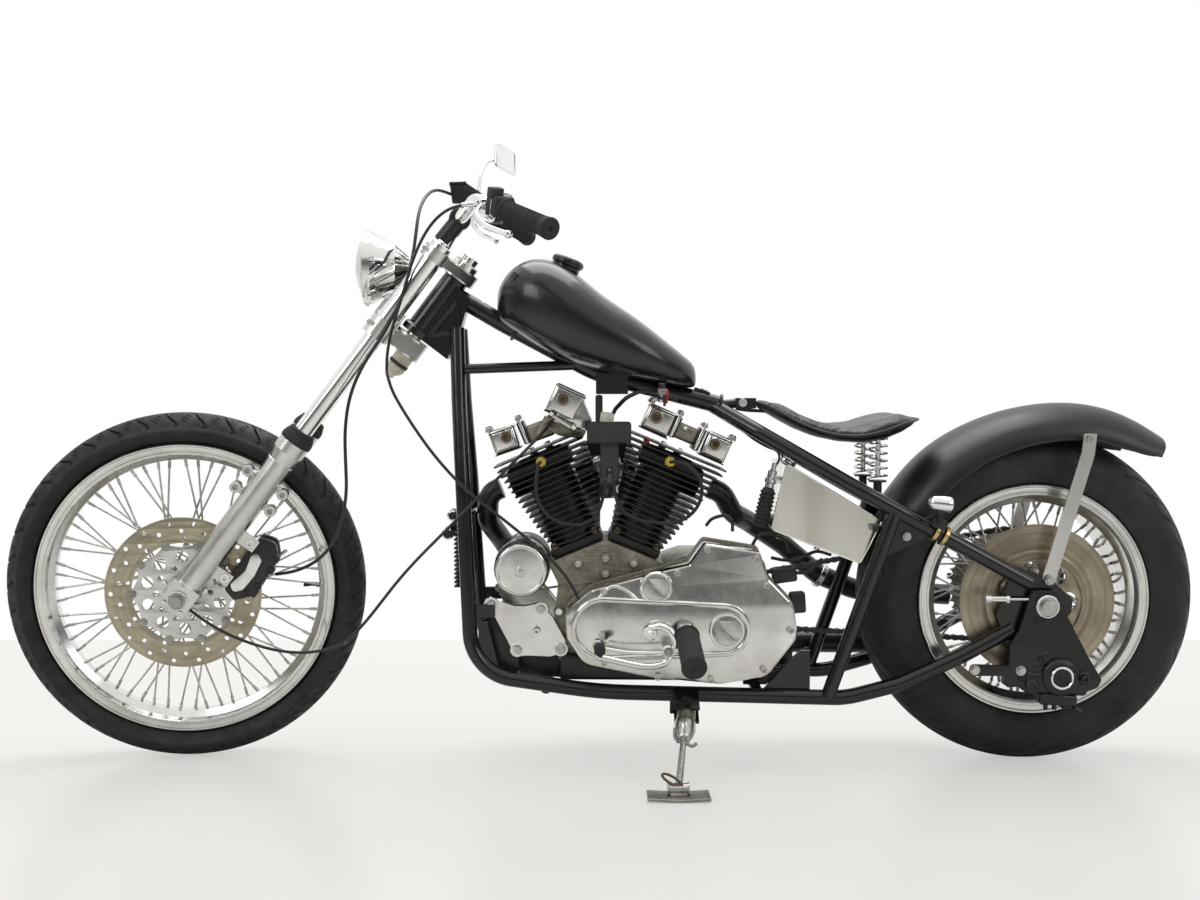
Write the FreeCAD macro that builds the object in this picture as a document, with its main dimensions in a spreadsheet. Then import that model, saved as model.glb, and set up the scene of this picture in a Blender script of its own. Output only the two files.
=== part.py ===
"""A low chopper motorcycle that leans on its side stand, in millimetres.

The bike is drawn upright and straight: x runs rearward from the front axle, y to the rider's right and
z up from the ground. Fork pieces are drawn along the fork legs. Placements then steer the front end,
lean the bike on its stand and put the origin at the middle of its footprint.
"""
import FreeCAD, Part
import math
import os
import re

App = FreeCAD
Vector = App.Vector
X, Y, Z = Vector(1, 0, 0), Vector(0, 1, 0), Vector(0, 0, 1)

doc = App.newDocument("chopper")
sheet = doc.addObject("Spreadsheet::Sheet", "Sizes")

SIZES = {
    # stance
    "wheelbase": 1626, "rake_angle": 37.2, "steering_offset": 59, "lean_angle": 4, "steer_angle": 7.62,
    "seat_gap": 0.2, "running_gap": 0.05,
    # front wheel
    "front_tyre_radius": 340, "front_tyre_half_width": 48, "front_shoulder_drop": 22,
    "front_rim_radius": 282.5, "front_rim_half_width": 33, "front_rim_depth": 30,
    "front_flange_radius": 46, "front_flange_place": 28, "front_barrel_radius": 22,
    "front_disc_radius": 146, "front_disc_band": 54, "front_disc_place": 58, "disc_thickness": 5,
    # rear wheel
    "rear_tyre_radius": 322, "rear_tyre_half_width": 87, "rear_shoulder_drop": 30,
    "rear_rim_radius": 218.5, "rear_rim_half_width": 76, "rear_rim_depth": 32,
    "rear_flange_radius": 56, "rear_flange_place": 52, "rear_barrel_radius": 30,
    "rear_disc_radius": 146, "rear_disc_band": 62, "rear_disc_place": 95,
    "spoke_radius": 1.9, "nipple_radius": 3.1, "nipple_length": 15, "spoke_count": 60, "spoke_sweep": 62,
    "front_axle_radius": 10, "front_axle_reach": 131, "rear_axle_radius": 12.5, "rear_axle_reach": 167,
    # drive
    "chain_pitch": 15.875, "rear_teeth": 45, "front_teeth": 20, "chain_place": 99.5,
    "front_sprocket_x": 1092, "front_sprocket_z": 288, "chain_plate_height": 13,
    # fork
    "leg_spread": 93, "fork_tube_radius": 17.5, "slider_radius": 25, "slider_top_radius": 30,
    "slider_top": 366, "collar_height": 26, "lower_yoke_place": 614, "lower_yoke_height": 38,
    "upper_yoke_place": 791, "upper_yoke_height": 24, "tube_top": 824, "cover_radius": 20.5,
    "stem_radius": 16, "neck_radius": 25, "neck_clearance": 5,
    # frame
    "frame_tube_radius": 14.3, "backbone_radius": 17, "rail_spread": 116, "stay_spread": 122,
    "plate_thickness": 8, "frame_split_x": 1215,
    # engine
    "crank_x": 812, "crank_z": 290, "cylinder_tilt": 22.5, "deck_height": 135, "head_height": 200,
    "fin_pitch": 12, "fin_thickness": 3.2, "fin_half_length": 52, "fin_growth": 0.115, "fin_half_width": 66,
    "case_left": 72, "case_right": 92, "primary_inner": 95, "primary_outer": 150,
    "generator_x": 653, "generator_z": 383, "generator_radius": 52, "generator_cap_radius": 46,
    "exhaust_radius": 21, "exhaust_wall": 2,
    # body work
    "tank_half_width": 122, "seat_half_width": 125, "seat_thickness": 26, "fender_half_width": 104,
    "fender_thickness": 3, "fender_depth": 66, "oil_tank_half_width": 92,
    "spring_radius": 18, "spring_place": 70,
    # front end fittings
    "headlight_radius": 70, "headlight_x": 351, "headlight_z": 955, "headlight_length": 88,
    "bar_radius": 12.7, "grip_radius": 17.5, "hose_radius": 3.2, "cable_radius": 2.8, "lead_radius": 3.3,
    # side stand
    "stand_leg_radius": 8.5, "stand_pivot_x": 962, "stand_pivot_y": -148, "stand_pivot_z": 128,
    "stand_barrel_radius": 13, "stand_barrel_half": 13, "stand_pin_radius": 6,
    "stand_foot_x": 935, "stand_foot_y": -345, "stand_foot_length": 108, "stand_foot_width": 62,
    "stand_foot_thickness": 6, "stand_axis_tilt": 30,
}
for line, (alias, number) in enumerate(SIZES.items(), start=1):
    sheet.set(f"A{line}", alias)
    sheet.set(f"B{line}", str(number))
    sheet.setAlias(f"B{line}", alias)
doc.recompute()


class Sizes:
    """The driving sizes, read back from the sheet."""

    def __getattr__(self, alias):
        return float(sheet.get(alias))


d = Sizes()
NODES = {}


# Helpers

def bind(thing, prop, formula):
    """Binds a property to a formula of the sheet's sizes."""
    named = re.sub(r"\b([a-z]+(?:_[a-z]+)+)\b", r"Sizes.\1", formula)
    thing.setExpression(prop, named)


def turn_to(direction):
    """The rotation that takes Z to a direction."""
    return App.Rotation(Z, Vector(direction))


def cylinder(radius, length, base, direction=Z):
    """A cylinder from a base point; radius is a formula and length a formula or a number."""
    thing = doc.addObject("Part::Cylinder", "Round")
    bind(thing, "Radius", str(radius))
    bind(thing, "Height", str(length))
    thing.Placement = App.Placement(Vector(base), turn_to(direction))
    return thing


def rod(radius, start, end):
    """A cylinder between two points."""
    span = Vector(end) - Vector(start)
    return cylinder(radius, span.Length, start, span)


def box(size, centre, rotation=None):
    """A box about its centre."""
    thing = doc.addObject("Part::Box", "Block")
    for prop, formula in zip(("Length", "Width", "Height"), size):
        bind(thing, prop, str(formula))
    thing.recompute()
    half = Vector(thing.Length.Value, thing.Width.Value, thing.Height.Value) * 0.5
    rotation = rotation or App.Rotation()
    thing.Placement = App.Placement(Vector(centre) - rotation.multVec(half), rotation)
    return thing


def soften(thing, radius, edges=None):
    """Rounds edges of a box or an extrusion; all of them unless a list is given."""
    doc.recompute()
    numbers = edges or range(1, len(thing.Shape.Edges) + 1)
    fillet = doc.addObject("Part::Fillet", "Soft")
    fillet.Base = thing
    fillet.Edges = [(number, radius, radius) for number in numbers]
    return fillet


def rounded_wire(points, closed=True):
    """A flat or spatial line through points (vector, corner radius), with tangent arcs at corners."""
    corners = [(Vector(point), radius) for point, radius in points]
    count = len(corners)
    edges = []
    cuts = []
    for index, (corner, radius) in enumerate(corners):
        last = not closed and index in (0, count - 1)
        if radius <= 0 or last:
            cuts.append((corner, None, corner))
            continue
        before = (corners[index - 1][0] - corner).normalize()
        after = (corners[(index + 1) % count][0] - corner).normalize()
        turn = before.getAngle(after)
        reach = radius / math.tan(turn / 2)
        middle = corner + (before + after).normalize() * (radius / math.sin(turn / 2) - radius)
        cuts.append((corner + before * reach, middle, corner + after * reach))
    for index, (start, middle, end) in enumerate(cuts):
        if middle is not None:
            edges.append(Part.Arc(start, middle, end).toShape())
        following = cuts[(index + 1) % count][0]
        if (closed or index < count - 1) and (following - end).Length > 1e-6:
            edges.append(Part.LineSegment(end, following).toShape())
    return Part.Wire(edges)


def profile(points, plane="XZ", offset=0):
    """A flat face from (u, v) or (u, v, corner radius) points in a plane."""
    places = {
        "XZ": lambda u, v: Vector(u, offset, v), "XY": lambda u, v: Vector(u, v, offset),
        "YZ": lambda u, v: Vector(offset, u, v),
    }
    corners = [(places[plane](*point[:2]), point[2] if len(point) > 2 else 0) for point in points]
    thing = doc.addObject("Part::Feature", "Outline")
    thing.Shape = Part.Face(rounded_wire(corners))
    return thing


def slab(points, start, end, plane="XZ"):
    """A prism of an outline between two places along the plane's normal."""
    normal = {"XZ": Y, "XY": Z, "YZ": X}[plane]
    thing = doc.addObject("Part::Extrusion", "Slab")
    thing.Base = profile(points, plane, start)
    thing.DirMode = "Custom"
    thing.Dir = normal
    bind(thing, "LengthFwd", str(end - start))
    thing.Solid = True
    return thing


def turned(points, centre=(0, 0, 0), axis=Y, plane="XY"):
    """A solid of revolution about an axis through the origin, then moved to a centre."""
    thing = doc.addObject("Part::Revolution", "Turned")
    thing.Source = profile(points, plane)
    thing.Axis = axis
    thing.Base = Vector()
    thing.Angle = 360
    thing.Solid = True
    thing.Placement = App.Placement(Vector(centre), App.Rotation())
    return thing


def spline_turned(points, centre=(0, 0, 0), axis=Y):
    """As turned, with arcs: the points are a list of lines (2 points) and arcs (3 points)."""
    edges = []
    for run in points:
        places = [Vector(u, v, 0) for u, v in run]
        curve = Part.Arc(*places) if len(places) == 3 else Part.LineSegment(*places)
        edges.append(curve.toShape())
    face = doc.addObject("Part::Feature", "Outline")
    face.Shape = Part.Face(Part.Wire(edges))
    thing = doc.addObject("Part::Revolution", "Turned")
    thing.Source = face
    thing.Axis = axis
    thing.Base = Vector()
    thing.Angle = 360
    thing.Solid = True
    thing.Placement = App.Placement(Vector(centre), App.Rotation())
    return thing


def pipe(radius, points, bend=60):
    """A round bar along a bent route; each corner may carry its own bend radius."""
    route = [(point[:3], point[3] if len(point) > 3 else bend) for point in points]
    path = doc.addObject("Part::Feature", "Route")
    path.Shape = rounded_wire(route, closed=False)
    ring = doc.addObject("Part::Circle", "Ring")
    bind(ring, "Radius", str(radius))
    start = Vector(route[0][0])
    ring.Placement = App.Placement(start, turn_to(Vector(route[1][0]) - start))
    sweep = doc.addObject("Part::Sweep", "Pipe")
    sweep.Sections = [ring]
    sweep.Spine = (path, [f"Edge{n}" for n in range(1, len(path.Shape.Edges) + 1)])
    sweep.Solid = True
    sweep.Frenet = False
    return sweep


def join(*things):
    """Fuses overlapping things into one solid."""
    fusion = doc.addObject("Part::MultiFuse", "Joined")
    fusion.Shapes = list(things)
    fusion.Refine = False
    return fusion


def gather(*things):
    """Keeps solids that do not touch together in one node."""
    group = doc.addObject("Part::Compound", "Group")
    group.Links = list(things)
    return group


def cut(base, *tools):
    """Takes tools away from a base."""
    thing = doc.addObject("Part::Cut", "Trimmed")
    thing.Base = base
    thing.Tool = tools[0] if len(tools) == 1 else gather(*tools)
    thing.Refine = False
    return thing


def mirrored(thing):
    """The same thing on the bike's other side."""
    copy = doc.addObject("Part::Mirroring", "Mirror")
    copy.Source = thing
    copy.Normal = Y
    copy.Base = Vector()
    return copy


def loft(sections):
    """A smooth solid through closed outlines, each a list of points for one closed curve."""
    wires = []
    for points in sections:
        curve = Part.BSplineCurve()
        curve.interpolate(Points=[Vector(point) for point in points], PeriodicFlag=True)
        outline = doc.addObject("Part::Feature", "Section")
        outline.Shape = Part.Wire(curve.toShape())
        wires.append(outline)
    thing = doc.addObject("Part::Loft", "Loft")
    thing.Sections = wires
    thing.Solid = True
    thing.Ruled = False
    return thing


def node(name, thing, frame="bike"):
    """Names a finished piece and notes the frame that it is drawn in."""
    thing.Label = name
    NODES[name] = (thing, frame)
    return thing


# Wheels

def tyre(radius, half_width, shoulder_drop, rim_radius, rim_half_width, centre):
    """A round tyre with its beads between the rim's flanges."""
    bead = rim_half_width - 7
    seat = rim_radius - 15
    wall = (radius + rim_radius) / 2 - 4
    shoulder = radius - shoulder_drop
    edge = 0.86 * half_width
    low = rim_radius + 2
    runs = [
        [(seat, -bead), (seat, bead)], [(seat, bead), (low, bead)], [(low, bead), (low + 6, bead + 9)],
        [(low + 6, bead + 9), (wall, half_width), (shoulder, edge)],
        [(shoulder, edge), (radius, 0), (shoulder, -edge)],
        [(shoulder, -edge), (wall, -half_width), (low + 6, -bead - 9)],
        [(low + 6, -bead - 9), (low, -bead)], [(low, -bead), (seat, -bead)],
    ]
    return spline_turned(runs, centre)


def rim(radius, half_width, depth, centre):
    """A drop-centre rim: flanges, bead seats and a deep middle that the spokes pull on."""
    seat = radius - 15 - d.seat_gap
    well = radius - depth
    side = [
        (radius, half_width), (radius, half_width - 3.5), (seat, half_width - 6.5), (seat - 1, half_width - 17),
        (well + 3, half_width - 23),
    ]
    under = [(well - 2.5, half_width - 24), (seat - 6, half_width - 15), (seat - 5, half_width - 2)]
    points = side + [(u, -v) for u, v in reversed(side)]
    points += [(u, -v) for u, v in reversed(under)] + under
    return turned(points, centre)


def laced_hub(barrel, flange, place, bore, rim_radius, depth, centre, left, right):
    """A hub with two flanges, bosses out to the disc and sprocket, and crossed spokes with nipples."""
    centre = Vector(centre)
    thickness = 6
    pieces = [
        cylinder(barrel, 2 * place, centre - Y * place, Y),
        cylinder(barrel + 12, left - place, centre - Y * left, Y),
        cylinder(barrel + 12, right - place, centre + Y * place, Y),
    ]
    for side in (-1, 1):
        pieces.append(cylinder(flange, thickness, centre + Y * (side * place - thickness / 2), Y))
    count = int(d.spoke_count)
    inner = flange - 5
    sweep = math.radians(d.spoke_sweep)
    away = math.hypot(inner * math.sin(sweep), place - 7)
    slope = math.atan2(away, rim_radius - depth - inner * math.cos(sweep))
    far = rim_radius - depth - 2.5 - d.seat_gap - d.nipple_radius * math.sin(slope)
    for index in range(count):
        side = -1 if index % 2 == 0 else 1
        lead = 1 if index % 4 < 2 else -1
        at_rim = math.radians(360 * index / count)
        at_hub = at_rim + lead * sweep
        start = centre + Vector(inner * math.cos(at_hub), side * (place + lead * 2.4), inner * math.sin(at_hub))
        end = centre + Vector(far * math.cos(at_rim), side * (7 + lead * 2.2), far * math.sin(at_rim))
        way = (end - start).normalize()
        pieces.append(rod("spoke_radius", start, end - way * d.nipple_length * 0.5))
        pieces.append(rod("nipple_radius", end - way * d.nipple_length, end))
    bore_cut = cylinder(bore + d.running_gap, left + right + 2, centre - Y * (left + 1), Y)
    return cut(join(*pieces), bore_cut)


def holes(count, radius, circle, centre, start, length, phase=0.0):
    """Cylinders in a circle about a wheel's axis, to be cut away."""
    tools = []
    for index in range(int(count)):
        angle = 2 * math.pi * (index + phase) / count
        place = Vector(centre) + Vector(circle * math.cos(angle), start, circle * math.sin(angle))
        tools.append(cylinder(radius, length, place, Y))
    return tools


FRONT = Vector(0, 0, d.front_tyre_radius)
REAR = Vector(d.wheelbase, 0, d.rear_tyre_radius)
DRAWN_WHEELBASE = 1626
LONGER = d.wheelbase - DRAWN_WHEELBASE


def behind(points):
    """Outline points of the rear end, moved with the rear axle."""
    return [(point[0] + LONGER,) + tuple(point[1:]) for point in points]


def stay_height(x):
    """How high the upper stay's middle is at x, on its straight run to the axle plate."""
    return 534 - (x - 1286) * (534 - 361) / (REAR.x - 23 - 1286)
half_disc = d.disc_thickness / 2

node("front_tyre", tyre(d.front_tyre_radius, d.front_tyre_half_width, d.front_shoulder_drop,
                        d.front_rim_radius, d.front_rim_half_width, FRONT), "fork")
node("front_rim", rim(d.front_rim_radius, d.front_rim_half_width, d.front_rim_depth, FRONT), "fork")
front_left = d.front_disc_place - half_disc - d.seat_gap
node("front_spokes", laced_hub(d.front_barrel_radius, d.front_flange_radius, d.front_flange_place,
                               d.front_axle_radius, d.front_rim_radius, d.front_rim_depth, FRONT,
                               front_left, 48), "fork")
node("rear_tyre", tyre(d.rear_tyre_radius, d.rear_tyre_half_width, d.rear_shoulder_drop,
                       d.rear_rim_radius, d.rear_rim_half_width, REAR))
node("rear_rim", rim(d.rear_rim_radius, d.rear_rim_half_width, d.rear_rim_depth, REAR))
rear_left = d.rear_disc_place - half_disc - d.seat_gap
SPROCKET_THICKNESS = 6
rear_right = d.chain_place - SPROCKET_THICKNESS / 2 - d.seat_gap
node("rear_spokes", laced_hub(d.rear_barrel_radius, d.rear_flange_radius, d.rear_flange_place,
                              d.rear_axle_radius, d.rear_rim_radius, d.rear_rim_depth, REAR,
                              rear_left, rear_right))


def brake_disc(radius, band, place, centre, bore, windows, window_radius, small):
    """A drilled disc: an outer band and a carrier with round windows."""
    start = -place - half_disc
    tools = holes(windows, window_radius, (radius - band) * 0.66, centre, start - 1, d.disc_thickness + 2)
    tools.append(cylinder(bore, d.disc_thickness + 2, Vector(centre) + Y * (start - 1), Y))
    for ring, (count, phase) in enumerate(small):
        circle = radius - 11 - 15 * ring
        tools += holes(count, 3.3, circle, centre, start - 1, d.disc_thickness + 2, phase)
    plate = cylinder(radius, d.disc_thickness, Vector(centre) + Y * start, Y)
    return cut(plate, *tools)


node("front_disc", brake_disc(d.front_disc_radius, d.front_disc_band, d.front_disc_place, FRONT,
                              d.front_axle_radius + 6, 5, 17, [(18, 0), (18, 0.5), (9, 0.2)]), "fork")
node("rear_disc", brake_disc(d.rear_disc_radius, d.rear_disc_band, d.rear_disc_place, REAR,
                             d.rear_axle_radius + 8, 7, 17, []))

rear_pitch_radius = d.chain_pitch / 2 / math.sin(math.pi / d.rear_teeth)
front_pitch_radius = d.chain_pitch / 2 / math.sin(math.pi / d.front_teeth)


def toothed(teeth, pitch_radius, centre, start, thickness):
    """A sprocket blank with pointed teeth."""
    points = []
    for tooth in range(int(teeth)):
        for share, height in ((0.0, -4.5), (0.3, -1), (0.44, 4), (0.56, 4), (0.7, -1)):
            angle = 2 * math.pi * (tooth + share) / teeth
            reach = pitch_radius + height
            points.append((centre[0] + reach * math.cos(angle), centre[2] + reach * math.sin(angle)))
    return slab(points, start, start + thickness)


sprocket_start = d.chain_place - SPROCKET_THICKNESS / 2
sprocket = toothed(d.rear_teeth, rear_pitch_radius, REAR, sprocket_start, SPROCKET_THICKNESS)
lightening = holes(8, 13, rear_pitch_radius * 0.68, REAR, sprocket_start - 1, SPROCKET_THICKNESS + 2)
sprocket_bore = cylinder(d.rear_axle_radius + 8, SPROCKET_THICKNESS + 2, REAR + Y * (sprocket_start - 1), Y)
node("rear_sprocket", cut(sprocket, sprocket_bore, *lightening))


# Drive chain: two plates with waists between the pins, and pins on the straight runs

def chain_line():
    """Points and inward normals one half pitch apart round both sprockets, and which lie on a run."""
    small = Vector(d.front_sprocket_x, 0, d.front_sprocket_z)
    span = REAR - small
    tilt = math.atan2(span.z, span.x)
    lean = math.asin((rear_pitch_radius - front_pitch_radius) / span.Length)
    top, bottom = tilt + math.pi / 2 + lean, tilt - math.pi / 2 - lean
    straight = math.sqrt(span.Length ** 2 - (rear_pitch_radius - front_pitch_radius) ** 2)
    wrap_rear = (math.pi + 2 * lean) * rear_pitch_radius
    wrap_front = (math.pi - 2 * lean) * front_pitch_radius
    total = 2 * straight + wrap_rear + wrap_front
    steps = 2 * round(total / d.chain_pitch)
    out = []
    for index in range(steps):
        way = total * index / steps
        on_run = False
        if way < wrap_rear:
            angle = bottom + way / rear_pitch_radius
            hub, radius = REAR, rear_pitch_radius
        elif way < wrap_rear + straight:
            angle, on_run = top, True
            hub, radius, far = REAR, rear_pitch_radius, (way - wrap_rear) / straight
        elif way < wrap_rear + straight + wrap_front:
            angle = top + (way - wrap_rear - straight) / front_pitch_radius
            hub, radius = small, front_pitch_radius
        else:
            angle, on_run = bottom, True
            hub, radius = small, front_pitch_radius
            far = 1 - (way - wrap_rear - straight - wrap_front) / straight
        normal = Vector(math.cos(angle), 0, math.sin(angle))
        place = Vector(hub.x, 0, hub.z) + normal * radius
        if on_run:
            end = small + normal * front_pitch_radius
            begin = Vector(REAR.x, 0, REAR.z) + normal * rear_pitch_radius
            place = begin + (end - begin) * far
        out.append((place, normal, on_run))
    return out


CHAIN_GAP = 5
CHAIN_PLATE = 2.5
chain_points = chain_line()
plates = []
for start in (d.chain_place - CHAIN_GAP - CHAIN_PLATE, d.chain_place + CHAIN_GAP):
    rings = []
    for side in (1, -1):
        ring = []
        for index, (place, normal, on_run) in enumerate(chain_points):
            height = d.chain_plate_height / 2 if index % 2 == 0 else d.chain_plate_height / 3
            spot = place + normal * (side * height)
            ring.append((spot.x, spot.z))
        rings.append(slab(ring, start, start + CHAIN_PLATE))
    plates.append(cut(*rings))
pins = []
for index, (place, normal, on_run) in enumerate(chain_points):
    neighbours = chain_points[index - 2][2] and chain_points[(index + 2) % len(chain_points)][2]
    if index % 6 == 0 and on_run and neighbours:
        pins.append(cylinder(4, 2 * CHAIN_GAP + CHAIN_PLATE, place + Y * (d.chain_place - CHAIN_GAP - CHAIN_PLATE / 2), Y))
node("drive_chain", join(*plates, *pins))


# Axles

def axle(radius, reach_left, reach_right, centre, seats, nut):
    """A bar with a nut outside each seat and free ends beyond."""
    pieces = [cylinder(radius, reach_left + reach_right, Vector(centre) - Y * reach_left, Y)]
    for side, seat in ((-1, seats[0]), (1, seats[1])):
        start = side * (seat + d.seat_gap) - (nut if side < 0 else 0)
        pieces.append(cylinder(radius * 1.62, nut, Vector(centre) + Y * start, Y))
    return join(*pieces)


LUG_HALF = 27
node("front_axle", axle(d.front_axle_radius, d.front_axle_reach, d.front_axle_reach, FRONT,
                        (d.leg_spread + LUG_HALF - 4, d.leg_spread + LUG_HALF - 4), 7), "fork")
HANGER = 9
plate_left = d.stay_spread + d.plate_thickness / 2
hanger_start = -d.stay_spread - d.frame_tube_radius - 0.3 - HANGER
node("rear_axle", axle(d.rear_axle_radius, d.rear_axle_reach, d.rear_axle_reach - 12, REAR,
                       (-hanger_start, plate_left), 12))


# Fork, drawn along its legs from the front axle

LUG_TOP = 34


def both_legs(make):
    """Makes a piece on each leg."""
    return gather(make(-d.leg_spread), make(d.leg_spread))


def slider(side):
    """A slider: square axle lug, leg, wide top, fender studs and, on the left, caliper lugs."""
    lug = box((56, 2 * (LUG_HALF - 4), 58), (0, side, 2))
    leg = turned([(0, LUG_TOP - 8), (d.slider_radius, LUG_TOP - 8), (d.slider_radius, 322),
                  (d.slider_top_radius, 344), (d.slider_top_radius, d.slider_top), (0, d.slider_top)],
                 (0, side, 0), Z, "XZ")
    inner = side - math.copysign(4, side)
    studs = []
    for place in (233, 272):
        studs.append(rod(7, (-44, inner, place), (44, inner, place)))
    pieces = [lug, leg, *studs]
    if side < 0:
        for place in (78, 160):
            pieces.append(box((40, 12, 24), (38, side + 6, place)))
    bore = cylinder("front_axle_radius + running_gap", 80, (0, side - 40, 0), Y)
    return cut(join(*pieces), bore)


node("fork_sliders", both_legs(slider), "legs")
tube_start = d.slider_top + d.seat_gap
collar_inner = d.fork_tube_radius + d.seat_gap
node("fork_collars", both_legs(lambda side: turned(
    [(collar_inner, tube_start), (d.slider_top_radius + 1, tube_start), (d.slider_top_radius, tube_start + 14),
     (d.fork_tube_radius + 7, tube_start + d.collar_height), (collar_inner, tube_start + d.collar_height)],
    (0, side, 0), Z, "XZ")), "legs")
yoke_low_top = d.lower_yoke_place + d.lower_yoke_height


def fork_tube(side):
    """A chromed tube with the wider cover between the yokes and a cap on top."""
    bar = cylinder("fork_tube_radius", d.tube_top - tube_start, (0, side, tube_start))
    cover = cylinder("cover_radius", d.upper_yoke_place - yoke_low_top - 2 * d.seat_gap,
                     (0, side, yoke_low_top + d.seat_gap))
    cap = cylinder(d.fork_tube_radius + 3, 7, (0, side, d.tube_top - 7))
    return join(bar, cover, cap)


node("fork_tubes", both_legs(fork_tube), "legs")


def yoke(start, height, clamp):
    """A clamp for both legs and the stem's boss, with a bridge between them."""
    pieces = [cylinder(34, height, (d.steering_offset, 0, start))]
    bridge = [(-12, -d.leg_spread), (14, -d.leg_spread), (d.steering_offset + 30, -22),
              (d.steering_offset + 30, 22), (14, d.leg_spread), (-12, d.leg_spread), (18, 0)]
    inset = height * 0.14
    pieces.append(slab(bridge, start + inset, start + height - inset, "XY"))
    for side in (-d.leg_spread, d.leg_spread):
        pieces.append(cylinder(clamp, height, (0, side, start)))
    bores = [cylinder(d.fork_tube_radius + d.seat_gap / 2, height + 2, (0, side, start - 1))
             for side in (-d.leg_spread, d.leg_spread)]
    return cut(join(*pieces), *bores)


STEM_TOP = 838
stem = cylinder("stem_radius", STEM_TOP - d.lower_yoke_place - 4, (d.steering_offset, 0, d.lower_yoke_place + 4))
yoke_top = d.upper_yoke_place + d.upper_yoke_height
nut = cylinder(25, 13, (d.steering_offset, 0, yoke_top - 1))
node("fork_yokes", join(yoke(d.lower_yoke_place, d.lower_yoke_height, 26),
                        yoke(d.upper_yoke_place, d.upper_yoke_height, 25.5), stem, nut), "legs")
canister_top = d.lower_yoke_place - d.seat_gap
node("stem_canister", turned([(0, canister_top), (19, canister_top), (19, canister_top - 34),
                              (10, canister_top - 46), (0, canister_top - 46)],
                             (d.steering_offset + 8, 0, 0), Z, "XZ"), "legs")


def leg_point(u, v, y=0):
    """A point given along the legs, in the upright bike."""
    rake = math.radians(d.rake_angle)
    return Vector(u * math.cos(rake) + v * math.sin(rake), y,
                  d.front_tyre_radius - u * math.sin(rake) + v * math.cos(rake))


# Handlebar and controls, drawn on the upright bike with the bars straight

BAR = [(535, 0, 1050), (536, 75, 1050), (560, 140, 1078), (588, 182, 1070), (680.5, 353, 1022.5)]
bar_way = (Vector(BAR[4]) - Vector(BAR[3])).normalize()
GRIP_START = Vector(BAR[3]) + bar_way * 53.5
route = [(x, -y, z, 34) for x, y, z in reversed(BAR[1:])] + [(x, y, z, 34) for x, y, z in BAR[1:]]
bar_tube = pipe("bar_radius", route)
risers = []
for side in (-36, 36):
    foot = leg_point(4, yoke_top + d.seat_gap, side)
    head = Vector(535, side, 1050)
    risers.append(rod(13, foot, head))
    risers.append(rod(19, head - Y * 11, head + Y * 11))
    risers.append(cylinder(17, 10, foot, leg_point(0, 1) - leg_point(0, 0)))
node("handlebar", join(bar_tube, *risers), "front")


def right_side(make):
    """A piece on the right and its mirror on the left."""
    return gather(make(), mirrored(make()))


def grip():
    """A rubber grip round the bar's end."""
    end = Vector(BAR[4]) + bar_way * 3
    body = rod("grip_radius", GRIP_START, end)
    lip = rod("grip_radius + 2.5", GRIP_START, GRIP_START + bar_way * 7)
    hollow = rod("bar_radius + seat_gap", GRIP_START - bar_way * 5, end - bar_way * 2.6)
    return cut(join(body, lip), hollow)


node("grips", right_side(grip), "front")


def hand_control(side):
    """Switch housing, clamp and lever for one hand; the right one has the reservoir and the mirror."""
    mirror_y = Vector(1, side, 1)

    def spot(x, y, z):
        return Vector(x * mirror_y.x, y * mirror_y.y, z)

    way = Vector(bar_way.x, bar_way.y * side, bar_way.z)
    start = spot(GRIP_START.x, GRIP_START.y, GRIP_START.z)
    housing = rod(20, start - way * 34, start - way * 1)
    block = box((34, 24, 44), start - way * 18 + Vector(2, 0, 10), App.Rotation(Y, 12))
    clamp = rod(17, start - way * 46, start - way * 33)
    arm = pipe(4.5, [start - way * 40 + Vector(-8, 0, 4), spot(558, 196, 1062), spot(578, 262, 1040),
                     spot(606, 330, 1022), spot(617, 350, 1016)], 20)
    ball = cylinder(7, 9, spot(617, 350, 1016) - way * 4, way)
    pieces = [housing, block, clamp, arm, ball]
    if side < 0:
        pieces.append(rod(5.5, (584, -191, 1070), (549, -187, 1068)))
    if side > 0:
        pieces.append(box((58, 44, 34), (548, 196, 1112), App.Rotation(Y, 6)))
        pieces.append(rod(9, (560, 186, 1100), (576, 186, 1072)))
        stem_foot = Vector(572, 190, 1112)
        pieces.append(pipe(4, [stem_foot, (577, 205, 1140), (588, 232, 1174), (620, 254, 1180)], 12))
        turn = App.Rotation(Z, -27).multiply(App.Rotation(Y, 12))
        pieces.append(box((7, 92, 62), (628, 260, 1181), turn))
    return cut(join(*pieces), pipe("bar_radius + seat_gap", route))


node("hand_controls", gather(hand_control(-1), hand_control(1)), "front")

HEAD = Vector(d.headlight_x, 0, d.headlight_z)
lamp = [(0, 0), (d.headlight_radius, 0), (d.headlight_radius, 12), (d.headlight_radius - 6, 22),
        (46, 58), (22, d.headlight_length - 4), (0, d.headlight_length)]
shell = turned([(v, u) for u, v in lamp], HEAD, X, "XY")
hollow = turned([(-1, 0), (-1, d.headlight_radius - 5), (9, d.headlight_radius - 5), (38, 44), (52, 0)], HEAD, X)
mount_foot = leg_point(2, d.lower_yoke_place + 16)
lamp_post = rod(8, leg_point(-12, yoke_low_top + 14), HEAD + Vector(46, 0, -30))
lamp_tab = box((53, 40, 30), leg_point(-2, yoke_low_top + 9), App.Rotation(Y, d.rake_angle))
yoke_room = slab([(-90, -130), (140, -130), (140, 130), (-90, 130)], d.lower_yoke_place - 1,
                 d.lower_yoke_place + 0.86 * d.lower_yoke_height + d.seat_gap, "XY")
yoke_room.Placement = App.Placement(leg_point(0, 0), App.Rotation(Y, d.rake_angle))
node("headlight_shell", cut(join(cut(shell, hollow), lamp_post, lamp_tab), yoke_room), "front")
glass = d.headlight_radius - 5 - d.seat_gap
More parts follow.
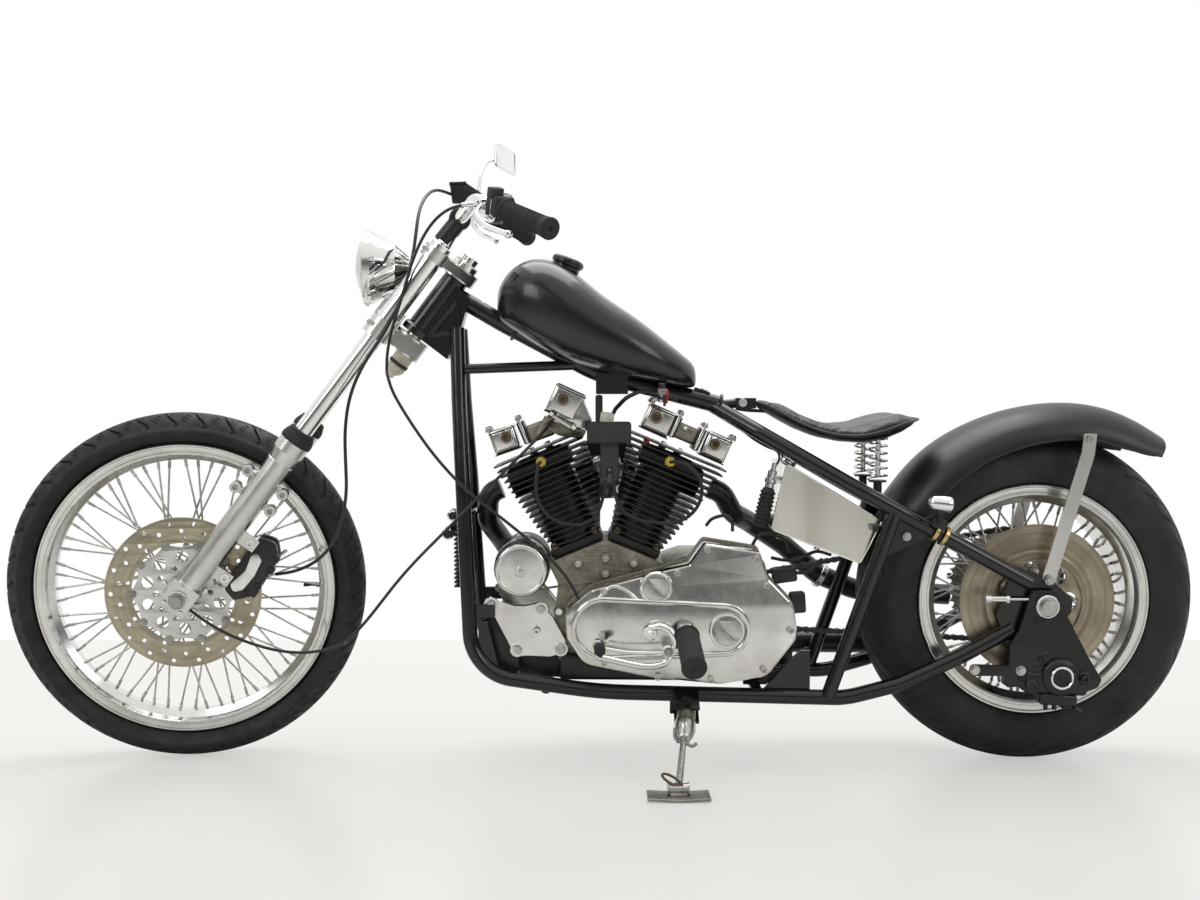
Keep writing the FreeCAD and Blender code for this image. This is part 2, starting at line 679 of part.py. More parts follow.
node("headlight_lens", turned([(7, 0), (7, glass), (2, glass), (-7, glass * 0.6), (-10, 0)], HEAD, X), "front")

caliper = slab([(48, 60), (62, 42), (92, 44), (112, 70), (118, 118), (112, 168), (86, 190), (52, 178), (48, 150)],
               -88, -34)
disc_room = cylinder(d.front_disc_radius + 6, 15, (0, -d.front_disc_place - 7.5, 0), Y)
lug_room = box((24.6, 31.4, 140), (46, -96.5, 119))
node("front_caliper", cut(caliper, disc_room, lug_room), "legs")


# Frame

AXIS_TOP = d.upper_yoke_place - d.neck_clearance
AXIS_LOW = yoke_low_top + d.neck_clearance
neck_low = leg_point(d.steering_offset, AXIS_LOW)
neck_high = leg_point(d.steering_offset, AXIS_TOP)
neck = rod("neck_radius", neck_low, neck_high)
gusset = slab([(d.steering_offset, AXIS_LOW), (139, AXIS_LOW), (128, 712), (104, 776), (d.steering_offset, AXIS_TOP - 4)],
              -23, 23)
gusset.Placement = App.Placement(Vector(0, 0, d.front_tyre_radius), App.Rotation(Y, d.rake_angle))
BACK = [(530, 0, 898), (614.3, 0, 848.5), (800, 0, 750), (1000, 0, 699)]
backbone = pipe("backbone_radius", BACK, 300)
spread = d.rail_spread


def down_tube(side):
    """One tube from the steering head, down in front of the engine and back under it."""
    points = [(528.6, 28, 838), (533.5, 52, 701, 300), (543, 84, 540, 300), (561, spread, 190, 92),
              (800, spread, 155, 900), (d.frame_split_x, spread, 144)]
    return pipe("frame_tube_radius", [(p[0], side * p[1], p[2]) + tuple(p[3:]) for p in points], 92)


front_corner = [(573, 286), (573, 196), (640, 172), (625, 172), (612, 196), (590, 286)]
rear_corner = [(1100, 150), (1196, 148), (1196, 232), (1178, 232)]
frame_pieces = [neck, gusset, backbone, down_tube(-1), down_tube(1)]
for across in ((700, 0, 162), (1100, 0, 148), (1185, 0, 145)):
    frame_pieces.append(cylinder(11, 2 * spread, (across[0], -spread, across[2]), Y))
frame_pieces.append(box((46, 110, 30), (1100, 0, 168.8)))
frame_pieces.append(cylinder(7, 178, (550, -89, 480), Y))
PLATE_LEFT, PLATE_RIGHT = -98, d.case_right + d.seat_gap
for side, face in ((-1, PLATE_LEFT - 0.3), (1, PLATE_RIGHT + 8.3)):
    frame_pieces.append(rod(9.5, (534, side * 40, 760), (757, side * 6, 768)))
    flat = side * (spread - 3)
    frame_pieces.append(slab(front_corner, min(flat, flat + 5), min(flat, flat + 5) + 5))
    frame_pieces.append(slab(rear_corner, min(flat, flat + 5), min(flat, flat + 5) + 5))
    frame_pieces.append(box((52, 9, 24), (578, face + side * 4.5, 306)))
frame_pieces.append(box((62, 44, 40), (825, 0, 732)))

# The side stand's clevis on the left rail: two ears square to the fold axis, a web and the pin
pivot = Vector(d.stand_pivot_x, d.stand_pivot_y, d.stand_pivot_z)
fold = math.radians(d.stand_axis_tilt)
stand_axis = Vector(0, -math.sin(fold), math.cos(fold))
inward = Vector(0, math.cos(fold), math.sin(fold))
ear_turn = App.Rotation(X, d.stand_axis_tilt)
ear_place = d.stand_barrel_half + 0.3 + 3.5
frame_pieces.append(box((46, 50, 7), pivot + stand_axis * ear_place + inward * 10, ear_turn))
frame_pieces.append(box((46, 34, 7), pivot - stand_axis * ear_place + inward * 2, ear_turn))
frame_pieces.append(box((50, 12, 44), (957, -122, 138)))
frame_pieces.append(rod("stand_pin_radius", pivot - stand_axis * 22, pivot + stand_axis * 22))
for end in (-1, 1):
    frame_pieces.append(rod(10, pivot + stand_axis * (end * 20), pivot + stand_axis * (end * 25)))
stem_room = cylinder("stem_radius + running_gap", 260, leg_point(d.steering_offset, AXIS_LOW - 30),
                     neck_high - neck_low)
above = rod(70, neck_high, neck_high + (neck_high - neck_low).normalize() * 60)
below = rod(60, neck_low - (neck_high - neck_low).normalize() * 60, neck_low)
node("frame_front", cut(join(*frame_pieces), stem_room, above, below))

split = d.frame_split_x + d.seat_gap
stay = d.stay_spread
tail_start = Vector(1000, 0, 699) + Vector(200, 0, -51).normalize() * d.seat_gap
tail = [rod("backbone_radius", tail_start, (1034, 0, 690.3))]
tail.append(rod(9, (1026, 0, 690), (1072, 0, 694)))
tail.append(box((40, 26, 20), (1083.7, 0, 694)))
for side in (-1, 1):
    tail.append(box((30, 20, 10), (1326, side * (d.oil_tank_half_width + 10.3), 462)))
    upper = [(1020, 0, 690), (1104, 58, 640, 60), (1286, stay, 534, 120),
             (REAR.x - 23, stay, 361)]
    lower = [(split, spread, 144), (1262, spread, 142.75, 160), (1362, stay, 170, 200),
             (REAR.x - 153, stay, 221, 300), (REAR.x - 54, stay, 275)]
    for line in (upper, lower):
        tail.append(pipe("frame_tube_radius", [(p[0], side * p[1], p[2]) + tuple(p[3:]) for p in line], 60))
    tail.append(rod("frame_tube_radius - 1", (1350, side * stay, stay_height(1350) - 7), (1228, side * stay, 146)))
    near = side * stay - d.plate_thickness / 2
    axle_plate = behind([(1572, 392), (1606, 384), (1644, 366, 8), (1683, 330, 10), (1680, 304, 10),
                         (1655, 284, 12), (1604, 250, 8), (1558, 254, 8), (1543, 300, 8)])
    tail.append(slab(axle_plate, near, near + d.plate_thickness))
    corner_plate = [(1352, 494), (1318, 404), (1340, 414, 8), (1398, 440, 12), (1420, 455)]
    tail.append(slab(corner_plate, side * stay - 3, side * stay + 3))
tail.append(cylinder(9, 2 * stay, (1327, -stay, 508), Y))
axle_hole = cylinder("rear_axle_radius + running_gap", 2 * stay + 60, REAR - Y * (stay + 30), Y)
node("frame_hardtail", cut(join(*tail), axle_hole))


# Engine

CRANK = Vector(d.crank_x, 0, d.crank_z)
case_outline = [(722, 205, 20), (714, 290, 30), (722, 352, 20), (703, 391), (806.5, 433.8), (817.5, 433.8),
                (921, 391), (960, 404, 14), (1112, 404, 20), (1130, 330, 20), (1130, 200, 20), (1080, 184, 20),
                (760, 184, 20)]
primary_outline = [(740, 262, 30), (737, 316, 36), (786, 354, 30), (930, 392, 8), (966, 400, 10), (994, 440, 10),
                   (1096, 424, 8), (1114, 374, 12), (1160, 326, 34), (1168, 262, 40), (1112, 190, 40),
                   (1024, 176, 60), (900, 188, 80), (770, 214, 40)]


def grown(points, centre, by):
    """An outline pushed away from a centre."""
    out = []
    for point in points:
        away = Vector(point[0] - centre[0], 0, point[1] - centre[1])
        far = away * (1 + by / away.Length)
        out.append((centre[0] + far.x, centre[1] + far.z) + tuple(point[2:]))
    return out


middle = (950, 290)
inner_case = slab(grown(primary_outline, middle, 3), -d.primary_inner, -d.case_left + 1)
gear_cover = slab([(738, 222, 26), (734, 322, 26), (788, 384, 20), (848, 388, 20), (926, 326, 20), (930, 236, 26),
                   (870, 206, 26)], d.case_right - 1, d.case_right + 40)
outdrive = cylinder(18, d.chain_place + 12, (d.front_sprocket_x, 0, d.front_sprocket_z), Y)
small_sprocket = cylinder(front_pitch_radius + 2, 9.4,
                          (d.front_sprocket_x, d.chain_place - 4.7, d.front_sprocket_z), Y)
chain_room = box((190, 60, 130), (1112, 108, 288))
case_block = cut(slab(case_outline, -d.case_left, d.case_right), chain_room)
generator_room = cylinder("generator_radius + seat_gap", 300, (d.generator_x, -150, d.generator_z), Y)
node("engine_cases", cut(join(case_block, inner_case, gear_cover, outdrive, small_sprocket), generator_room))
inner = -d.primary_inner - d.seat_gap
cover = slab(primary_outline, -d.primary_outer, inner)
oval = slab([(762, 230, 36), (762, 312, 38), (1062, 326, 40), (1072, 236, 42), (900, 216, 40)],
            -d.primary_outer - 8, -d.primary_outer + 1)
plug_large = cylinder(23.5, 4, (1036, -d.primary_outer - 11, 278), Y)
plug_small = cylinder(23.5, 10, (905, -d.primary_outer - 5, 358), Y)
node("primary_cover", join(cover, oval, plug_large, plug_small))

PORT_REACH = 98
fins = int(d.head_height / d.fin_pitch)


def cylinder_pair(make):
    """The front piece and the rear one, tilted apart about the crank."""
    return gather(*[tilted(make(side), side) for side in (-1, 1)])


def tilted(thing, side):
    """Leans a piece, drawn upright over the crank, forward or back."""
    thing.Placement = App.Placement(CRANK, App.Rotation(Y, side * d.cylinder_tilt))
    return thing


def finned(side):
    """A cylinder and head with fins that grow towards the top, and its spark plug."""
    base = d.deck_height + d.seat_gap
    pieces = [cylinder(48, d.head_height, (0, 0, base))]
    pieces.append(cylinder(50, 14, (side * 8, 0, base)))
    for index in range(fins):
        rise = 16 + index * d.fin_pitch
        half = d.fin_half_length + rise * d.fin_growth - max(6 - 3 * index, 0)
        offset = side * (4 + rise * 0.09)
        wide = d.fin_half_width - (6 if index < 2 else 0)
        low = base + rise - 6
        fin = slab([(offset - half, -wide, 40), (offset + half, -wide, 40), (offset + half, wide, 40),
                    (offset - half, wide, 40)], low, low + d.fin_thickness, "XY")
        pieces.append(fin)
    port = base + d.head_height - 38
    pieces.append(rod(26, (side * 40, 30, port), (side * PORT_REACH, 30, port)))
    pieces.append(rod(8, (0, -40, port + 22), (0, -86, port + 22)))
    return join(*pieces)


node("cylinders", cylinder_pair(finned))
rocker_base = d.deck_height + d.head_height + 2 * d.seat_gap


def rocker(side):
    """Two bright rocker blocks and the grey bridge between them."""
    outer = box((58, 66, 62), (side * 60, 0, rocker_base + 35), App.Rotation(Y, 0))
    inside = box((62, 66, 72), (-side * 52, 0, rocker_base + 46), App.Rotation(Y, -side * 8))
    bridge = box((80, 74, 40), (0, 0, rocker_base + 22))
    foot = box((150, 80, 8), (side * 4, 0, rocker_base + 4))
    floor = slab([(-150, -90), (150, -90), (150, 90), (-150, 90)], rocker_base - 60, rocker_base, "XY")
    return cut(join(outer, inside, bridge, foot), floor)


node("rocker_boxes", cylinder_pair(rocker))

generator_place = Vector(d.generator_x, 0, d.generator_z)
body = cylinder("generator_radius", 168, generator_place - Y * 94, Y)
neck_ring = cylinder("generator_radius - 3", 8, generator_place - Y * 101, Y)
cap = soften(cylinder("generator_cap_radius", 20, generator_place - Y * 114, Y), 6, [3])
node("generator", join(body, neck_ring, cap))

plate_outline = [(588, 320, 10), (616, 322, 14), (640, 314, 20), (662, 314, 20), (690, 320, 12), (712, 292, 20),
                 (735, 250, 16), (738, 228, 10), (708, 218, 14), (664, 220, 14), (640, 218, 12), (628, 246, 10),
                 (600, 300, 10)]
generator_gap = cylinder("generator_radius + seat_gap", 400, generator_place - Y * 200, Y)
left_plate = slab(plate_outline, PLATE_LEFT, -82)
right_plate = slab(plate_outline, PLATE_RIGHT, PLATE_RIGHT + 8)
bolts = [rod(8, (x, -105, z), (x, -90, z)) for x, z in ((690, 306), (642, 230))]
bolts += [rod(6, (x, -104, z), (x, -d.case_left - d.seat_gap, z)) for x, z in ((727, 236), (724, 304))]
inner_gap = slab(grown(primary_outline, middle, 5), -d.primary_inner - 70, -d.case_left + 2)
gear_gap = slab([(x - 3, z) for x, z in ((738, 200), (734, 322), (788, 390), (848, 388), (840, 200))],
                d.case_right - 2, d.case_right + 40)
node("engine_plates", gather(join(cut(left_plate, generator_gap, inner_gap), *bolts),
                             cut(right_plate, generator_gap, gear_gap)))

coil = box((82, 46, 44), (819, -58, 637))
coil_leg = box((34, 30, 70), (820, -52, 585))
coil_mount = rod(7, (800, -40, 655), (800, -12, 708.4))
node("ignition_coil", join(coil, coil_leg, coil_mount))

carb_body = box((58, 60, 64), (815, 108, 552))
manifold = rod(16, (812, 2, 573.5), (815, 82, 560))
float_bowl = rod(24, (815, 108, 502), (815, 108, 530))
filter_can = rod(66, (815, 136, 562), (815, 176, 562))
filter_face = rod(56, (815, 175, 562), (815, 184, 562))
intake = [rod(16, CRANK + App.Rotation(Y, side * d.cylinder_tilt).multVec(Vector(-side * 51.95, 10, 262)),
              (812, 10, 573.5)) for side in (-1, 1)]
node("carburettor", join(carb_body, manifold, float_bowl, filter_can, filter_face, *intake))


def exhaust(points):
    """A bent pipe with a hollow tail."""
    outer = pipe("exhaust_radius", points, 70)
    end = Vector(points[-1][:3])
    way = (end - Vector(points[-2][:3])).normalize()
    return cut(outer, rod("exhaust_radius - exhaust_wall", end - way * 120, end + way * 5))


def port_point(side, out, extra=0.0):
    """A point in front of an exhaust port."""
    turn = App.Rotation(Y, side * d.cylinder_tilt)
    height = d.deck_height + d.seat_gap + d.head_height - 38
    return CRANK + turn.multVec(Vector(side * (PORT_REACH + out), 30 + extra, height))


front_pipe = [tuple(port_point(-1, d.seat_gap)), tuple(port_point(-1, 28)) + (34,), (578, 46, 462, 52),
              (604, 108, 412, 60), (650, 150, 330, 80), (724, 172, 232, 80), (840, 174, 200, 90),
              (1100, 172, 190, 300), (1496, 168, 188)]
rear_pipe = [tuple(port_point(1, d.seat_gap)), tuple(port_point(1, 28)) + (34,), (1066, 54, 474, 44),
             (1102, 108, 452, 50), (1180, 150, 398, 80), (1254, 166, 334, 80), (1335, 170, 300, 100),
             (1528, 170, 290)]
node("exhaust_pipes", gather(exhaust(front_pipe), exhaust(rear_pipe)))


# Tank, seat, oil tank and fender

TANK = [  # x, top, bottom, half width, height of the widest place as a share
    (606, 898, 864, 20), (613, 926, 848, 56), (640, 958, 830, 88), (684, 972, 803, 111), (740, 955, 776, 121),
    (800, 908, 757, 122), (868, 861, 742, 113), (926, 816, 731, 92), (968, 782, 724, 62), (986, 752, 730, 26),
]


def tank_section(x, top, bottom, half):
    """A closed outline across the tank: round shoulders and a flatter floor."""
    half = half * d.tank_half_width / 122
    waist = bottom + 0.42 * (top - bottom)
    points = []
    for step in range(12):
        angle = 2 * math.pi * step / 12
        reach = top - waist if math.cos(angle) > 0 else waist - bottom
        bulge = abs(math.sin(angle)) ** 0.8 * math.copysign(1, math.sin(angle))
        points.append((x, half * bulge, waist + reach * math.copysign(abs(math.cos(angle)) ** 0.8, math.cos(angle))))
    return points


tank = loft([tank_section(*row) for row in TANK])
spine_room = pipe("backbone_radius + 3", BACK, 300)
under_room = [slab([(540, 880), (614, 848), (800, 750), (1010, 697), (1010, 600), (540, 600)],
                   -d.backbone_radius - 3, d.backbone_radius + 3)]
mount_room = box((62.6, 44.6, 60), (825, 0, 730))
node("fuel_tank", cut(tank, spine_room, *under_room, mount_room))
cap_turn = App.Rotation(Y, 21)
cap_way = cap_turn.multVec(Z)
cap_place = Vector(737, 0, 957)
tank_cap = join(rod(27, cap_place, cap_place + cap_way * 17), rod(21, cap_place - cap_way * 12, cap_place))
node("tank_cap", tank_cap)
cap_room = rod(27.2, cap_place - cap_way * 14, cap_place + cap_way * 30)
fuel_tank = cut(NODES["fuel_tank"][0], cap_room)
NODES["fuel_tank"][0].Label = "tank_blank"
node("fuel_tank", fuel_tank)

tap = Vector(920, -52, 0)
node("petcock", join(rod(7, tap + Z * 698, tap + Z * 732), rod(9, tap + Z * 702, tap + Z * 722),
                     rod(3.5, tap + Z * 706, tap + Vector(4, -14, 706)),
                     box((5, 3, 22), tap + Vector(4, -14, 701))))
node("fuel_hose", pipe(4, [(910.1, -52, 713), (882, -55, 720, 30), (852, -48, 706, 30), (832, -18, 684, 30),
                           (818, 30, 654, 30), (815, 88, 628, 20), (815, 90, 585)], 20))

SEAT = [  # x, top, thickness, half width
    (1104, 700, 12, 14), (1122, 690, 22, 34), (1162, 669, 25, 50), (1208, 655, 26, 74), (1256, 648, 27, 100),
    (1306, 650, 28, 122), (1352, 661, 27, 125), (1388, 674, 20, 104), (1406, 682, 10, 62),
]


def seat_section(x, top, thickness, half, sink=0.0):
    """A shallow dish with rounded edges."""
    top = top - sink
    half = half * d.seat_half_width / 125
    thick = thickness * d.seat_thickness / 26
    rise = half * 0.06
    over = [(-1, rise), (-0.72, rise * 0.9), (-0.36, 0), (0, -rise * 0.3), (0.36, 0), (0.72, rise * 0.9), (1, rise)]
    under = [(0.8, -0.8), (0.4, -1), (0, -1.06), (-0.4, -1), (-0.8, -0.8)]
    points = [(x, half * share, top + lift - (thick * 0.45 if abs(share) == 1 else 0)) for share, lift in over]
    points += [(x, half * share, top + thick * depth) for share, depth in under]
    return points


node("seat", loft([seat_section(*row) for row in SEAT]))
springs = []
for side in (-1, 1):
    foot = Vector(1328, side * d.spring_place, 0)
    low, high = 519, 645
    sleeve = cut(cylinder("spring_radius", high - low, foot + Z * low),
                 cylinder("spring_radius - 4", 88, foot + Z * 522))
    springs.append(join(cylinder(15, 8, foot + Z * (low - 4)), sleeve))
perch_room = cylinder(9.2, 300, (1327, -150, 508), Y)
seat_room = loft([seat_section(*row, 0.3) for row in SEAT])
node("seat_springs", gather(*[cut(spring, perch_room, seat_room) for spring in springs]))

oil_outline = [(1152, 588, 6), (1336, 478, 4), (1295, 396, 8), (1124, 462, 10)]
oil = slab([(p[0] - 1, p[1] - 4) + tuple(p[2:]) for p in oil_outline], -d.oil_tank_half_width, d.oil_tank_half_width)
node("oil_tank", oil)
node("cable_boot", join(rod(17, (1105.6, -70, 460), (1122.3, -70, 535)),
                        rod(11, (1121.5, -70, 531), (1129, -70, 565))))

FENDER = [(1350, 506), (1376, 540), (1424, 594), (1500, 646), (1578, 677), (1655, 692), (1733, 692), (1811, 671),
          (1876, 633)]
FENDER = [(x + LONGER * min((x - 1350) / 150, 1), z) for x, z in FENDER]
fender_wires = []
for index, (x, z) in enumerate(FENDER):
    before = Vector(*[FENDER[max(index - 1, 0)][0], 0, FENDER[max(index - 1, 0)][1]])
    after = Vector(FENDER[min(index + 1, len(FENDER) - 1)][0], 0, FENDER[min(index + 1, len(FENDER) - 1)][1])
    way = (after - before).normalize()
    inward = Vector(way.z, 0, -way.x)
    ends = min(index + 1, len(FENDER) - index)
    half = d.fender_half_width * (0.97 if ends == 1 else 1)
    depth = d.fender_depth * (0.66 if index >= len(FENDER) - 1 else 1)
    outer, inner_side = [], []
    for step in range(9):
        angle = math.pi * step / 8
        across = math.cos(angle)
        sink = 1 - math.sin(angle) ** 0.9
        outer.append(Vector(x, half * across, z) + inward * (depth * sink))
        inner_half = half - d.fender_thickness
        sunk = d.fender_thickness + (depth - d.fender_thickness) * sink
        inner_side.append(Vector(x, inner_half * across, z) + inward * sunk)
    top_curve = Part.BSplineCurve()
    top_curve.interpolate(outer)
    low_curve = Part.BSplineCurve()
    low_curve.interpolate(list(reversed(inner_side)))
    outline = doc.addObject("Part::Feature", "Section")
    outline.Shape = Part.Wire([top_curve.toShape(), Part.LineSegment(outer[-1], inner_side[-1]).toShape(),
                               low_curve.toShape(), Part.LineSegment(inner_side[0], outer[0]).toShape()])
    fender_wires.append(outline)
fender_shell = doc.addObject("Part::Loft", "Fender")
fender_shell.Sections = fender_wires
fender_shell.Solid = True
fender_shell.Ruled = False
node("rear_fender", fender_shell)

strut_place = d.fender_half_width + d.seat_gap
straps = []
for side in (-1, 1):
    flat = side * (stay + d.plate_thickness / 2 + d.seat_gap)
    start = min(flat, flat + side * 5)
    strap = slab(behind([(1696, 640), (1720, 640), (1716, 600), (1648, 366, 6), (1626, 358, 10), (1624, 372, 8),
                         (1692, 606)]), start, start + 5)
    boss = REAR.x + 80
    straps.append(join(strap, rod(8, (boss, side * strut_place, 631), (boss, flat + side * 2, 631))))
node("fender_struts", gather(*straps))


# Controls, brake, lamps

def foot_rest(side, root, tip):
    """A steel stub and a fat rubber."""
    root = Vector(root)
    tip = Vector(tip)
    way = (tip - root).normalize()
    return join(rod(9, root, root + way * 40), rod(22, root + way * 30, tip))


left_rest = foot_rest(-1, (959, -d.primary_outer - 11.4, 282), (966, -292, 238))
shift_shaft = rod(11, (893, -d.primary_outer - 8.3, 277), (893, -186, 277))
shift_arm = pipe(6, [(893, -180, 277), (915, -184, 268), (928, -186, 240), (925, -186, 214), (806, -186, 232),
                     (796, -188, 250)], 9)
shift_peg = rod(10, (803, -182, 262), (803, -222, 258))
shift_up = rod(6, (797, -187, 248), (803, -187, 262))
right_rest = foot_rest(1, (960, d.case_right + 1.5, 262), (966, 292, 238))
pedal = pipe(6.5, [(960, 150, 262), (925, 158, 232), (850, 176, 232), (806, 190, 262)], 14)
pad = rod(10, (806, 184, 262), (806, 226, 258))
node("foot_controls", gather(left_rest, join(shift_shaft, shift_arm, shift_peg, shift_up),
                             join(right_rest, pedal, pad)))

hanger_outline = [(1600, 350, 10), (1650, 350, 14), (1664, 300, 14), (1733, 192, 6), (1727, 156, 10), (1658, 104, 14),
                  (1560, 126, 14), (1545, 200, 10), (1570, 262, 14), (1592, 320, 10)]
hanger = slab(behind(hanger_outline), hanger_start, hanger_start + HANGER)
hanger_spacer = cylinder(22, -plate_left - hanger_start - d.seat_gap, REAR + Y * hanger_start, Y)
caliper_outline = [(1590, 132, 10), (1602, 226, 16), (1660, 240, 16), (1714, 200, 12), (1712, 150, 12),
                   (1650, 112, 12)]
caliper_box = slab(behind(caliper_outline), -154, -78)
rear_room = cylinder(d.rear_disc_radius + 6, 15, REAR - Y * (d.rear_disc_place + 7.5), Y)
piston = rod(21, (REAR.x + 29, -157, 189), (REAR.x + 29, -140, 189))
link = slab(behind([(1488, 192, 7), (1488, 208, 7), (1600, 206, 7), (1600, 190, 7)]), hanger_start + 1,
            hanger_start + 7)
hanger_hole = cylinder("rear_axle_radius + running_gap", 60, REAR - Y * (stay + 50), Y)
node("rear_caliper", cut(join(hanger, hanger_spacer, caliper_box, piston, link), rear_room, hanger_hole))

lamps = []
for side in (-1, 1):
    y = side * (stay + 34)
    bullet = rod(15, (1404, y, 516), (1440, y, 512))
    tail_cone = rod(10, (1440, y, 512), (1448, y, 511))
    post = rod(5, (1438, side * (stay + 16), stay_height(1438) + 7), (1424, y, 512))
    band = rod(20, (1430, side * stay, stay_height(1430)), (1446, side * stay, stay_height(1446)))
    band_room = rod("frame_tube_radius + seat_gap", (1380, side * stay, stay_height(1380)),
                    (1470, side * stay, stay_height(1470)))
    lamps.append(cut(join(bullet, tail_cone, post, band), band_room))
node("rear_lamps", gather(*lamps))

regulator = [box((10, 96, 116), (529, 0, 396))]
for index in range(9):
    regulator.append(box((12, 3, 112), (519, -44 + 11 * index, 396)))
regulator.append(box((12, 30, 8), (536, 0, 448)))
regulator.append(box((5, 30, 46), (540.2, 0, 465)))
node("regulator", join(*regulator))


# Cables, each a tube on straight runs joined by tangent arcs

def cord(radius, points):
    """A cord's tube, with its arcs as large as the runs allow; prints its radii and its volume."""
    places = [Vector(point) for point in points]
    route = [(places[0], 0)]
    radii = []
    for index in range(1, len(places) - 1):
        before = places[index] - places[index - 1]
        after = places[index + 1] - places[index]
        turn = before.getAngle(after)
        bend = 0.45 * min(before.Length, after.Length) / math.tan(turn / 2)
        radii.append(bend)
        route.append((places[index], bend))
    route.append((places[-1], 0))
    thing = pipe(radius, [tuple(point) + (bend,) for point, bend in route])
    path = rounded_wire([(tuple(point), bend) for point, bend in route], closed=False)
    print("cord length", round(path.Length), "smallest radius", round(min(radii), 1))
    return thing


node("spark_lead_front", cord("lead_radius", [
    (689.5, -86.8, 585), (688.1, -100.7, 585), (686.6, -114.9, 580.3), (684.9, -128.2, 569.8),
    (683.3, -138.2, 552.5), (683.7, -140.4, 530.7), (690.9, -140.4, 507.9), (707, -139.1, 487.6),
    (730.5, -135.9, 474.9), (757.5, -130, 471.4), (776, -114, 472), (793, -97, 482), (802, -83, 499),
    (808, -71, 519), (810.5, -64, 535), (811.5, -61.5, 548.9)]))
node("spark_lead_rear", cord("lead_radius", [
    (934.6, -86.8, 585.2), (936.7, -100.5, 586.6), (943, -114, 587.8), (954.6, -126.2, 586.1),
    (970.6, -135.6, 578.7), (983.6, -141.1, 563.2), (990.2, -142.9, 542.3), (987.9, -142.2, 519.4),
    (976.9, -140.3, 498.2), (957.1, -136.9, 481.6), (930.8, -131.9, 473.8), (903.6, -125.5, 475.2),
    (877, -117.4, 478), (854.3, -106.1, 487.2), (837.7, -92.6, 501.8), (831, -80, 519),
    (828.5, -68, 534), (828, -63, 548.5)]))
node("front_brake_hose", cord("hose_radius", [
    (173.6, -62.3, 373), (194, -68, 376), (222, -80, 385), (254, -96, 403), (284, -110, 434),
    (306, -118, 482), (317, -122, 540), (316, -124, 600), (316, -125, 660), (326, -126, 722),
    (352, -127, 780), (390, -127, 834), (418, -124, 886), (436, -118, 936), (447, -104, 984),
    (452, -80, 1026), (456, -46, 1060), (464, -4, 1084), (474, 42, 1100), (486, 90, 1108),
    (500, 136, 1108), (514.6, 174.5, 1104.2)]), "front")
node("clutch_cable_front", cord("cable_radius", [
    (548.4, -186.9, 1068), (530, -184, 1066), (508, -178, 1058), (486, -170, 1040), (466, -160, 1012),
    (448, -150, 974), (434, -143, 930), (420, -138, 886), (406, -135, 844), (397, -133, 804),
    (395, -131, 766)]), "front")
node("clutch_cable_rear", cord("cable_radius", [
    (412, -140, 748), (420, -142, 722), (434, -145, 696), (460, -149, 655), (494, -152, 607),
    (532, -154, 563), (574, -156, 524), (618, -156, 490), (660, -155, 456), (696, -151, 424),
    (724, -146, 396), (743, -141, 370), (754.5, -137.5, 349), (760.8, -135, 335.9)]))
node("speed_cable_front", cord("cable_radius", [
    (18.2, -98, 316.1), (40, -104, 300), (66, -110, 284), (98, -115, 267), (135, -120, 253),
    (178, -126, 241), (222, -132, 236.5), (262, -139, 241), (297, -145, 252), (312, -147.5, 260)]), "front")
node("speed_cable_rear", cord("cable_radius", [
    (330.5, -166, 258), (352, -165, 276), (376, -163, 303), (402, -162, 336), (430, -160, 372),
    (464, -156, 410), (500, -152, 446), (538, -148, 484), (576, -143, 522), (612, -134, 558),
    (645, -119, 591), (672, -99, 618), (691, -78, 638), (703, -58, 652), (709.5, -43, 660),
    (712, -34.6, 663)]))


# Placement of the whole bike

STEER_AXIS = leg_point(0, 1) - leg_point(0, 0)
STEER_POINT = leg_point(d.steering_offset, 0)
LEGS = App.Placement(leg_point(0, 0), App.Rotation(Y, d.rake_angle))
steer_turn = App.Rotation(STEER_AXIS, d.steer_angle)
STEER = App.Placement(STEER_POINT - steer_turn.multVec(STEER_POINT), steer_turn)


def lowest(centre, axle_way, radius, drop, half_width):
    """The lowest point of a leaning tyre, from the arc of its crown."""
    edge = 0.86 * half_width
    crown = (edge ** 2 + drop ** 2) / (2 * drop)
    return centre.z - (radius - crown) * math.sqrt(1 - axle_way.z ** 2) - crown


def bike_placement():
    """Leans the bike, then levels it along its length so that both tyres touch the ground."""
    lean = App.Rotation(X, d.lean_angle)
    place = App.Placement(Vector(), lean)
    front = place * STEER
    low_front = lowest(front.multVec(FRONT), front.Rotation.multVec(Y), d.front_tyre_radius,
                       d.front_shoulder_drop, d.front_tyre_half_width)
    low_rear = lowest(place.multVec(REAR), place.Rotation.multVec(Y), d.rear_tyre_radius,
                      d.rear_shoulder_drop, d.rear_tyre_half_width)
    pitch = App.Rotation(Y, -math.degrees(math.asin((low_front - low_rear) / d.wheelbase)))
    level = App.Placement(Vector(), pitch) * place
    rear_after = lowest(level.multVec(REAR), level.Rotation.multVec(Y), d.rear_tyre_radius,
                        d.rear_shoulder_drop, d.rear_tyre_half_width)
    return App.Placement(Vector(0, 0, -rear_after), App.Rotation()) * level


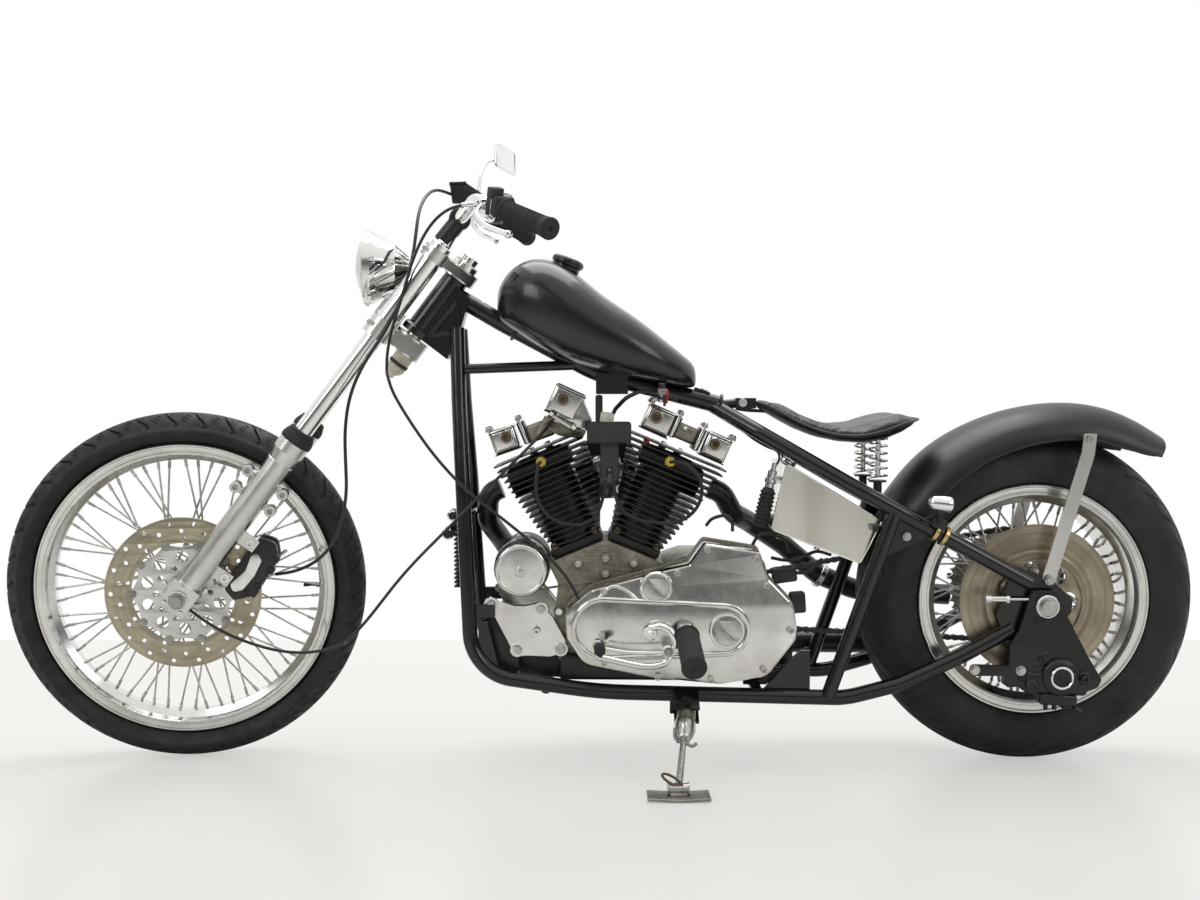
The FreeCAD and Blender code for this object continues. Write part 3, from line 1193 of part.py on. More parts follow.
BIKE = bike_placement()
grounded = BIKE.multVec(Vector(d.stand_foot_x, d.stand_foot_y, 0))
foot_centre = Vector(grounded.x, grounded.y, d.stand_foot_thickness / 2)
ankle = BIKE.inverse().multVec(foot_centre + Z * (d.stand_foot_thickness / 2 + 6))
leg_way = (ankle - pivot).normalize()
barrel = rod("stand_barrel_radius", pivot - stand_axis * d.stand_barrel_half, pivot + stand_axis * d.stand_barrel_half)
stand_leg = join(barrel, rod("stand_leg_radius", pivot, ankle), rod(11, pivot + leg_way * 8, pivot + leg_way * 34))
pin_room = rod("stand_pin_radius + running_gap", pivot - stand_axis * 30, pivot + stand_axis * 30)
leg_world = cut(stand_leg, pin_room)
leg_world.Placement = BIKE

# The foot: a flat shoe on the ground, drawn where it stands
shoe = soften(box((d.stand_foot_length, d.stand_foot_width, d.stand_foot_thickness), foot_centre), 1.5)
ankle_bar = rod(9, foot_centre + Vector(-20, 0, 8), foot_centre + Vector(20, 0, 8))
node("side_stand", join(leg_world, shoe, ankle_bar), "world")

FRAMES = {"bike": BIKE, "front": BIKE * STEER, "fork": BIKE * STEER, "legs": BIKE * STEER * LEGS,
          "world": App.Placement()}


def place_all(shift):
    """Puts every node where its frame is, moved by a shift."""
    move = App.Placement(shift, App.Rotation())
    for name, (thing, frame) in NODES.items():
        base = BASE[name]
        thing.Placement = move * FRAMES[frame] * base


BASE = {name: thing.Placement for name, (thing, frame) in NODES.items()}
doc.recompute()
place_all(Vector())
doc.recompute()
CORDS = [name for name in NODES if name.startswith(("spark_lead", "clutch_cable", "speed_cable"))
         or name.endswith("hose")]
whole = App.BoundBox()
for name, (thing, frame) in NODES.items():
    if name not in CORDS:
        whole.add(thing.Shape.optimalBoundingBox(False, False))
ORIGIN_SHIFT = Vector(-whole.Center.x, -whole.Center.y, -whole.ZMin)
place_all(ORIGIN_SHIFT)
doc.recompute()

for thing in doc.Objects:
    if "Invalid" in thing.State or "Error" in thing.State:
        raise RuntimeError(f"{thing.Label} failed: {thing.State}")
os.makedirs("parts", exist_ok=True)
for name, (thing, frame) in NODES.items():
    shape = thing.Shape
    if shape.isNull() or not shape.isValid():
        raise RuntimeError(f"{name} is not a valid shape")
    shape.exportStep(f"parts/{name}.step")
print(len(NODES), "nodes", [round(v) for v in (whole.XLength, whole.YLength, whole.ZLength)])
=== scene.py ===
"""A low chopper motorcycle on its side stand: finishes, details, cables, studio and camera.

Shapes are drawn in millimetres where the maker would draw them: the bike upright with its wheels in line,
the fork along its legs. A Space moves them to the row frame, in metres, once they are done.
"""
import logging
import math
from collections.abc import Callable, Sequence
from dataclasses import dataclass, field
from enum import Enum

import bmesh
import bpy
from mathutils import Matrix, Vector


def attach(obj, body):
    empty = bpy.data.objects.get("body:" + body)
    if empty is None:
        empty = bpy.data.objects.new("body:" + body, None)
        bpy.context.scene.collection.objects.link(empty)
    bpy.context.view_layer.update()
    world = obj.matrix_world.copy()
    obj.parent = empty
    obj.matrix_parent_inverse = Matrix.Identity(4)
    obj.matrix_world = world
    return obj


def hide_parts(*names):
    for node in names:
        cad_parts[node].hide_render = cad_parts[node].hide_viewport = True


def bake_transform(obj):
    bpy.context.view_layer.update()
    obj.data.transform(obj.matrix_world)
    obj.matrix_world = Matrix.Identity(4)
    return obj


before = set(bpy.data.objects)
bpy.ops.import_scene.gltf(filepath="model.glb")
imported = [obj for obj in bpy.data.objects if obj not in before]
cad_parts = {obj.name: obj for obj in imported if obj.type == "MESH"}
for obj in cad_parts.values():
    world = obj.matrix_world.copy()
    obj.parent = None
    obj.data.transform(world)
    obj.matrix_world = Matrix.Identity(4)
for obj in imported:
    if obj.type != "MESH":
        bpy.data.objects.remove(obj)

LOG = logging.getLogger("chopper")
Point = Sequence[float]

# Stance of the bike, in degrees and millimetres
LEAN = math.radians(4.0)
PITCH = math.radians(-0.0642)
RAKE = math.radians(37.2)
STEERED = math.radians(7.62)
STEM_OFFSET = 59.0
FRONT_RADIUS = 340.0
REAR_RADIUS = 322.0
WHEELBASE = 1626.0
ROW_SHIFT = Vector((-804.652, 64.171, -1.552))
FRONT_HUB = Vector((0.0, 0.0, FRONT_RADIUS))
REAR_HUB = Vector((WHEELBASE, 0.0, REAR_RADIUS))
X, Y, Z = Vector((1, 0, 0)), Vector((0, 1, 0)), Vector((0, 0, 1))
MILLIMETRE = 0.001
SAME_POINT = 0.002
# Painted shade: the near-black colour painted into the tyre tread's deep cuts.
CUT_SHADE_BLACK = (0.006, 0.006, 0.006)


def spin(degrees: float, axis: str = "Y") -> Matrix:
    """A turn about an axis."""
    return Matrix.Rotation(math.radians(degrees), 4, axis)


def turns(count: int, phase: float = 0.0) -> list[float]:
    """Angles in even steps round a circle, phase in steps."""
    return [2 * math.pi * (step + phase) / count for step in range(count)]


class Space(Enum):
    """Where a shape is drawn: the upright bike, the straight front end, its legs, or the row as it stands."""

    BIKE = "bike"
    FRONT = "front"
    LEG = "leg"
    ROW = "row"

    @property
    def matrix(self) -> Matrix:
        """The way from this space, in millimetres, to the row frame, in metres."""
        if self is Space.ROW:
            return Matrix.Scale(MILLIMETRE, 4)
        lean = Matrix.Rotation(PITCH, 4, "Y") @ Matrix.Rotation(LEAN, 4, "X")
        bike = Matrix.Scale(MILLIMETRE, 4) @ Matrix.Translation(ROW_SHIFT) @ lean
        if self is Space.BIKE:
            return bike
        legs = Matrix.Translation(FRONT_HUB) @ Matrix.Rotation(RAKE, 4, "Y")
        pivot = legs @ Vector((STEM_OFFSET, 0, 0))
        stem = Vector((math.sin(RAKE), 0, math.cos(RAKE)))
        steer = Matrix.Translation(pivot) @ Matrix.Rotation(STEERED, 4, stem) @ Matrix.Translation(-pivot)
        return bike @ steer @ (legs if self is Space.LEG else Matrix.Identity(4))

    def at(self, x: float, y: float, z: float) -> Vector:
        """A point of this space in the row frame, in metres."""
        return self.matrix @ Vector((x, y, z))


class Body(Enum):
    """The bodies that a piece can ride on."""

    CHASSIS = "chassis"
    FORK = "fork"
    FRONT_WHEEL = "front_wheel"
    REAR_WHEEL = "rear_wheel"
    STAND = "side_stand"


# Where a piece is drawn, with what it rides on

Mount = tuple[Space, Body]
CHASSIS = (Space.BIKE, Body.CHASSIS)
FORK = (Space.FRONT, Body.FORK)
LEGS = (Space.LEG, Body.FORK)
FRONT_TURNS = (Space.FRONT, Body.FRONT_WHEEL)
REAR_TURNS = (Space.BIKE, Body.REAR_WHEEL)
SIDE_STAND = (Space.ROW, Body.STAND)


# Node trees

class Graph:
    """A node tree, with short calls to add and join nodes."""

    def __init__(self, tree: bpy.types.NodeTree) -> None:
        """Works on a tree that is there."""
        self.tree = tree

    def add(self, kind: str, settings: dict | None = None, **inputs: object) -> bpy.types.Node:
        """Adds a node.

        Args:
            kind: The node's type name.
            settings: Properties of the node itself.
            inputs: Values or sockets for its inputs, named with _ for a space.

        Returns:
            The node.
        """
        made = self.tree.nodes.new(kind)
        for name, value in (settings or {}).items():
            setattr(made, name, value)
        for name, value in inputs.items():
            self.put(made.inputs[name.replace("_", " ")], value)
        return made

    def put(self, socket: bpy.types.NodeSocket, value: object) -> None:
        """Joins a socket to another one, or sets its value."""
        if isinstance(value, bpy.types.NodeSocket):
            self.tree.links.new(value, socket)
        else:
            socket.default_value = value

    def ramp(self, value: bpy.types.NodeSocket,
             stops: Sequence[tuple[float, Point]]) -> bpy.types.NodeSocket:
        """Turns a value into a colour."""
        made = self.add("ShaderNodeValToRGB", Fac=value)
        elements = made.color_ramp.elements
        for index, (place, colour) in enumerate(stops):
            element = elements[index] if index < 2 else elements.new(place)
            element.position = place
            element.color = (*colour, 1.0)
        return made.outputs["Color"]

    def blend(self, share: object, first: object, second: object) -> bpy.types.NodeSocket:
        """Mixes two colours."""
        made = self.add("ShaderNodeMix", {"data_type": "RGBA"})
        self.put(made.inputs["Factor"], share)
        for place, colour in ((6, first), (7, second)):
            self.put(made.inputs[place],
                     colour if isinstance(colour, bpy.types.NodeSocket) else (*colour, 1.0))
        return made.outputs[2]

    def either(self, share: object, first: bpy.types.NodeSocket,
               second: bpy.types.NodeSocket) -> bpy.types.NodeSocket:
        """Mixes two shaders."""
        made = self.add("ShaderNodeMixShader", Fac=share)
        self.put(made.inputs[1], first)
        self.put(made.inputs[2], second)
        return made.outputs["Shader"]

    def maths(self, operation: str, first: object, second: object) -> bpy.types.NodeSocket:
        """Works out a value from two."""
        made = self.add("ShaderNodeMath", {"operation": operation})
        self.put(made.inputs[0], first)
        self.put(made.inputs[1], second)
        return made.outputs["Value"]


# Finishes

class Nodes(Graph):
    """A material's node tree, with the patterns that finishes are made of."""

    def __init__(self, name: str) -> None:
        """Starts a material with only its shader and output."""
        self.material = bpy.data.materials.new(name)
        self.material.use_nodes = True
        super().__init__(self.material.node_tree)
        self.shader = self.tree.nodes["Principled BSDF"]
        self.coordinates = self.add("ShaderNodeTexCoord").outputs["Object"]

    def noise(self, scale: float, detail: float = 4.0, stretch: Point = (1, 1, 1)) -> bpy.types.NodeSocket:
        """Noise on Object coordinates, scale in cells a metre."""
        place = self.add("ShaderNodeMapping", Vector=self.coordinates, Scale=stretch).outputs[0]
        made = self.add("ShaderNodeTexNoise", Vector=place, Scale=scale, Detail=detail, Roughness=0.6)
        return made.outputs["Fac"]

    def span(self, value: bpy.types.NodeSocket, low: float, high: float,
             start: float = 0.35, end: float = 0.65) -> bpy.types.NodeSocket:
        """Spreads a value over a range."""
        made = self.add("ShaderNodeMapRange", Value=value, From_Min=start, From_Max=end, To_Min=low,
                        To_Max=high)
        return made.outputs["Result"]

    def bump(self, height: bpy.types.NodeSocket, depth: float, strength: float = 1.0,
             under: bpy.types.NodeSocket | None = None) -> bpy.types.NodeSocket:
        """A bump of a depth in millimetres, over another one."""
        made = self.add("ShaderNodeBump", Height=height, Distance=depth / 1000, Strength=strength)
        if under is not None:
            self.put(made.inputs["Normal"], under)
        return made.outputs["Normal"]

    def rings(self, hub: Point, tilt: Point, scale: float) -> bpy.types.NodeSocket:
        """Noise that changes only with the distance from an axle through hub.

        Args:
            hub: A point on the axle, in metres.
            tilt: The Euler angles of the axle's space.
            scale: Rings a metre.

        Returns:
            The noise's value.
        """
        place = self.add("ShaderNodeMapping", {"vector_type": "TEXTURE"}, Vector=self.coordinates,
                         Location=hub, Rotation=tilt).outputs[0]
        flat = self.add("ShaderNodeVectorMath", {"operation": "MULTIPLY"})
        self.put(flat.inputs[0], place)
        self.put(flat.inputs[1], (1, 0, 1))
        reach = self.add("ShaderNodeVectorMath", {"operation": "LENGTH"})
        self.put(reach.inputs[0], flat.outputs[0])
        made = self.add("ShaderNodeTexNoise", {"noise_dimensions": "1D"}, W=reach.outputs["Value"],
                        Scale=scale, Detail=3.0)
        return made.outputs["Fac"]

    def set(self, **values: object) -> None:
        """Sets the shader's own inputs, named with _ for a space."""
        for name, value in values.items():
            self.put(self.shader.inputs[name.replace("_", " ")], value)


@dataclass(frozen=True)
class Finish:
    """A finish whose colour and gloss drift over the surface, with a fine grain."""

    name: str
    light: Point
    dark: Point
    metallic: float = 0.0
    smooth: float = 0.3
    rough: float = 0.4
    patch: float = 9.0
    grain: float = 700.0
    grain_depth: float = 0.03
    coat: float = 0.0
    soil: float = 0.0
    soil_colour: Point = (0.16, 0.12, 0.08)
    stretch: Point = (1, 1, 1)

    def make(self) -> bpy.types.Material:
        """Builds the material.

        Returns:
            The material, kept for every piece with this finish.
        """
        known = bpy.data.materials.get(self.name)
        if known:
            return known
        nodes = Nodes(self.name)
        colour = nodes.ramp(nodes.noise(self.patch, 6.0), [(0.36, self.dark), (0.62, self.light)])
        gloss = nodes.span(nodes.noise(self.patch * 2.7, 5.0, self.stretch), self.smooth, self.rough)
        if self.soil:
            stain = nodes.span(nodes.noise(self.patch * 5.0, 8.0), 0.0, self.soil, 0.5, 0.72)
            colour = nodes.blend(stain, colour, self.soil_colour)
        nodes.set(Base_Color=colour, Roughness=gloss, Metallic=self.metallic, Coat_Weight=self.coat,
                  Coat_Roughness=0.04)
        self.texture(nodes)
        return nodes.material

    def texture(self, nodes: Nodes) -> None:
        """Adds the fine grain."""
        grain = nodes.noise(self.grain, 3.0, self.stretch)
        nodes.set(Normal=nodes.bump(grain, self.grain_depth, 0.6))


@dataclass(frozen=True)
class Leather(Finish):
    """Grained leather with soft creases."""

    def texture(self, nodes: Nodes) -> None:
        """Pebbled grain under wide creases."""
        cells = nodes.add("ShaderNodeTexVoronoi", {"feature": "DISTANCE_TO_EDGE"}, Vector=nodes.coordinates,
                          Scale=430.0)
        pebble = nodes.span(cells.outputs["Distance"], 0.0, 1.0, 0.0, 0.22)
        creases = nodes.bump(nodes.noise(28.0, 5.0), 0.8, 0.35)
        nodes.set(Normal=nodes.bump(pebble, 0.16, 0.7, creases), Sheen_Weight=0.12, Sheen_Roughness=0.4)


@dataclass(frozen=True)
class Tyre(Finish):
    """Tyre rubber: fine moulding lines round the walls, patches of dust, painted shade in the tread's cuts
    and a scuffed crown.
    """

    hub: Point = (0.0, 0.0, 0.0)
    tilt: Point = (0.0, 0.0, 0.0)

    def texture(self, nodes: Nodes) -> None:
        """Fine scuffs over mould lines that run round the wheel, and painted shade, near black, in the
        tread's cuts.
        """
        lines = nodes.rings(self.hub, self.tilt, 260.0)
        moulded = nodes.bump(nodes.span(lines, 0.0, 1.0, 0.3, 0.7), 0.25, 0.4)
        scuffs = nodes.bump(nodes.noise(160.0, 8.0), 0.35, 0.45, moulded)
        # Painted shade: the tread's deep cuts are coloured near black, standing for the shade in them.
        cut = nodes.add("ShaderNodeAttribute", {"attribute_name": "cut"}).outputs["Fac"]
        tone = nodes.shader.inputs["Base Color"].links[0].from_socket
        nodes.set(Normal=nodes.bump(nodes.noise(1400.0, 2.0), 0.05, 0.6, scuffs), Specular_IOR_Level=0.38,
                  Base_Color=nodes.blend(cut, tone, CUT_SHADE_BLACK))


@dataclass(frozen=True)
class Turned(Finish):
    """Metal that was turned or ground about an axle, with fine rings and a burnished band."""

    hub: Point = (0.0, 0.0, 0.0)
    tilt: Point = (0.0, 0.0, 0.0)
    rings: float = 900.0
    heat: Point = (0.3, 0.22, 0.14)

    def texture(self, nodes: Nodes) -> None:
        """Rings of scratches about the axle, and heat colours."""
        lines = nodes.rings(self.hub, self.tilt, self.rings)
        wide = nodes.rings(self.hub, self.tilt, self.rings / 12)
        tone = nodes.shader.inputs["Base Color"].links[0].from_socket
        heat = nodes.span(wide, 0.0, 0.7, 0.42, 0.66)
        nodes.set(Base_Color=nodes.blend(heat, tone, self.heat),
                  Roughness=nodes.span(lines, self.smooth, self.rough), Normal=nodes.bump(lines, 0.04, 0.5))


@dataclass(frozen=True)
class PaintedStreaks(Finish):
    """Bright plate with painted reflections in soft streaks across its length, its colour darker towards the
    back.
    """

    lean: float = 13.0
    ends: tuple[float, float] = (0.32, 0.55)

    def texture(self, nodes: Nodes) -> None:
        """Painted reflection streaks that run parallel to the plate's ends."""
        turned = nodes.add("ShaderNodeMapping", Vector=nodes.coordinates,
                           Rotation=(0, math.radians(self.lean), 0), Scale=(1.0, 1.0, 0.05))
        wide = nodes.add("ShaderNodeTexNoise", Vector=turned.outputs["Vector"], Scale=16.0, Detail=2.0)
        fine = nodes.add("ShaderNodeTexNoise", Vector=turned.outputs["Vector"], Scale=42.0, Detail=4.0)
        split = nodes.add("ShaderNodeSeparateXYZ", Vector=turned.outputs["Vector"])
        # The colour turns greyer and darker towards the back of the plate.
        darker_back = nodes.span(split.outputs["X"], 0.0, 0.62, *self.ends)
        # Painted reflection: light and dark streaks laid into the plate's colour.
        tone = nodes.blend(nodes.span(wide.outputs["Fac"], 0.0, 0.5, 0.4, 0.64), self.light, self.dark)
        tone = nodes.blend(darker_back, tone, (0.56, 0.54, 0.45))
        # Painted reflection: thin dark streak lines in the colour.
        line = nodes.span(fine.outputs["Fac"], 0.0, 0.55, 0.62, 0.7)
        ripple = nodes.bump(wide.outputs["Fac"], 0.16, 1.0)
        nodes.set(Base_Color=nodes.blend(line, tone, (0.22, 0.2, 0.14)), Normal=ripple)


@dataclass(frozen=True)
class LampGlass(Finish):
    """Clear pressed glass with upright flutes."""

    flutes: float = 38.0

    def make(self) -> bpy.types.Material:
        """Builds the material."""
        known = bpy.data.materials.get(self.name)
        if known:
            return known
        nodes = Nodes(self.name)
        wave = nodes.add("ShaderNodeTexWave", {"bands_direction": "Y"}, Vector=nodes.coordinates,
                         Scale=self.flutes, Distortion=0.15, Detail=1.0).outputs["Fac"]
        tint = nodes.ramp(nodes.noise(12.0), [(0.3, self.dark), (0.7, self.light)])
        nodes.set(Base_Color=tint, Roughness=nodes.span(nodes.noise(30.0), self.smooth, self.rough),
                  Transmission_Weight=1.0, IOR=1.45, Normal=nodes.bump(wave, 0.5, 0.35))
        return nodes.material


def axle_tilt(space: Space) -> tuple[float, float, float]:
    """The Euler angles of a space, for patterns that run about its axle."""
    return tuple(space.matrix.to_euler())


GLOSS_BLACK = Finish("gloss_black_paint", (0.008, 0.008, 0.009), (0.004, 0.004, 0.005), smooth=0.07,
                     rough=0.15, patch=5.0, grain=260.0, grain_depth=0.015, coat=1.0)
SATIN_BLACK = Finish("satin_black_paint", (0.014, 0.014, 0.014), (0.008, 0.008, 0.008), smooth=0.3,
                     rough=0.42, patch=6.0, grain=900.0, grain_depth=0.02)
CHROME = Finish("chrome_plate", (0.88, 0.88, 0.87), (0.8, 0.8, 0.79), metallic=1.0, smooth=0.03, rough=0.1,
                patch=12.0, grain=120.0, grain_depth=0.02)
POLISHED = Finish("polished_alloy", (0.8, 0.8, 0.78), (0.66, 0.65, 0.62), metallic=1.0, smooth=0.12,
                  rough=0.24, patch=14.0, grain=240.0, grain_depth=0.008, soil=0.12,
                  soil_colour=(0.3, 0.27, 0.22))
BRUSHED = Finish("satin_alloy", (0.72, 0.71, 0.69), (0.58, 0.57, 0.55), metallic=1.0, smooth=0.24, rough=0.36,
                 patch=8.0, grain=500.0, grain_depth=0.03, stretch=(1, 1, 0.2))
CAST = Finish("cast_alloy", (0.46, 0.45, 0.42), (0.34, 0.33, 0.3), metallic=1.0, smooth=0.34, rough=0.5,
              patch=16.0, grain=620.0, grain_depth=0.12, soil=0.35, soil_colour=(0.13, 0.11, 0.08))
RIM_ALLOY = Finish("rim_alloy", (0.82, 0.82, 0.81), (0.7, 0.7, 0.69), metallic=1.0, smooth=0.12, rough=0.24,
                   patch=10.0, grain=260.0, grain_depth=0.02, soil=0.1)
STEEL = Finish("plated_steel", (0.62, 0.61, 0.59), (0.46, 0.45, 0.43), metallic=1.0, smooth=0.2, rough=0.36,
               patch=30.0, grain=600.0, grain_depth=0.03, soil=0.15)
FIN_BLACK = Finish("black_cylinder_paint", (0.016, 0.016, 0.017), (0.009, 0.009, 0.009), smooth=0.34,
                   rough=0.5, patch=20.0, grain=900.0, grain_depth=0.06)
PLASTIC = Finish("black_plastic", (0.017, 0.017, 0.018), (0.01, 0.01, 0.01), smooth=0.34, rough=0.48,
                 patch=18.0, grain=1300.0, grain_depth=0.04)
RUBBER = Finish("black_rubber", (0.022, 0.022, 0.022), (0.012, 0.012, 0.012), smooth=0.5, rough=0.7,
                patch=22.0, grain=900.0, grain_depth=0.06)
CABLE = Finish("cable_sheath", (0.017, 0.017, 0.018), (0.01, 0.01, 0.011), smooth=0.3, rough=0.45,
               patch=40.0, grain=900.0, grain_depth=0.04)
TANK_BLACK = Finish("tank_paint", (0.009, 0.009, 0.009), (0.006, 0.006, 0.006), smooth=0.2, rough=0.28,
                    patch=4.0, grain=260.0, grain_depth=0.01, coat=0.25)
FRAME_BLACK = Finish("frame_paint", (0.008, 0.008, 0.009), (0.005, 0.005, 0.005), smooth=0.16, rough=0.26,
                     patch=6.0, grain=300.0, grain_depth=0.015, coat=0.2)
FENDER_BLACK = Finish("fender_paint", (0.011, 0.011, 0.011), (0.008, 0.008, 0.008), smooth=0.34, rough=0.42,
                      patch=4.0, grain=500.0, grain_depth=0.015)
TAP_HOSE = Finish("fuel_line", (0.02, 0.02, 0.02), (0.012, 0.012, 0.012), smooth=0.35, rough=0.5, patch=30.0)
TYRE = Tyre("tyre_rubber", (0.02, 0.02, 0.019), (0.011, 0.011, 0.011), smooth=0.52, rough=0.78, patch=11.0,
            soil=0.2, soil_colour=(0.05, 0.045, 0.038))
LEATHER = Leather("black_leather", (0.02, 0.02, 0.019), (0.011, 0.011, 0.011), smooth=0.28, rough=0.46,
                  patch=10.0)
PALE_PLASTIC = Finish("aged_white_plastic", (0.68, 0.66, 0.56), (0.5, 0.47, 0.37), smooth=0.35, rough=0.55,
                      patch=30.0, grain=700.0, grain_depth=0.06, soil=0.4, soil_colour=(0.25, 0.2, 0.13))
YELLOW = Finish("yellow_boot", (0.62, 0.46, 0.06), (0.4, 0.28, 0.04), smooth=0.4, rough=0.6, patch=60.0)
BRASS = Finish("brass", (0.68, 0.5, 0.24), (0.48, 0.34, 0.15), metallic=1.0, smooth=0.25, rough=0.4,
               patch=50.0)
RED = Finish("red_sleeve", (0.5, 0.03, 0.02), (0.3, 0.015, 0.012), smooth=0.35, rough=0.5, patch=60.0)
WORN_STEEL = Finish("weathered_steel", (0.4, 0.39, 0.36), (0.24, 0.23, 0.2), metallic=0.9, smooth=0.36,
                    rough=0.55, patch=34.0, grain=420.0, grain_depth=0.08, soil=0.45,
                    soil_colour=(0.12, 0.09, 0.06))
MIRROR = Finish("mirror_glass", (0.93, 0.93, 0.93), (0.88, 0.88, 0.88), metallic=1.0, smooth=0.02, rough=0.04,
                patch=8.0, grain=40.0, grain_depth=0.005)
FRONT_BRONZE = Turned("front_disc_bronze", (0.52, 0.475, 0.365), (0.4, 0.36, 0.265), metallic=1.0,
                      heat=(0.34, 0.3, 0.21), smooth=0.28, rough=0.5, patch=20.0,
                      hub=tuple(Space.FRONT.at(*FRONT_HUB)), tilt=axle_tilt(Space.FRONT))
REAR_BRONZE = Turned("rear_disc_bronze", (0.45, 0.4, 0.31), (0.32, 0.28, 0.21), metallic=1.0,
                     heat=(0.25, 0.2, 0.135), smooth=0.26,
                     rough=0.5, patch=20.0, hub=tuple(Space.BIKE.at(*REAR_HUB)), tilt=axle_tilt(Space.BIKE))
AGED_CAST = Finish("aged_cast_alloy", (0.37, 0.345, 0.29), (0.235, 0.215, 0.17), metallic=0.9, smooth=0.4,
                   rough=0.58, patch=24.0, grain=620.0, grain_depth=0.12, soil=0.6,
                   soil_colour=(0.07, 0.058, 0.04))
RUSTY = Finish("rusty_fasteners", (0.2, 0.14, 0.085), (0.09, 0.065, 0.045), metallic=0.6, smooth=0.4,
               rough=0.62, patch=60.0, grain=600.0, grain_depth=0.08, soil=0.5,
               soil_colour=(0.04, 0.03, 0.02))
# The oil tank's plate, with painted reflection streaks in its colour.
TANK_CHROME = PaintedStreaks("oil_tank_plate", (0.83, 0.815, 0.76), (0.5, 0.48, 0.41), metallic=1.0, smooth=0.1,
                       rough=0.2, patch=5.0, grain=60.0, grain_depth=0.01)
GLASS = LampGlass("lamp_glass", (0.97, 0.98, 0.98), (0.9, 0.92, 0.92), smooth=0.0, rough=0.03)


# Shapes

def fillet(points: Sequence[Point], closed: bool = True, steps: int = 5) -> list[tuple[float, float]]:
    """Rounds the corners of a flat outline.

    Args:
        points: Corners, each with its radius as a third number where it is round.
        closed: Whether the last corner joins the first.
        steps: Straight bits in each arc.

    Returns:
        The outline's points.
    """
    out: list[tuple[float, float]] = []
    count = len(points)
    for index, corner in enumerate(points):
        here = Vector(corner[:2])
        radius = corner[2] if len(corner) > 2 else 0.0
        if radius == 0.0 or (not closed and index in (0, count - 1)):
            out.append(tuple(here))
            continue
        before = Vector(points[index - 1][:2]) - here
        after = Vector(points[(index + 1) % count][:2]) - here
        half = before.angle(after) / 2
        back = min(radius / math.tan(half), 0.48 * before.length, 0.48 * after.length)
        start = here + before.normalized() * back
        end = here + after.normalized() * back
        for step in range(steps + 1):
            share = step / steps
            low = start.lerp(here, share)
            out.append(tuple(low.lerp(here.lerp(end, share), share)))
    return out


def circle(radius: float, centre: Point = (0, 0), count: int = 40) -> list[tuple[float, float]]:
    """A round outline."""
    return [(centre[0] + radius * math.cos(turn), centre[1] + radius * math.sin(turn))
            for turn in turns(count)]


def hole_ring(count: int, radius: float, reach: float, centre: Point, phase: float = 0.0) -> list[list]:
    """Round outlines in a circle."""
    return [circle(radius, (centre[0] + reach * math.cos(turn), centre[1] + reach * math.sin(turn)), 16)
            for turn in turns(count, phase)]


def smooth_path(points: Sequence[Point], steps: int = 6) -> list[Vector]:
    """A smooth run through points."""
    spots = [Vector(point) for point in points]
    spots = [spots[0] * 2 - spots[1], *spots, spots[-1] * 2 - spots[-2]]
    out = []
    for a, b, c, d in zip(spots, spots[1:], spots[2:], spots[3:]):
        for step in range(steps):
            t = step / steps
            out.append(0.5 * (2 * b + (c - a) * t + (2 * a - 5 * b + 4 * c - d) * t * t
                              + (3 * b - a - 3 * c + d) * t ** 3))
    return [*out, spots[-2]]


def turn_to(way: Point) -> Matrix:
    """A turn that takes Z to a direction."""
    return Vector(way).to_track_quat("Z", "Y").to_matrix().to_4x4()


SIDE_VIEW = Matrix(((1, 0, 0, 0), (0, 0, -1, 0), (0, 1, 0, 0), (0, 0, 0, 1)))


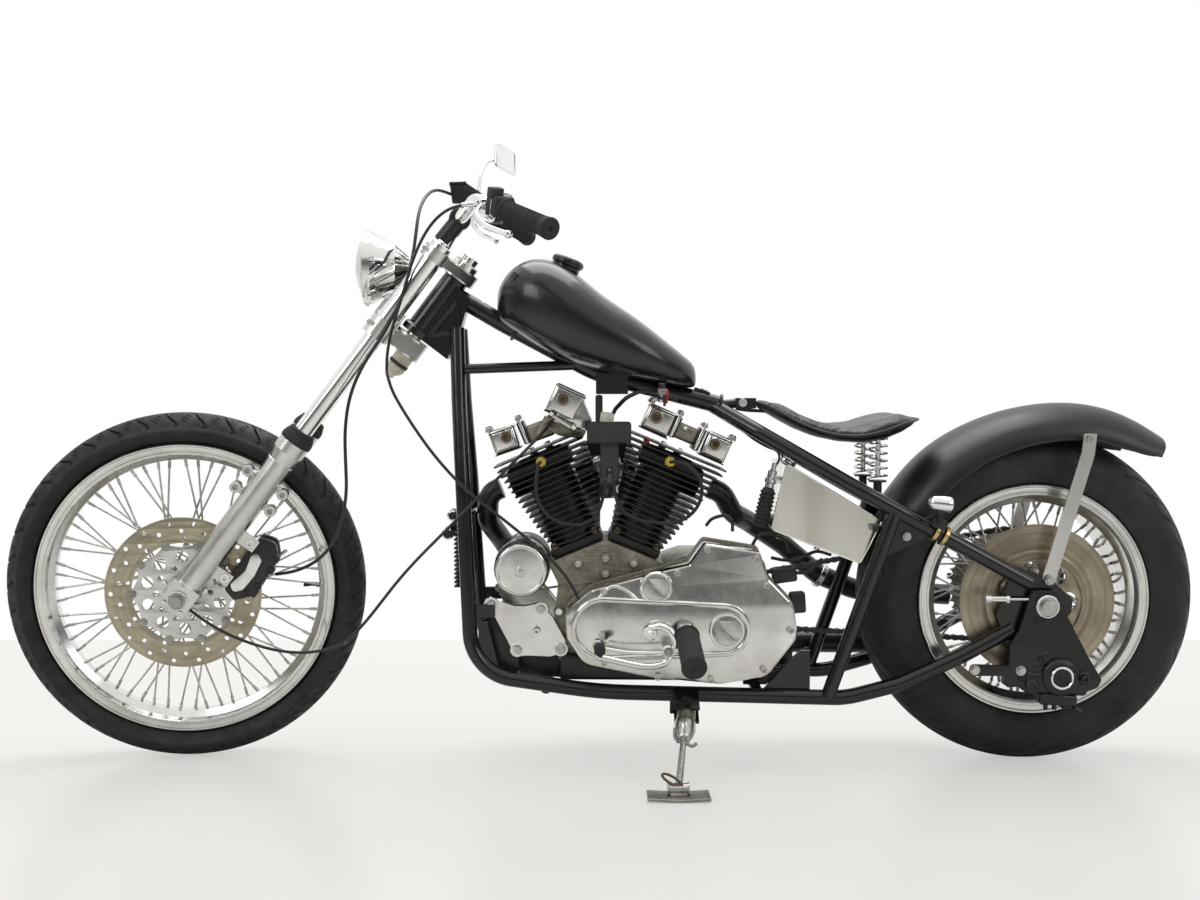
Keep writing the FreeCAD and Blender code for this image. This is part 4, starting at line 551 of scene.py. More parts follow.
class Shape:
    """A mesh being made, in millimetres."""

    def __init__(self) -> None:
        """Starts with no faces."""
        self.mesh = bmesh.new()

    def grid(self, rows: Sequence[Sequence[Point]], wrap: bool = True, close: bool = False,
             caps: bool = False) -> "Shape":
        """Joins rows of points with faces.

        Args:
            rows: Rows of as many points each.
            wrap: Whether each row is a ring.
            close: Whether the last row joins the first.
            caps: Whether the first and last row get a face.

        Returns:
            This shape.
        """
        made = [[self.mesh.verts.new(point) for point in row] for row in rows]
        for low, high in zip(made, made[1:] + (made[:1] if close else [])):
            width = len(low) if wrap else len(low) - 1
            for index in range(width):
                after = (index + 1) % len(low)
                self.mesh.faces.new((low[index], low[after], high[after], high[index]))
        if caps:
            self.mesh.faces.new(made[0])
            self.mesh.faces.new(made[-1])
        return self

    def lathe(self, outline: Sequence[Point], base: Point, way: Point = Z, sides: int = 40,
              close: bool = False) -> "Shape":
        """Turns an outline about an axis.

        Args:
            outline: Points as radius and height along the axis.
            base: Where the axis starts.
            way: The axis.
            sides: Faces round.
            close: Whether the outline's last point joins its first.

        Returns:
            This shape.
        """
        place = Matrix.Translation(Vector(base)) @ turn_to(way)
        rings = []
        for radius, height in outline:
            angles = turns(sides) if radius > 1e-6 else [0.0]
            spots = [(radius * math.cos(turn), radius * math.sin(turn), height) for turn in angles]
            rings.append([self.mesh.verts.new(place @ Vector(spot)) for spot in spots])
        for low, high in zip(rings, rings[1:] + (rings[:1] if close else [])):
            for index in range(sides):
                after = (index + 1) % sides
                corners = [low[index % len(low)], low[after % len(low)], high[after % len(high)],
                           high[index % len(high)]]
                corners = list(dict.fromkeys(corners))
                if len(corners) > 2:
                    self.mesh.faces.new(corners)
        return self

    def rod(self, radius: float, start: Point, end: Point, edge: float = 0.8, sides: int = 28,
            tip: float | None = None) -> "Shape":
        """A round bar with broken edges; tip is the far end's radius."""
        way = Vector(end) - Vector(start)
        far = radius if tip is None else tip
        outline = [(0, 0), (radius - edge, 0), (radius, edge), (far, way.length - edge),
                   (far - edge, way.length), (0, way.length)]
        return self.lathe(outline, start, way, sides)

    def tube(self, points: Sequence[Point], radius: float | Callable[[float], float], sides: int = 14,
             flat: float = 1.0) -> "Shape":
        """A round or flattened bar along points.

        Args:
            points: The middle line.
            radius: The radius, or a function of the share of the way.
            sides: Faces round.
            flat: The second width as a share of the first.

        Returns:
            This shape.
        """
        spots = [Vector(point) for point in points]
        way = (spots[1] - spots[0]).normalized()
        across = way.orthogonal().normalized()
        rows = []
        for index, spot in enumerate(spots):
            ahead = spots[min(index + 1, len(spots) - 1)] - spots[max(index - 1, 0)]
            way = ahead.normalized()
            across = (across - way * across.dot(way)).normalized()
            other = way.cross(across)
            size = radius(index / (len(spots) - 1)) if callable(radius) else radius
            rows.append([spot + across * (size * math.cos(turn)) + other * (size * flat * math.sin(turn))
                         for turn in turns(sides)])
        return self.grid(rows, caps=True)

    def block(self, size: Point, centre: Point, turn: Matrix | None = None, edge: float = 1.5) -> "Shape":
        """A box with rounded edges."""
        place = Matrix.Translation(Vector(centre)) @ (turn or Matrix.Identity(4)) @ Matrix.Diagonal((*size,
                                                                                                     1))
        made = bmesh.ops.create_cube(self.mesh, size=1.0, matrix=place)
        edges = list(dict.fromkeys(edge for vert in made["verts"] for edge in vert.link_edges))
        bmesh.ops.bevel(self.mesh, geom=edges, offset=edge, segments=3, profile=0.5, affect="EDGES")
        return self

    def plate(self, outlines: Sequence[Sequence[Point]], low: float, high: float, edge: float = 0.6,
              place: Matrix = SIDE_VIEW) -> "Shape":
        """A flat plate with rounded edges and holes.

        Args:
            outlines: The outline and its holes, in the side view.
            low: The first face, along y.
            high: The second face.
            edge: The edges' radius.
            place: Another way to lay the plate, along z instead of y.

        Returns:
            This shape.
        """
        curve = bpy.data.curves.new("plate", "CURVE")
        curve.dimensions = "2D"
        curve.fill_mode = "BOTH"
        curve.extrude = (high - low) / 2 - edge
        curve.bevel_depth = edge
        curve.bevel_resolution = 1
        curve.offset = -edge
        for outline in outlines:
            spline = curve.splines.new("POLY")
            spline.points.add(len(outline) - 1)
            spline.use_cyclic_u = True
            for point, spot in zip(spline.points, outline):
                point.co = (spot[0], spot[1], 0, 1)
        holder = bpy.data.objects.new("plate", curve)
        made = bpy.data.meshes.new_from_object(holder)
        middle = (low + high) / 2
        shift = Matrix.Translation((0, middle, 0)) if place == SIDE_VIEW else Matrix.Translation((0, 0,
                                                                                                  middle))
        made.transform(shift @ place if place == SIDE_VIEW else place @ shift)
        self.mesh.from_mesh(made)
        bpy.data.objects.remove(holder)
        bpy.data.meshes.remove(made)
        bpy.data.curves.remove(curve)
        return self

    def take(self, other: "Shape", place: Matrix) -> "Shape":
        """Adds another shape at a place and uses it up."""
        other.mesh.transform(place)
        data = other.data("part")
        self.mesh.from_mesh(data)
        bpy.data.meshes.remove(data)
        return self

    def data(self, name: str) -> bpy.types.Mesh:
        """Gives the shape as mesh data and uses it up."""
        made = bpy.data.meshes.new(name)
        self.mesh.to_mesh(made)
        self.mesh.free()
        return made

    def shade(self, crease: float) -> None:
        """Smooths the faces, with sharp edges from an angle in degrees."""
        for face in self.mesh.faces:
            face.smooth = True
        for edge in self.mesh.edges:
            edge.smooth = edge.calc_face_angle(0.0) < math.radians(crease)

    def mirror(self) -> "Shape":
        """Adds the mirror image across the bike's middle."""
        made = bmesh.ops.duplicate(self.mesh,
                                   geom=self.mesh.verts[:] + self.mesh.edges[:] + self.mesh.faces[:])
        for item in made["geom"]:
            if isinstance(item, bmesh.types.BMVert):
                item.co.y *= -1
        return self

    def become(self, name: str, mount: Mount, finish: Finish, slot: str,
               instead_of: Sequence[str] = (), crease: float = 38.0) -> bpy.types.Object:
        """Turns the shape into a finished piece.

        Args:
            name: The piece's name.
            mount: Where it was drawn, and what it rides on.
            finish: Its finish.
            slot: The record's material slot that it stands for; it is not used.
            instead_of: CAD nodes that it replaces.
            crease: The angle in degrees from which an edge stays sharp.

        Returns:
            The piece.
        """
        bmesh.ops.remove_doubles(self.mesh, verts=self.mesh.verts[:], dist=SAME_POINT)
        self.mesh.transform(mount[0].matrix)
        bmesh.ops.recalc_face_normals(self.mesh, faces=self.mesh.faces[:])
        self.shade(crease)
        return settle(name, self.data(name), mount[1], finish, instead_of)


def settle(name: str, data: bpy.types.Mesh | bpy.types.Curve, body: Body, finish: Finish,
           instead_of: Sequence[str] = ()) -> bpy.types.Object:
    """Makes an object of finished data, dresses it and lets it ride on its body."""
    piece = bpy.data.objects.new(name, data)
    bpy.context.scene.collection.objects.link(piece)
    data.materials.clear()
    data.materials.append(finish.make())
    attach(piece, body.value)
    if instead_of:
        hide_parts(*instead_of)
    LOG.info("piece %s", name)
    return piece


# What repeats: node trees with named inputs

class Tree(Graph):
    """A geometry node tree with named inputs."""

    def __init__(self, name: str) -> None:
        """Starts a tree that takes and gives geometry."""
        super().__init__(bpy.data.node_groups.new(name, "GeometryNodeTree"))
        for way in ("OUTPUT", "INPUT"):
            self.tree.interface.new_socket(name="Geometry", in_out=way, socket_type="NodeSocketGeometry")
        self.given = self.add("NodeGroupInput")
        self.result = self.add("NodeGroupOutput")
        self.names: dict[str, str] = {}

    def entry(self, name: str, kind: str) -> bpy.types.NodeSocket:
        """Adds a named input; kind is Float, Int, Object, Vector or Material."""
        socket = self.tree.interface.new_socket(name=name, in_out="INPUT", socket_type=f"NodeSocket{kind}")
        self.names[name] = socket.identifier
        return self.given.outputs[name]

    def end(self, geometry: bpy.types.NodeSocket) -> "Tree":
        """Realizes the instances, sets the material and closes the tree."""
        material = self.entry("Material", "Material")
        plain = self.add("GeometryNodeRealizeInstances", Geometry=geometry).outputs["Geometry"]
        dressed = self.add("GeometryNodeSetMaterial", Geometry=plain, Material=material)
        self.put(self.result.inputs["Geometry"], dressed.outputs["Geometry"])
        return self

    def run(self, source: bpy.types.Mesh, **values: object) -> bpy.types.Mesh:
        """Evaluates the tree on a mesh.

        Args:
            source: The points that it starts from.
            values: Its inputs, named with _ for a space.

        Returns:
            A plain mesh.
        """
        holder = bpy.data.objects.new("holder", source)
        bpy.context.scene.collection.objects.link(holder)
        modifier = holder.modifiers.new("tree", "NODES")
        modifier.node_group = self.tree
        for name, value in values.items():
            modifier[self.names[name.replace("_", " ")]] = value
        bpy.context.view_layer.update()
        evaluated = holder.evaluated_get(bpy.context.evaluated_depsgraph_get())
        made = bpy.data.meshes.new_from_object(evaluated)
        bpy.data.objects.remove(holder)
        return made


def coil_tree() -> Tree:
    """A coil spring along Z."""
    tree = Tree("coil")
    turns = tree.entry("Turns", "Float")
    radius = tree.entry("Radius", "Float")
    height = tree.entry("Height", "Float")
    wire = tree.entry("Wire", "Float")
    spiral = tree.add("GeometryNodeCurveSpiral", Resolution=28, Rotations=turns, Start_Radius=radius,
                      End_Radius=radius, Height=height)
    section = tree.add("GeometryNodeCurvePrimitiveCircle", Resolution=10, Radius=wire)
    swept = tree.add("GeometryNodeCurveToMesh", Curve=spiral.outputs["Curve"],
                     Profile_Curve=section.outputs["Curve"], Fill_Caps=True)
    return tree.end(swept.outputs["Mesh"])


def ribs_tree() -> Tree:
    """Round beads one after another along Z."""
    tree = Tree("ribs")
    count = tree.entry("Count", "Int")
    pitch = tree.entry("Pitch", "Float")
    radius = tree.entry("Radius", "Float")
    bead = tree.entry("Bead", "Float")
    step = tree.add("ShaderNodeCombineXYZ", Z=pitch)
    line = tree.add("GeometryNodeMeshLine", Count=count, Offset=step.outputs["Vector"])
    ring = tree.add("GeometryNodeCurvePrimitiveCircle", Resolution=36, Radius=radius)
    section = tree.add("GeometryNodeCurvePrimitiveCircle", Resolution=8, Radius=bead)
    swept = tree.add("GeometryNodeCurveToMesh", Curve=ring.outputs["Curve"],
                     Profile_Curve=section.outputs["Curve"])
    placed = tree.add("GeometryNodeInstanceOnPoints", Points=line.outputs["Mesh"],
                      Instance=swept.outputs["Mesh"])
    return tree.end(placed.outputs["Instances"])


def fastener_tree() -> Tree:
    """A head on each point, turned to the point's way and scaled to its size."""
    tree = Tree("fasteners")
    head = tree.entry("Head", "Object")
    way = tree.add("GeometryNodeInputNamedAttribute", {"data_type": "FLOAT_VECTOR"}, Name="way")
    size = tree.add("GeometryNodeInputNamedAttribute", {"data_type": "FLOAT_VECTOR"}, Name="size")
    turn = tree.add("FunctionNodeAlignRotationToVector", {"axis": "Z"}, Vector=way.outputs["Attribute"])
    shape = tree.add("GeometryNodeObjectInfo", Object=head)
    placed = tree.add("GeometryNodeInstanceOnPoints", Points=tree.given.outputs["Geometry"],
                      Instance=shape.outputs["Geometry"], Rotation=turn.outputs["Rotation"],
                      Scale=size.outputs["Attribute"])
    return tree.end(placed.outputs["Instances"])


def links_tree() -> Tree:
    """Wide and narrow links in turn on the points of a loop in the side view."""
    tree = Tree("links")
    wide = tree.entry("Wide link", "Object")
    narrow = tree.entry("Narrow link", "Object")
    angle = tree.add("GeometryNodeInputNamedAttribute", {"data_type": "FLOAT"}, Name="angle")
    euler = tree.add("ShaderNodeCombineXYZ", Y=angle.outputs["Attribute"])
    turn = tree.add("FunctionNodeEulerToRotation", Euler=euler.outputs["Vector"])
    index = tree.add("GeometryNodeInputIndex")
    odd = tree.maths("MODULO", index.outputs["Index"], 2)
    even = tree.add("FunctionNodeBooleanMath", {"operation": "NOT"})
    tree.put(even.inputs[0], odd)
    both = tree.add("GeometryNodeJoinGeometry")
    for link, chosen in ((wide, even.outputs["Boolean"]), (narrow, odd)):
        shape = tree.add("GeometryNodeObjectInfo", Object=link)
        placed = tree.add("GeometryNodeInstanceOnPoints", Points=tree.given.outputs["Geometry"],
                          Selection=chosen, Instance=shape.outputs["Geometry"],
                          Rotation=turn.outputs["Rotation"])
        tree.put(both.inputs["Geometry"], placed.outputs["Instances"])
    return tree.end(both.outputs["Geometry"])


COILS, RIBS, FASTENERS, LINKS = coil_tree(), ribs_tree(), fastener_tree(), links_tree()


def loose_object(shape: Shape) -> bpy.types.Object:
    """An object for a tree to repeat, which isn't a piece itself."""
    bmesh.ops.recalc_face_normals(shape.mesh, faces=shape.mesh.faces[:])
    return bpy.data.objects.new("pattern", shape.data("pattern"))


class Head(Enum):
    """The heads of fasteners, each drawn one millimetre in radius."""

    HEX = "hex"
    SOCKET = "socket"
    DOME = "dome"
    NUT = "nut"
    ACORN = "acorn"

    def draw(self) -> Shape:
        """Draws the head along Z, its seat at 0."""
        shape = Shape()
        if self is Head.HEX or self is Head.NUT:
            outline = circle(0.94, count=6)
            holes = [circle(0.42, count=16)] if self is Head.NUT else []
            shape.plate([outline, *holes], 0.12, 0.85, 0.06, Matrix.Identity(4))
            shape.lathe([(0, 0), (1.16, 0), (1.2, 0.05), (1.16, 0.14), (0, 0.14)], (0, 0, 0), Z, 24)
            if self is Head.NUT:
                shape.lathe([(0, 0.1), (0.46, 0.1), (0.46, 1.1), (0.38, 1.2), (0, 1.2)], (0, 0, 0), Z, 16)
        elif self is Head.ACORN:
            shape.plate([circle(0.98, count=6)], 0.0, 0.8, 0.08, Matrix.Identity(4))
            shape.lathe([(0, 0.7), (0.82, 0.7), (0.78, 1.1), (0.6, 1.5), (0.32, 1.72), (0, 1.78)], (0, 0, 0),
                        Z, 20)
        elif self is Head.SOCKET:
            shape.lathe([(0, 0), (1, 0), (1, 0.9), (0.9, 1.0), (0.52, 1.0)], (0, 0, 0), Z, 24)
            shape.lathe([(0.52, 1.0), (0.52, 0.45), (0, 0.45)], (0, 0, 0), Z, 6)
        else:
            shape.lathe([(0, 0), (1, 0), (0.97, 0.28), (0.8, 0.52), (0.5, 0.66), (0, 0.72)], (0, 0, 0), Z,
                        20)
        return shape


def fasten(name: str, spots: Sequence[tuple[Point, Point, float]], head: Head, mount: Mount,
           finish: Finish = STEEL) -> bpy.types.Object:
    """Puts a head on each spot.

    Args:
        name: The piece's name.
        spots: Place, direction and head radius of each, in millimetres.
        head: The kind of head.
        mount: Where the spots are given, and what they ride on.
        finish: Their finish.

    Returns:
        The piece, all heads in one.
    """
    return sow(name, spots, head.draw(), mount, finish)


def sow(name: str, spots: Sequence[tuple[Point, Point, float]], pattern: Shape, mount: Mount,
        finish: Finish) -> bpy.types.Object:
    """Repeats a pattern on spots, as fasten does with heads."""
    points = bpy.data.meshes.new("spots")
    points.from_pydata([tuple(Vector(spot[0])) for spot in spots], [], [])
    ways = points.attributes.new("way", "FLOAT_VECTOR", "POINT")
    ways.data.foreach_set("vector", [part for spot in spots for part in Vector(spot[1]).normalized()])
    sizes = points.attributes.new("size", "FLOAT_VECTOR", "POINT")
    scales = [spot[2] if isinstance(spot[2], tuple) else (spot[2], spot[2], spot[2]) for spot in spots]
    sizes.data.foreach_set("vector", [part for scale in scales for part in scale])
    source = loose_object(pattern)
    data = FASTENERS.run(points, Head=source, Material=finish.make())
    bpy.data.objects.remove(source)
    return polish(name, data, mount, Matrix.Identity(4), finish)


def polish(name: str, data: bpy.types.Mesh, mount: Mount, place: Matrix, finish: Finish,
           instead_of: Sequence[str] = (), crease: float = 35.0) -> bpy.types.Object:
    """Moves a tree's mesh to its place in its space and makes it a finished piece."""
    shape = Shape()
    shape.mesh.from_mesh(data)
    shape.mesh.transform(mount[0].matrix @ place)
    shape.shade(crease)
    bpy.data.meshes.remove(data)
    return settle(name, shape.data(name), mount[1], finish, instead_of)


def spring(name: str, start: Point, end: Point, radius: float, wire: float, coils: float, mount: Mount,
           finish: Finish, instead_of: Sequence[str] = ()) -> bpy.types.Object:
    """A coil spring between two points."""
    way = Vector(end) - Vector(start)
    data = COILS.run(bpy.data.meshes.new("none"), Turns=coils, Radius=radius, Height=way.length, Wire=wire,
                     Material=finish.make())
    place = Matrix.Translation(Vector(start)) @ turn_to(way)
    return polish(name, data, mount, place, finish, instead_of)


def ribs(name: str, start: Point, way: Point, count: int, pitch: float, radius: float, bead: float,
         mount: Mount, finish: Finish) -> bpy.types.Object:
    """Beads along a line."""
    data = RIBS.run(bpy.data.meshes.new("none"), Count=count, Pitch=pitch, Radius=radius, Bead=bead,
                    Material=finish.make())
    return polish(name, data, mount, Matrix.Translation(Vector(start)) @ turn_to(way), finish)


def dress(finish: Finish, *nodes: str) -> None:
    """Gives CAD nodes that stay as they are a finish."""
    for node in nodes:
        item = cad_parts[node]
        item.data.materials.clear()
        item.data.materials.append(finish.make())


# Studio

@dataclass
class Studio:
    """The pale floor, the white surroundings, soft lamps and the camera.

    front_tones is how bright gloss sees the room in front of the bike, from straight down to straight up.
    """

    eye: Point = (-0.00355, -2.557, 0.5742)
    look_up: float = 0.592
    lens: float = 39.75
    sensor: float = 36.0
    floor_side: float = 9.0
    floor_back: float = 1.76
    floor_colour: Point = (0.82, 0.805, 0.765)
    front_tones: Sequence[tuple[float, float]] = ((0.0, 0.5), (0.46, 0.32), (0.54, 0.14), (0.63, 0.2),
                                                  (0.72, 0.85), (1.0, 1.0))

    def camera(self) -> None:
        """Puts the camera where the photograph was taken."""
        data = bpy.data.cameras.new("camera")
        data.sensor_width = self.sensor
        data.lens = self.lens
        holder = bpy.data.objects.new("camera", data)
        holder.location = self.eye
        holder.rotation_euler = (math.radians(90 + self.look_up), 0, 0)
        bpy.context.scene.collection.objects.link(holder)
        bpy.context.scene.camera = holder

    def floor(self) -> None:
        """A pale floor with a soft sheen that runs out to white."""
        data = bpy.data.meshes.new("floor")
        side = self.floor_side
        corners = [(-side, -side, 0), (side, -side, 0), (side, self.floor_back, 0),
                   (-side, self.floor_back, 0)]
        data.from_pydata(corners, [], [(0, 1, 2, 3)])
        nodes = Nodes("studio_floor")
        drift = nodes.ramp(nodes.noise(0.7, 1.0), [(0.2, tuple(0.985 * part for part in self.floor_colour)),
                                                   (0.8, self.floor_colour)])
        nodes.set(Base_Color=drift, Roughness=0.3, Specular_IOR_Level=0.35)
        split = nodes.add("ShaderNodeSeparateXYZ", Vector=nodes.coordinates)
        far = nodes.span(split.outputs["Y"], 0.42, 0.9, -0.5, 1.5)
        path = nodes.add("ShaderNodeLightPath")
        share = nodes.maths("MULTIPLY", path.outputs["Is Camera Ray"], far)
        white = nodes.add("ShaderNodeEmission", Color=(0.925, 0.92, 0.895, 1), Strength=1.0)
        mixed = nodes.either(share, nodes.shader.outputs["BSDF"], white.outputs["Emission"])
        nodes.put(nodes.tree.nodes["Material Output"].inputs["Surface"], mixed)
        data.materials.append(nodes.material)
        holder = bpy.data.objects.new("floor", data)
        bpy.context.scene.collection.objects.link(holder)

    def surroundings(self) -> None:
        """White walls to the eye and in gloss, and a softer light on everything else."""
        world = bpy.data.worlds.new("studio")
        bpy.context.scene.world = world
        world.use_nodes = True
        world.node_tree.nodes.clear()
        sky = Graph(world.node_tree)
        path = sky.add("ShaderNodeLightPath")
        seen = sky.add("ShaderNodeBackground", Color=(1, 1, 1, 1), Strength=1.0)
        lit = sky.add("ShaderNodeBackground", Color=(0.97, 0.98, 1.0, 1), Strength=0.5)
        split = sky.add("ShaderNodeSeparateXYZ", Vector=sky.add("ShaderNodeTexCoord").outputs["Generated"])
        height = sky.add("ShaderNodeMapRange", Value=split.outputs["Z"], From_Min=-1.0)
        front = sky.ramp(height.outputs["Result"],
                         [(place, (tone, 0.985 * tone, 0.95 * tone)) for place, tone in self.front_tones])
        back = sky.add("ShaderNodeMapRange", Value=split.outputs["Y"], From_Min=-0.35, From_Max=0.25)
        tone = sky.blend(back.outputs["Result"], front, (0.96, 0.96, 0.95))
        gloss = sky.add("ShaderNodeBackground", Color=tone)
        soft = sky.either(path.outputs["Is Glossy Ray"], lit.outputs["Background"],
                          gloss.outputs["Background"])
        eye = sky.maths("MAXIMUM", path.outputs["Is Camera Ray"], path.outputs["Is Transmission Ray"])
        whole = sky.either(eye, soft, seen.outputs["Background"])
        sky.put(sky.add("ShaderNodeOutputWorld").inputs["Surface"], whole)

    def lamp(self, name: str, place: Point, target: Point, size: float, power: float) -> None:
        """A square soft lamp that faces a target."""
        data = bpy.data.lights.new(name, "AREA")
        data.size = size
        data.energy = power
        holder = bpy.data.objects.new(name, data)
        holder.location = place
        holder.rotation_euler = (Vector(target) - Vector(place)).to_track_quat("-Z", "Y").to_euler()
        bpy.context.scene.collection.objects.link(holder)

    def build(self) -> None:
        """Sets up the whole studio."""
        self.camera()
        self.floor()
        self.surroundings()
        self.lamp("overhead", (0.0, 0.7, 3.4), (0, 0.1, 0.5), 2.6, 70)
        self.lamp("front_left", (-2.6, -2.6, 2.3), (-0.2, 0, 0.5), 1.6, 26)
        self.lamp("front_right", (2.8, -2.4, 1.9), (0.3, 0, 0.4), 1.4, 16)
        bpy.context.scene.view_settings.view_transform = "Standard"


# Cables and hoses, on the routes of the part

@dataclass
class Cables:
    """The brake hose, the plug leads and the two cables that cross the steering head."""

    hose: float = 6.4
    cable: float = 5.6
    lead: float = 6.6
    lead_front: Sequence[Point] = (
        (689.5, -86.8, 585), (688.1, -100.7, 585), (686.6, -114.9, 580.3), (684.9, -128.2, 569.8),
        (683.3, -138.2, 552.5), (683.7, -140.4, 530.7), (690.9, -140.4, 507.9), (707, -139.1, 487.6),
        (730.5, -135.9, 474.9), (757.5, -130, 471.4), (776, -114, 472), (793, -97, 482), (802, -83, 499),
        (808, -71, 519), (810.5, -64, 535), (811.5, -61.5, 548.9))
    lead_rear: Sequence[Point] = (
        (934.6, -86.8, 585.2), (936.7, -100.5, 586.6), (943, -114, 587.8), (954.6, -126.2, 586.1),
        (970.6, -135.6, 578.7), (983.6, -141.1, 563.2), (990.2, -142.9, 542.3), (987.9, -142.2, 519.4),
        (976.9, -140.3, 498.2), (957.1, -136.9, 481.6), (930.8, -131.9, 473.8), (903.6, -125.5, 475.2),
        (877, -117.4, 478), (854.3, -106.1, 487.2), (837.7, -92.6, 501.8), (831, -80, 519),
        (828.5, -68, 534), (828, -63, 548.5))
    brake: Sequence[Point] = (
        (173.6, -62.3, 373), (194, -68, 376), (222, -80, 385), (254, -96, 403), (284, -110, 434),
        (306, -118, 482), (317, -122, 540), (316, -124, 600), (316, -125, 660), (326, -126, 722),
        (352, -127, 780), (390, -127, 834), (418, -124, 886), (436, -118, 936), (447, -104, 984),
        (452, -80, 1026), (456, -46, 1060), (464, -4, 1084), (474, 42, 1100), (486, 90, 1108),
        (500, 136, 1108), (514.6, 174.5, 1104.2))
    clutch_fork: Sequence[Point] = (
        (548.4, -186.9, 1068), (530, -184, 1066), (508, -178, 1058), (486, -170, 1040), (466, -160, 1012),
        (448, -150, 974), (434, -143, 930), (420, -138, 886), (406, -135, 844), (397, -133, 804),
        (395, -131, 766))
    clutch_frame: Sequence[Point] = (
        (412, -140, 748), (420, -142, 722), (434, -145, 696), (460, -149, 655), (494, -152, 607),
        (532, -154, 563), (574, -156, 524), (618, -156, 490), (660, -155, 456), (696, -151, 424),
        (724, -146, 396), (743, -141, 370), (754.5, -137.5, 349), (760.8, -135, 335.9))
    speed_fork: Sequence[Point] = (
        (18.2, -98, 316.1), (40, -104, 300), (66, -110, 284), (98, -115, 267), (135, -120, 253),
        (178, -126, 241), (222, -132, 236.5), (262, -139, 241), (297, -145, 252), (312, -147.5, 260))
    speed_frame: Sequence[Point] = (
        (330.5, -166, 258), (352, -165, 276), (376, -163, 303), (402, -162, 336), (430, -160, 372),
        (464, -156, 410), (500, -152, 446), (538, -148, 484), (576, -143, 522), (612, -134, 558),
        (645, -119, 591), (672, -99, 618), (691, -78, 638), (703, -58, 652), (709.5, -43, 660),
        (712, -34.6, 663))

    def curve(self, name: str, points: Sequence[Vector], diameter: float) -> bpy.types.Curve:
        """A smooth spline with the route's points as its control points."""
        data = bpy.data.curves.new(name, "CURVE")
        data.dimensions = "3D"
        data.resolution_u = 8
        data.bevel_depth = diameter / 2000
        data.bevel_resolution = 3
        data.use_fill_caps = True
        spline = data.splines.new("NURBS")
        spline.points.add(len(points) - 1)
        for point, spot in zip(spline.points, points):
            point.co = (*spot, 1)
        spline.order_u = 3
        spline.use_endpoint_u = True
        return data

    def fixed(self, name: str, points: Sequence[Point], mount: Mount, diameter: float,
              node: str, finish: Finish) -> None:
        """A cord that stays on one body.

        Args:
            name: The piece's name.
            points: Its route.
            mount: Where the route is given, and what it rides on.
            diameter: In millimetres.
            node: The CAD node that it stands for.
            finish: Its finish.
        """
        route = [mount[0].at(*point) for point in points]
        piece = settle(name, self.curve(name, route, diameter), mount[1], finish, (node,))

    def crossing(self, name: str, fork: Sequence[Point], rest: Sequence[Point], start: Vector, end: Vector,
                 diameter: float, nodes: tuple[str, str]) -> None:
        """A cord that runs between the frame and the fork, laid for the bars as they stand turned.

        Args:
            name: The piece's name.
            fork: The route's part on the fork.
            rest: The route's part on the frame.
            start: Before here it follows the frame. It is not used.
            end: After here it follows the fork. It is not used.
            diameter: In millimetres.
            nodes: The CAD nodes that it stands for.
        """
        route = [Space.FRONT.at(*point) for point in fork] + [Space.BIKE.at(*point) for point in rest]
        curve = self.curve(name, route, diameter)
        holder = bpy.data.objects.new("route", curve)
        data = bpy.data.meshes.new_from_object(holder)
        curve.bevel_depth = 0
        line = bpy.data.meshes.new_from_object(holder)
        bpy.data.objects.remove(holder)
        for face in data.polygons:
            face.use_smooth = True
        data.materials.clear()
        data.materials.append(CABLE.make())
        piece = bpy.data.objects.new(name, data)
        bpy.context.scene.collection.objects.link(piece)
        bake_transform(piece)
        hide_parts(*nodes)
        LOG.info("piece %s", name)

    def build(self) -> None:
        """Lays every cord."""
        self.fixed("plug_lead_front", self.lead_front, CHASSIS, self.lead,
                   "spark_lead_front", RUBBER)
        self.fixed("plug_lead_rear", self.lead_rear, CHASSIS, self.lead,
                   "spark_lead_rear", RUBBER)
        self.fixed("brake_hose", self.brake, FORK, self.hose, "front_brake_hose", CABLE)
        self.crossing("clutch_cable", self.clutch_fork, self.clutch_frame, Space.BIKE.at(460, -149, 655),
                      Space.FRONT.at(406, -135, 844), self.cable,
                      ("clutch_cable_front", "clutch_cable_rear"))
        self.crossing("speed_cable", self.speed_fork, self.speed_frame, Space.BIKE.at(402, -162, 336),
                      Space.FRONT.at(222, -132, 236.5), self.cable,
                      ("speed_cable_front", "speed_cable_rear"))


# Wheels

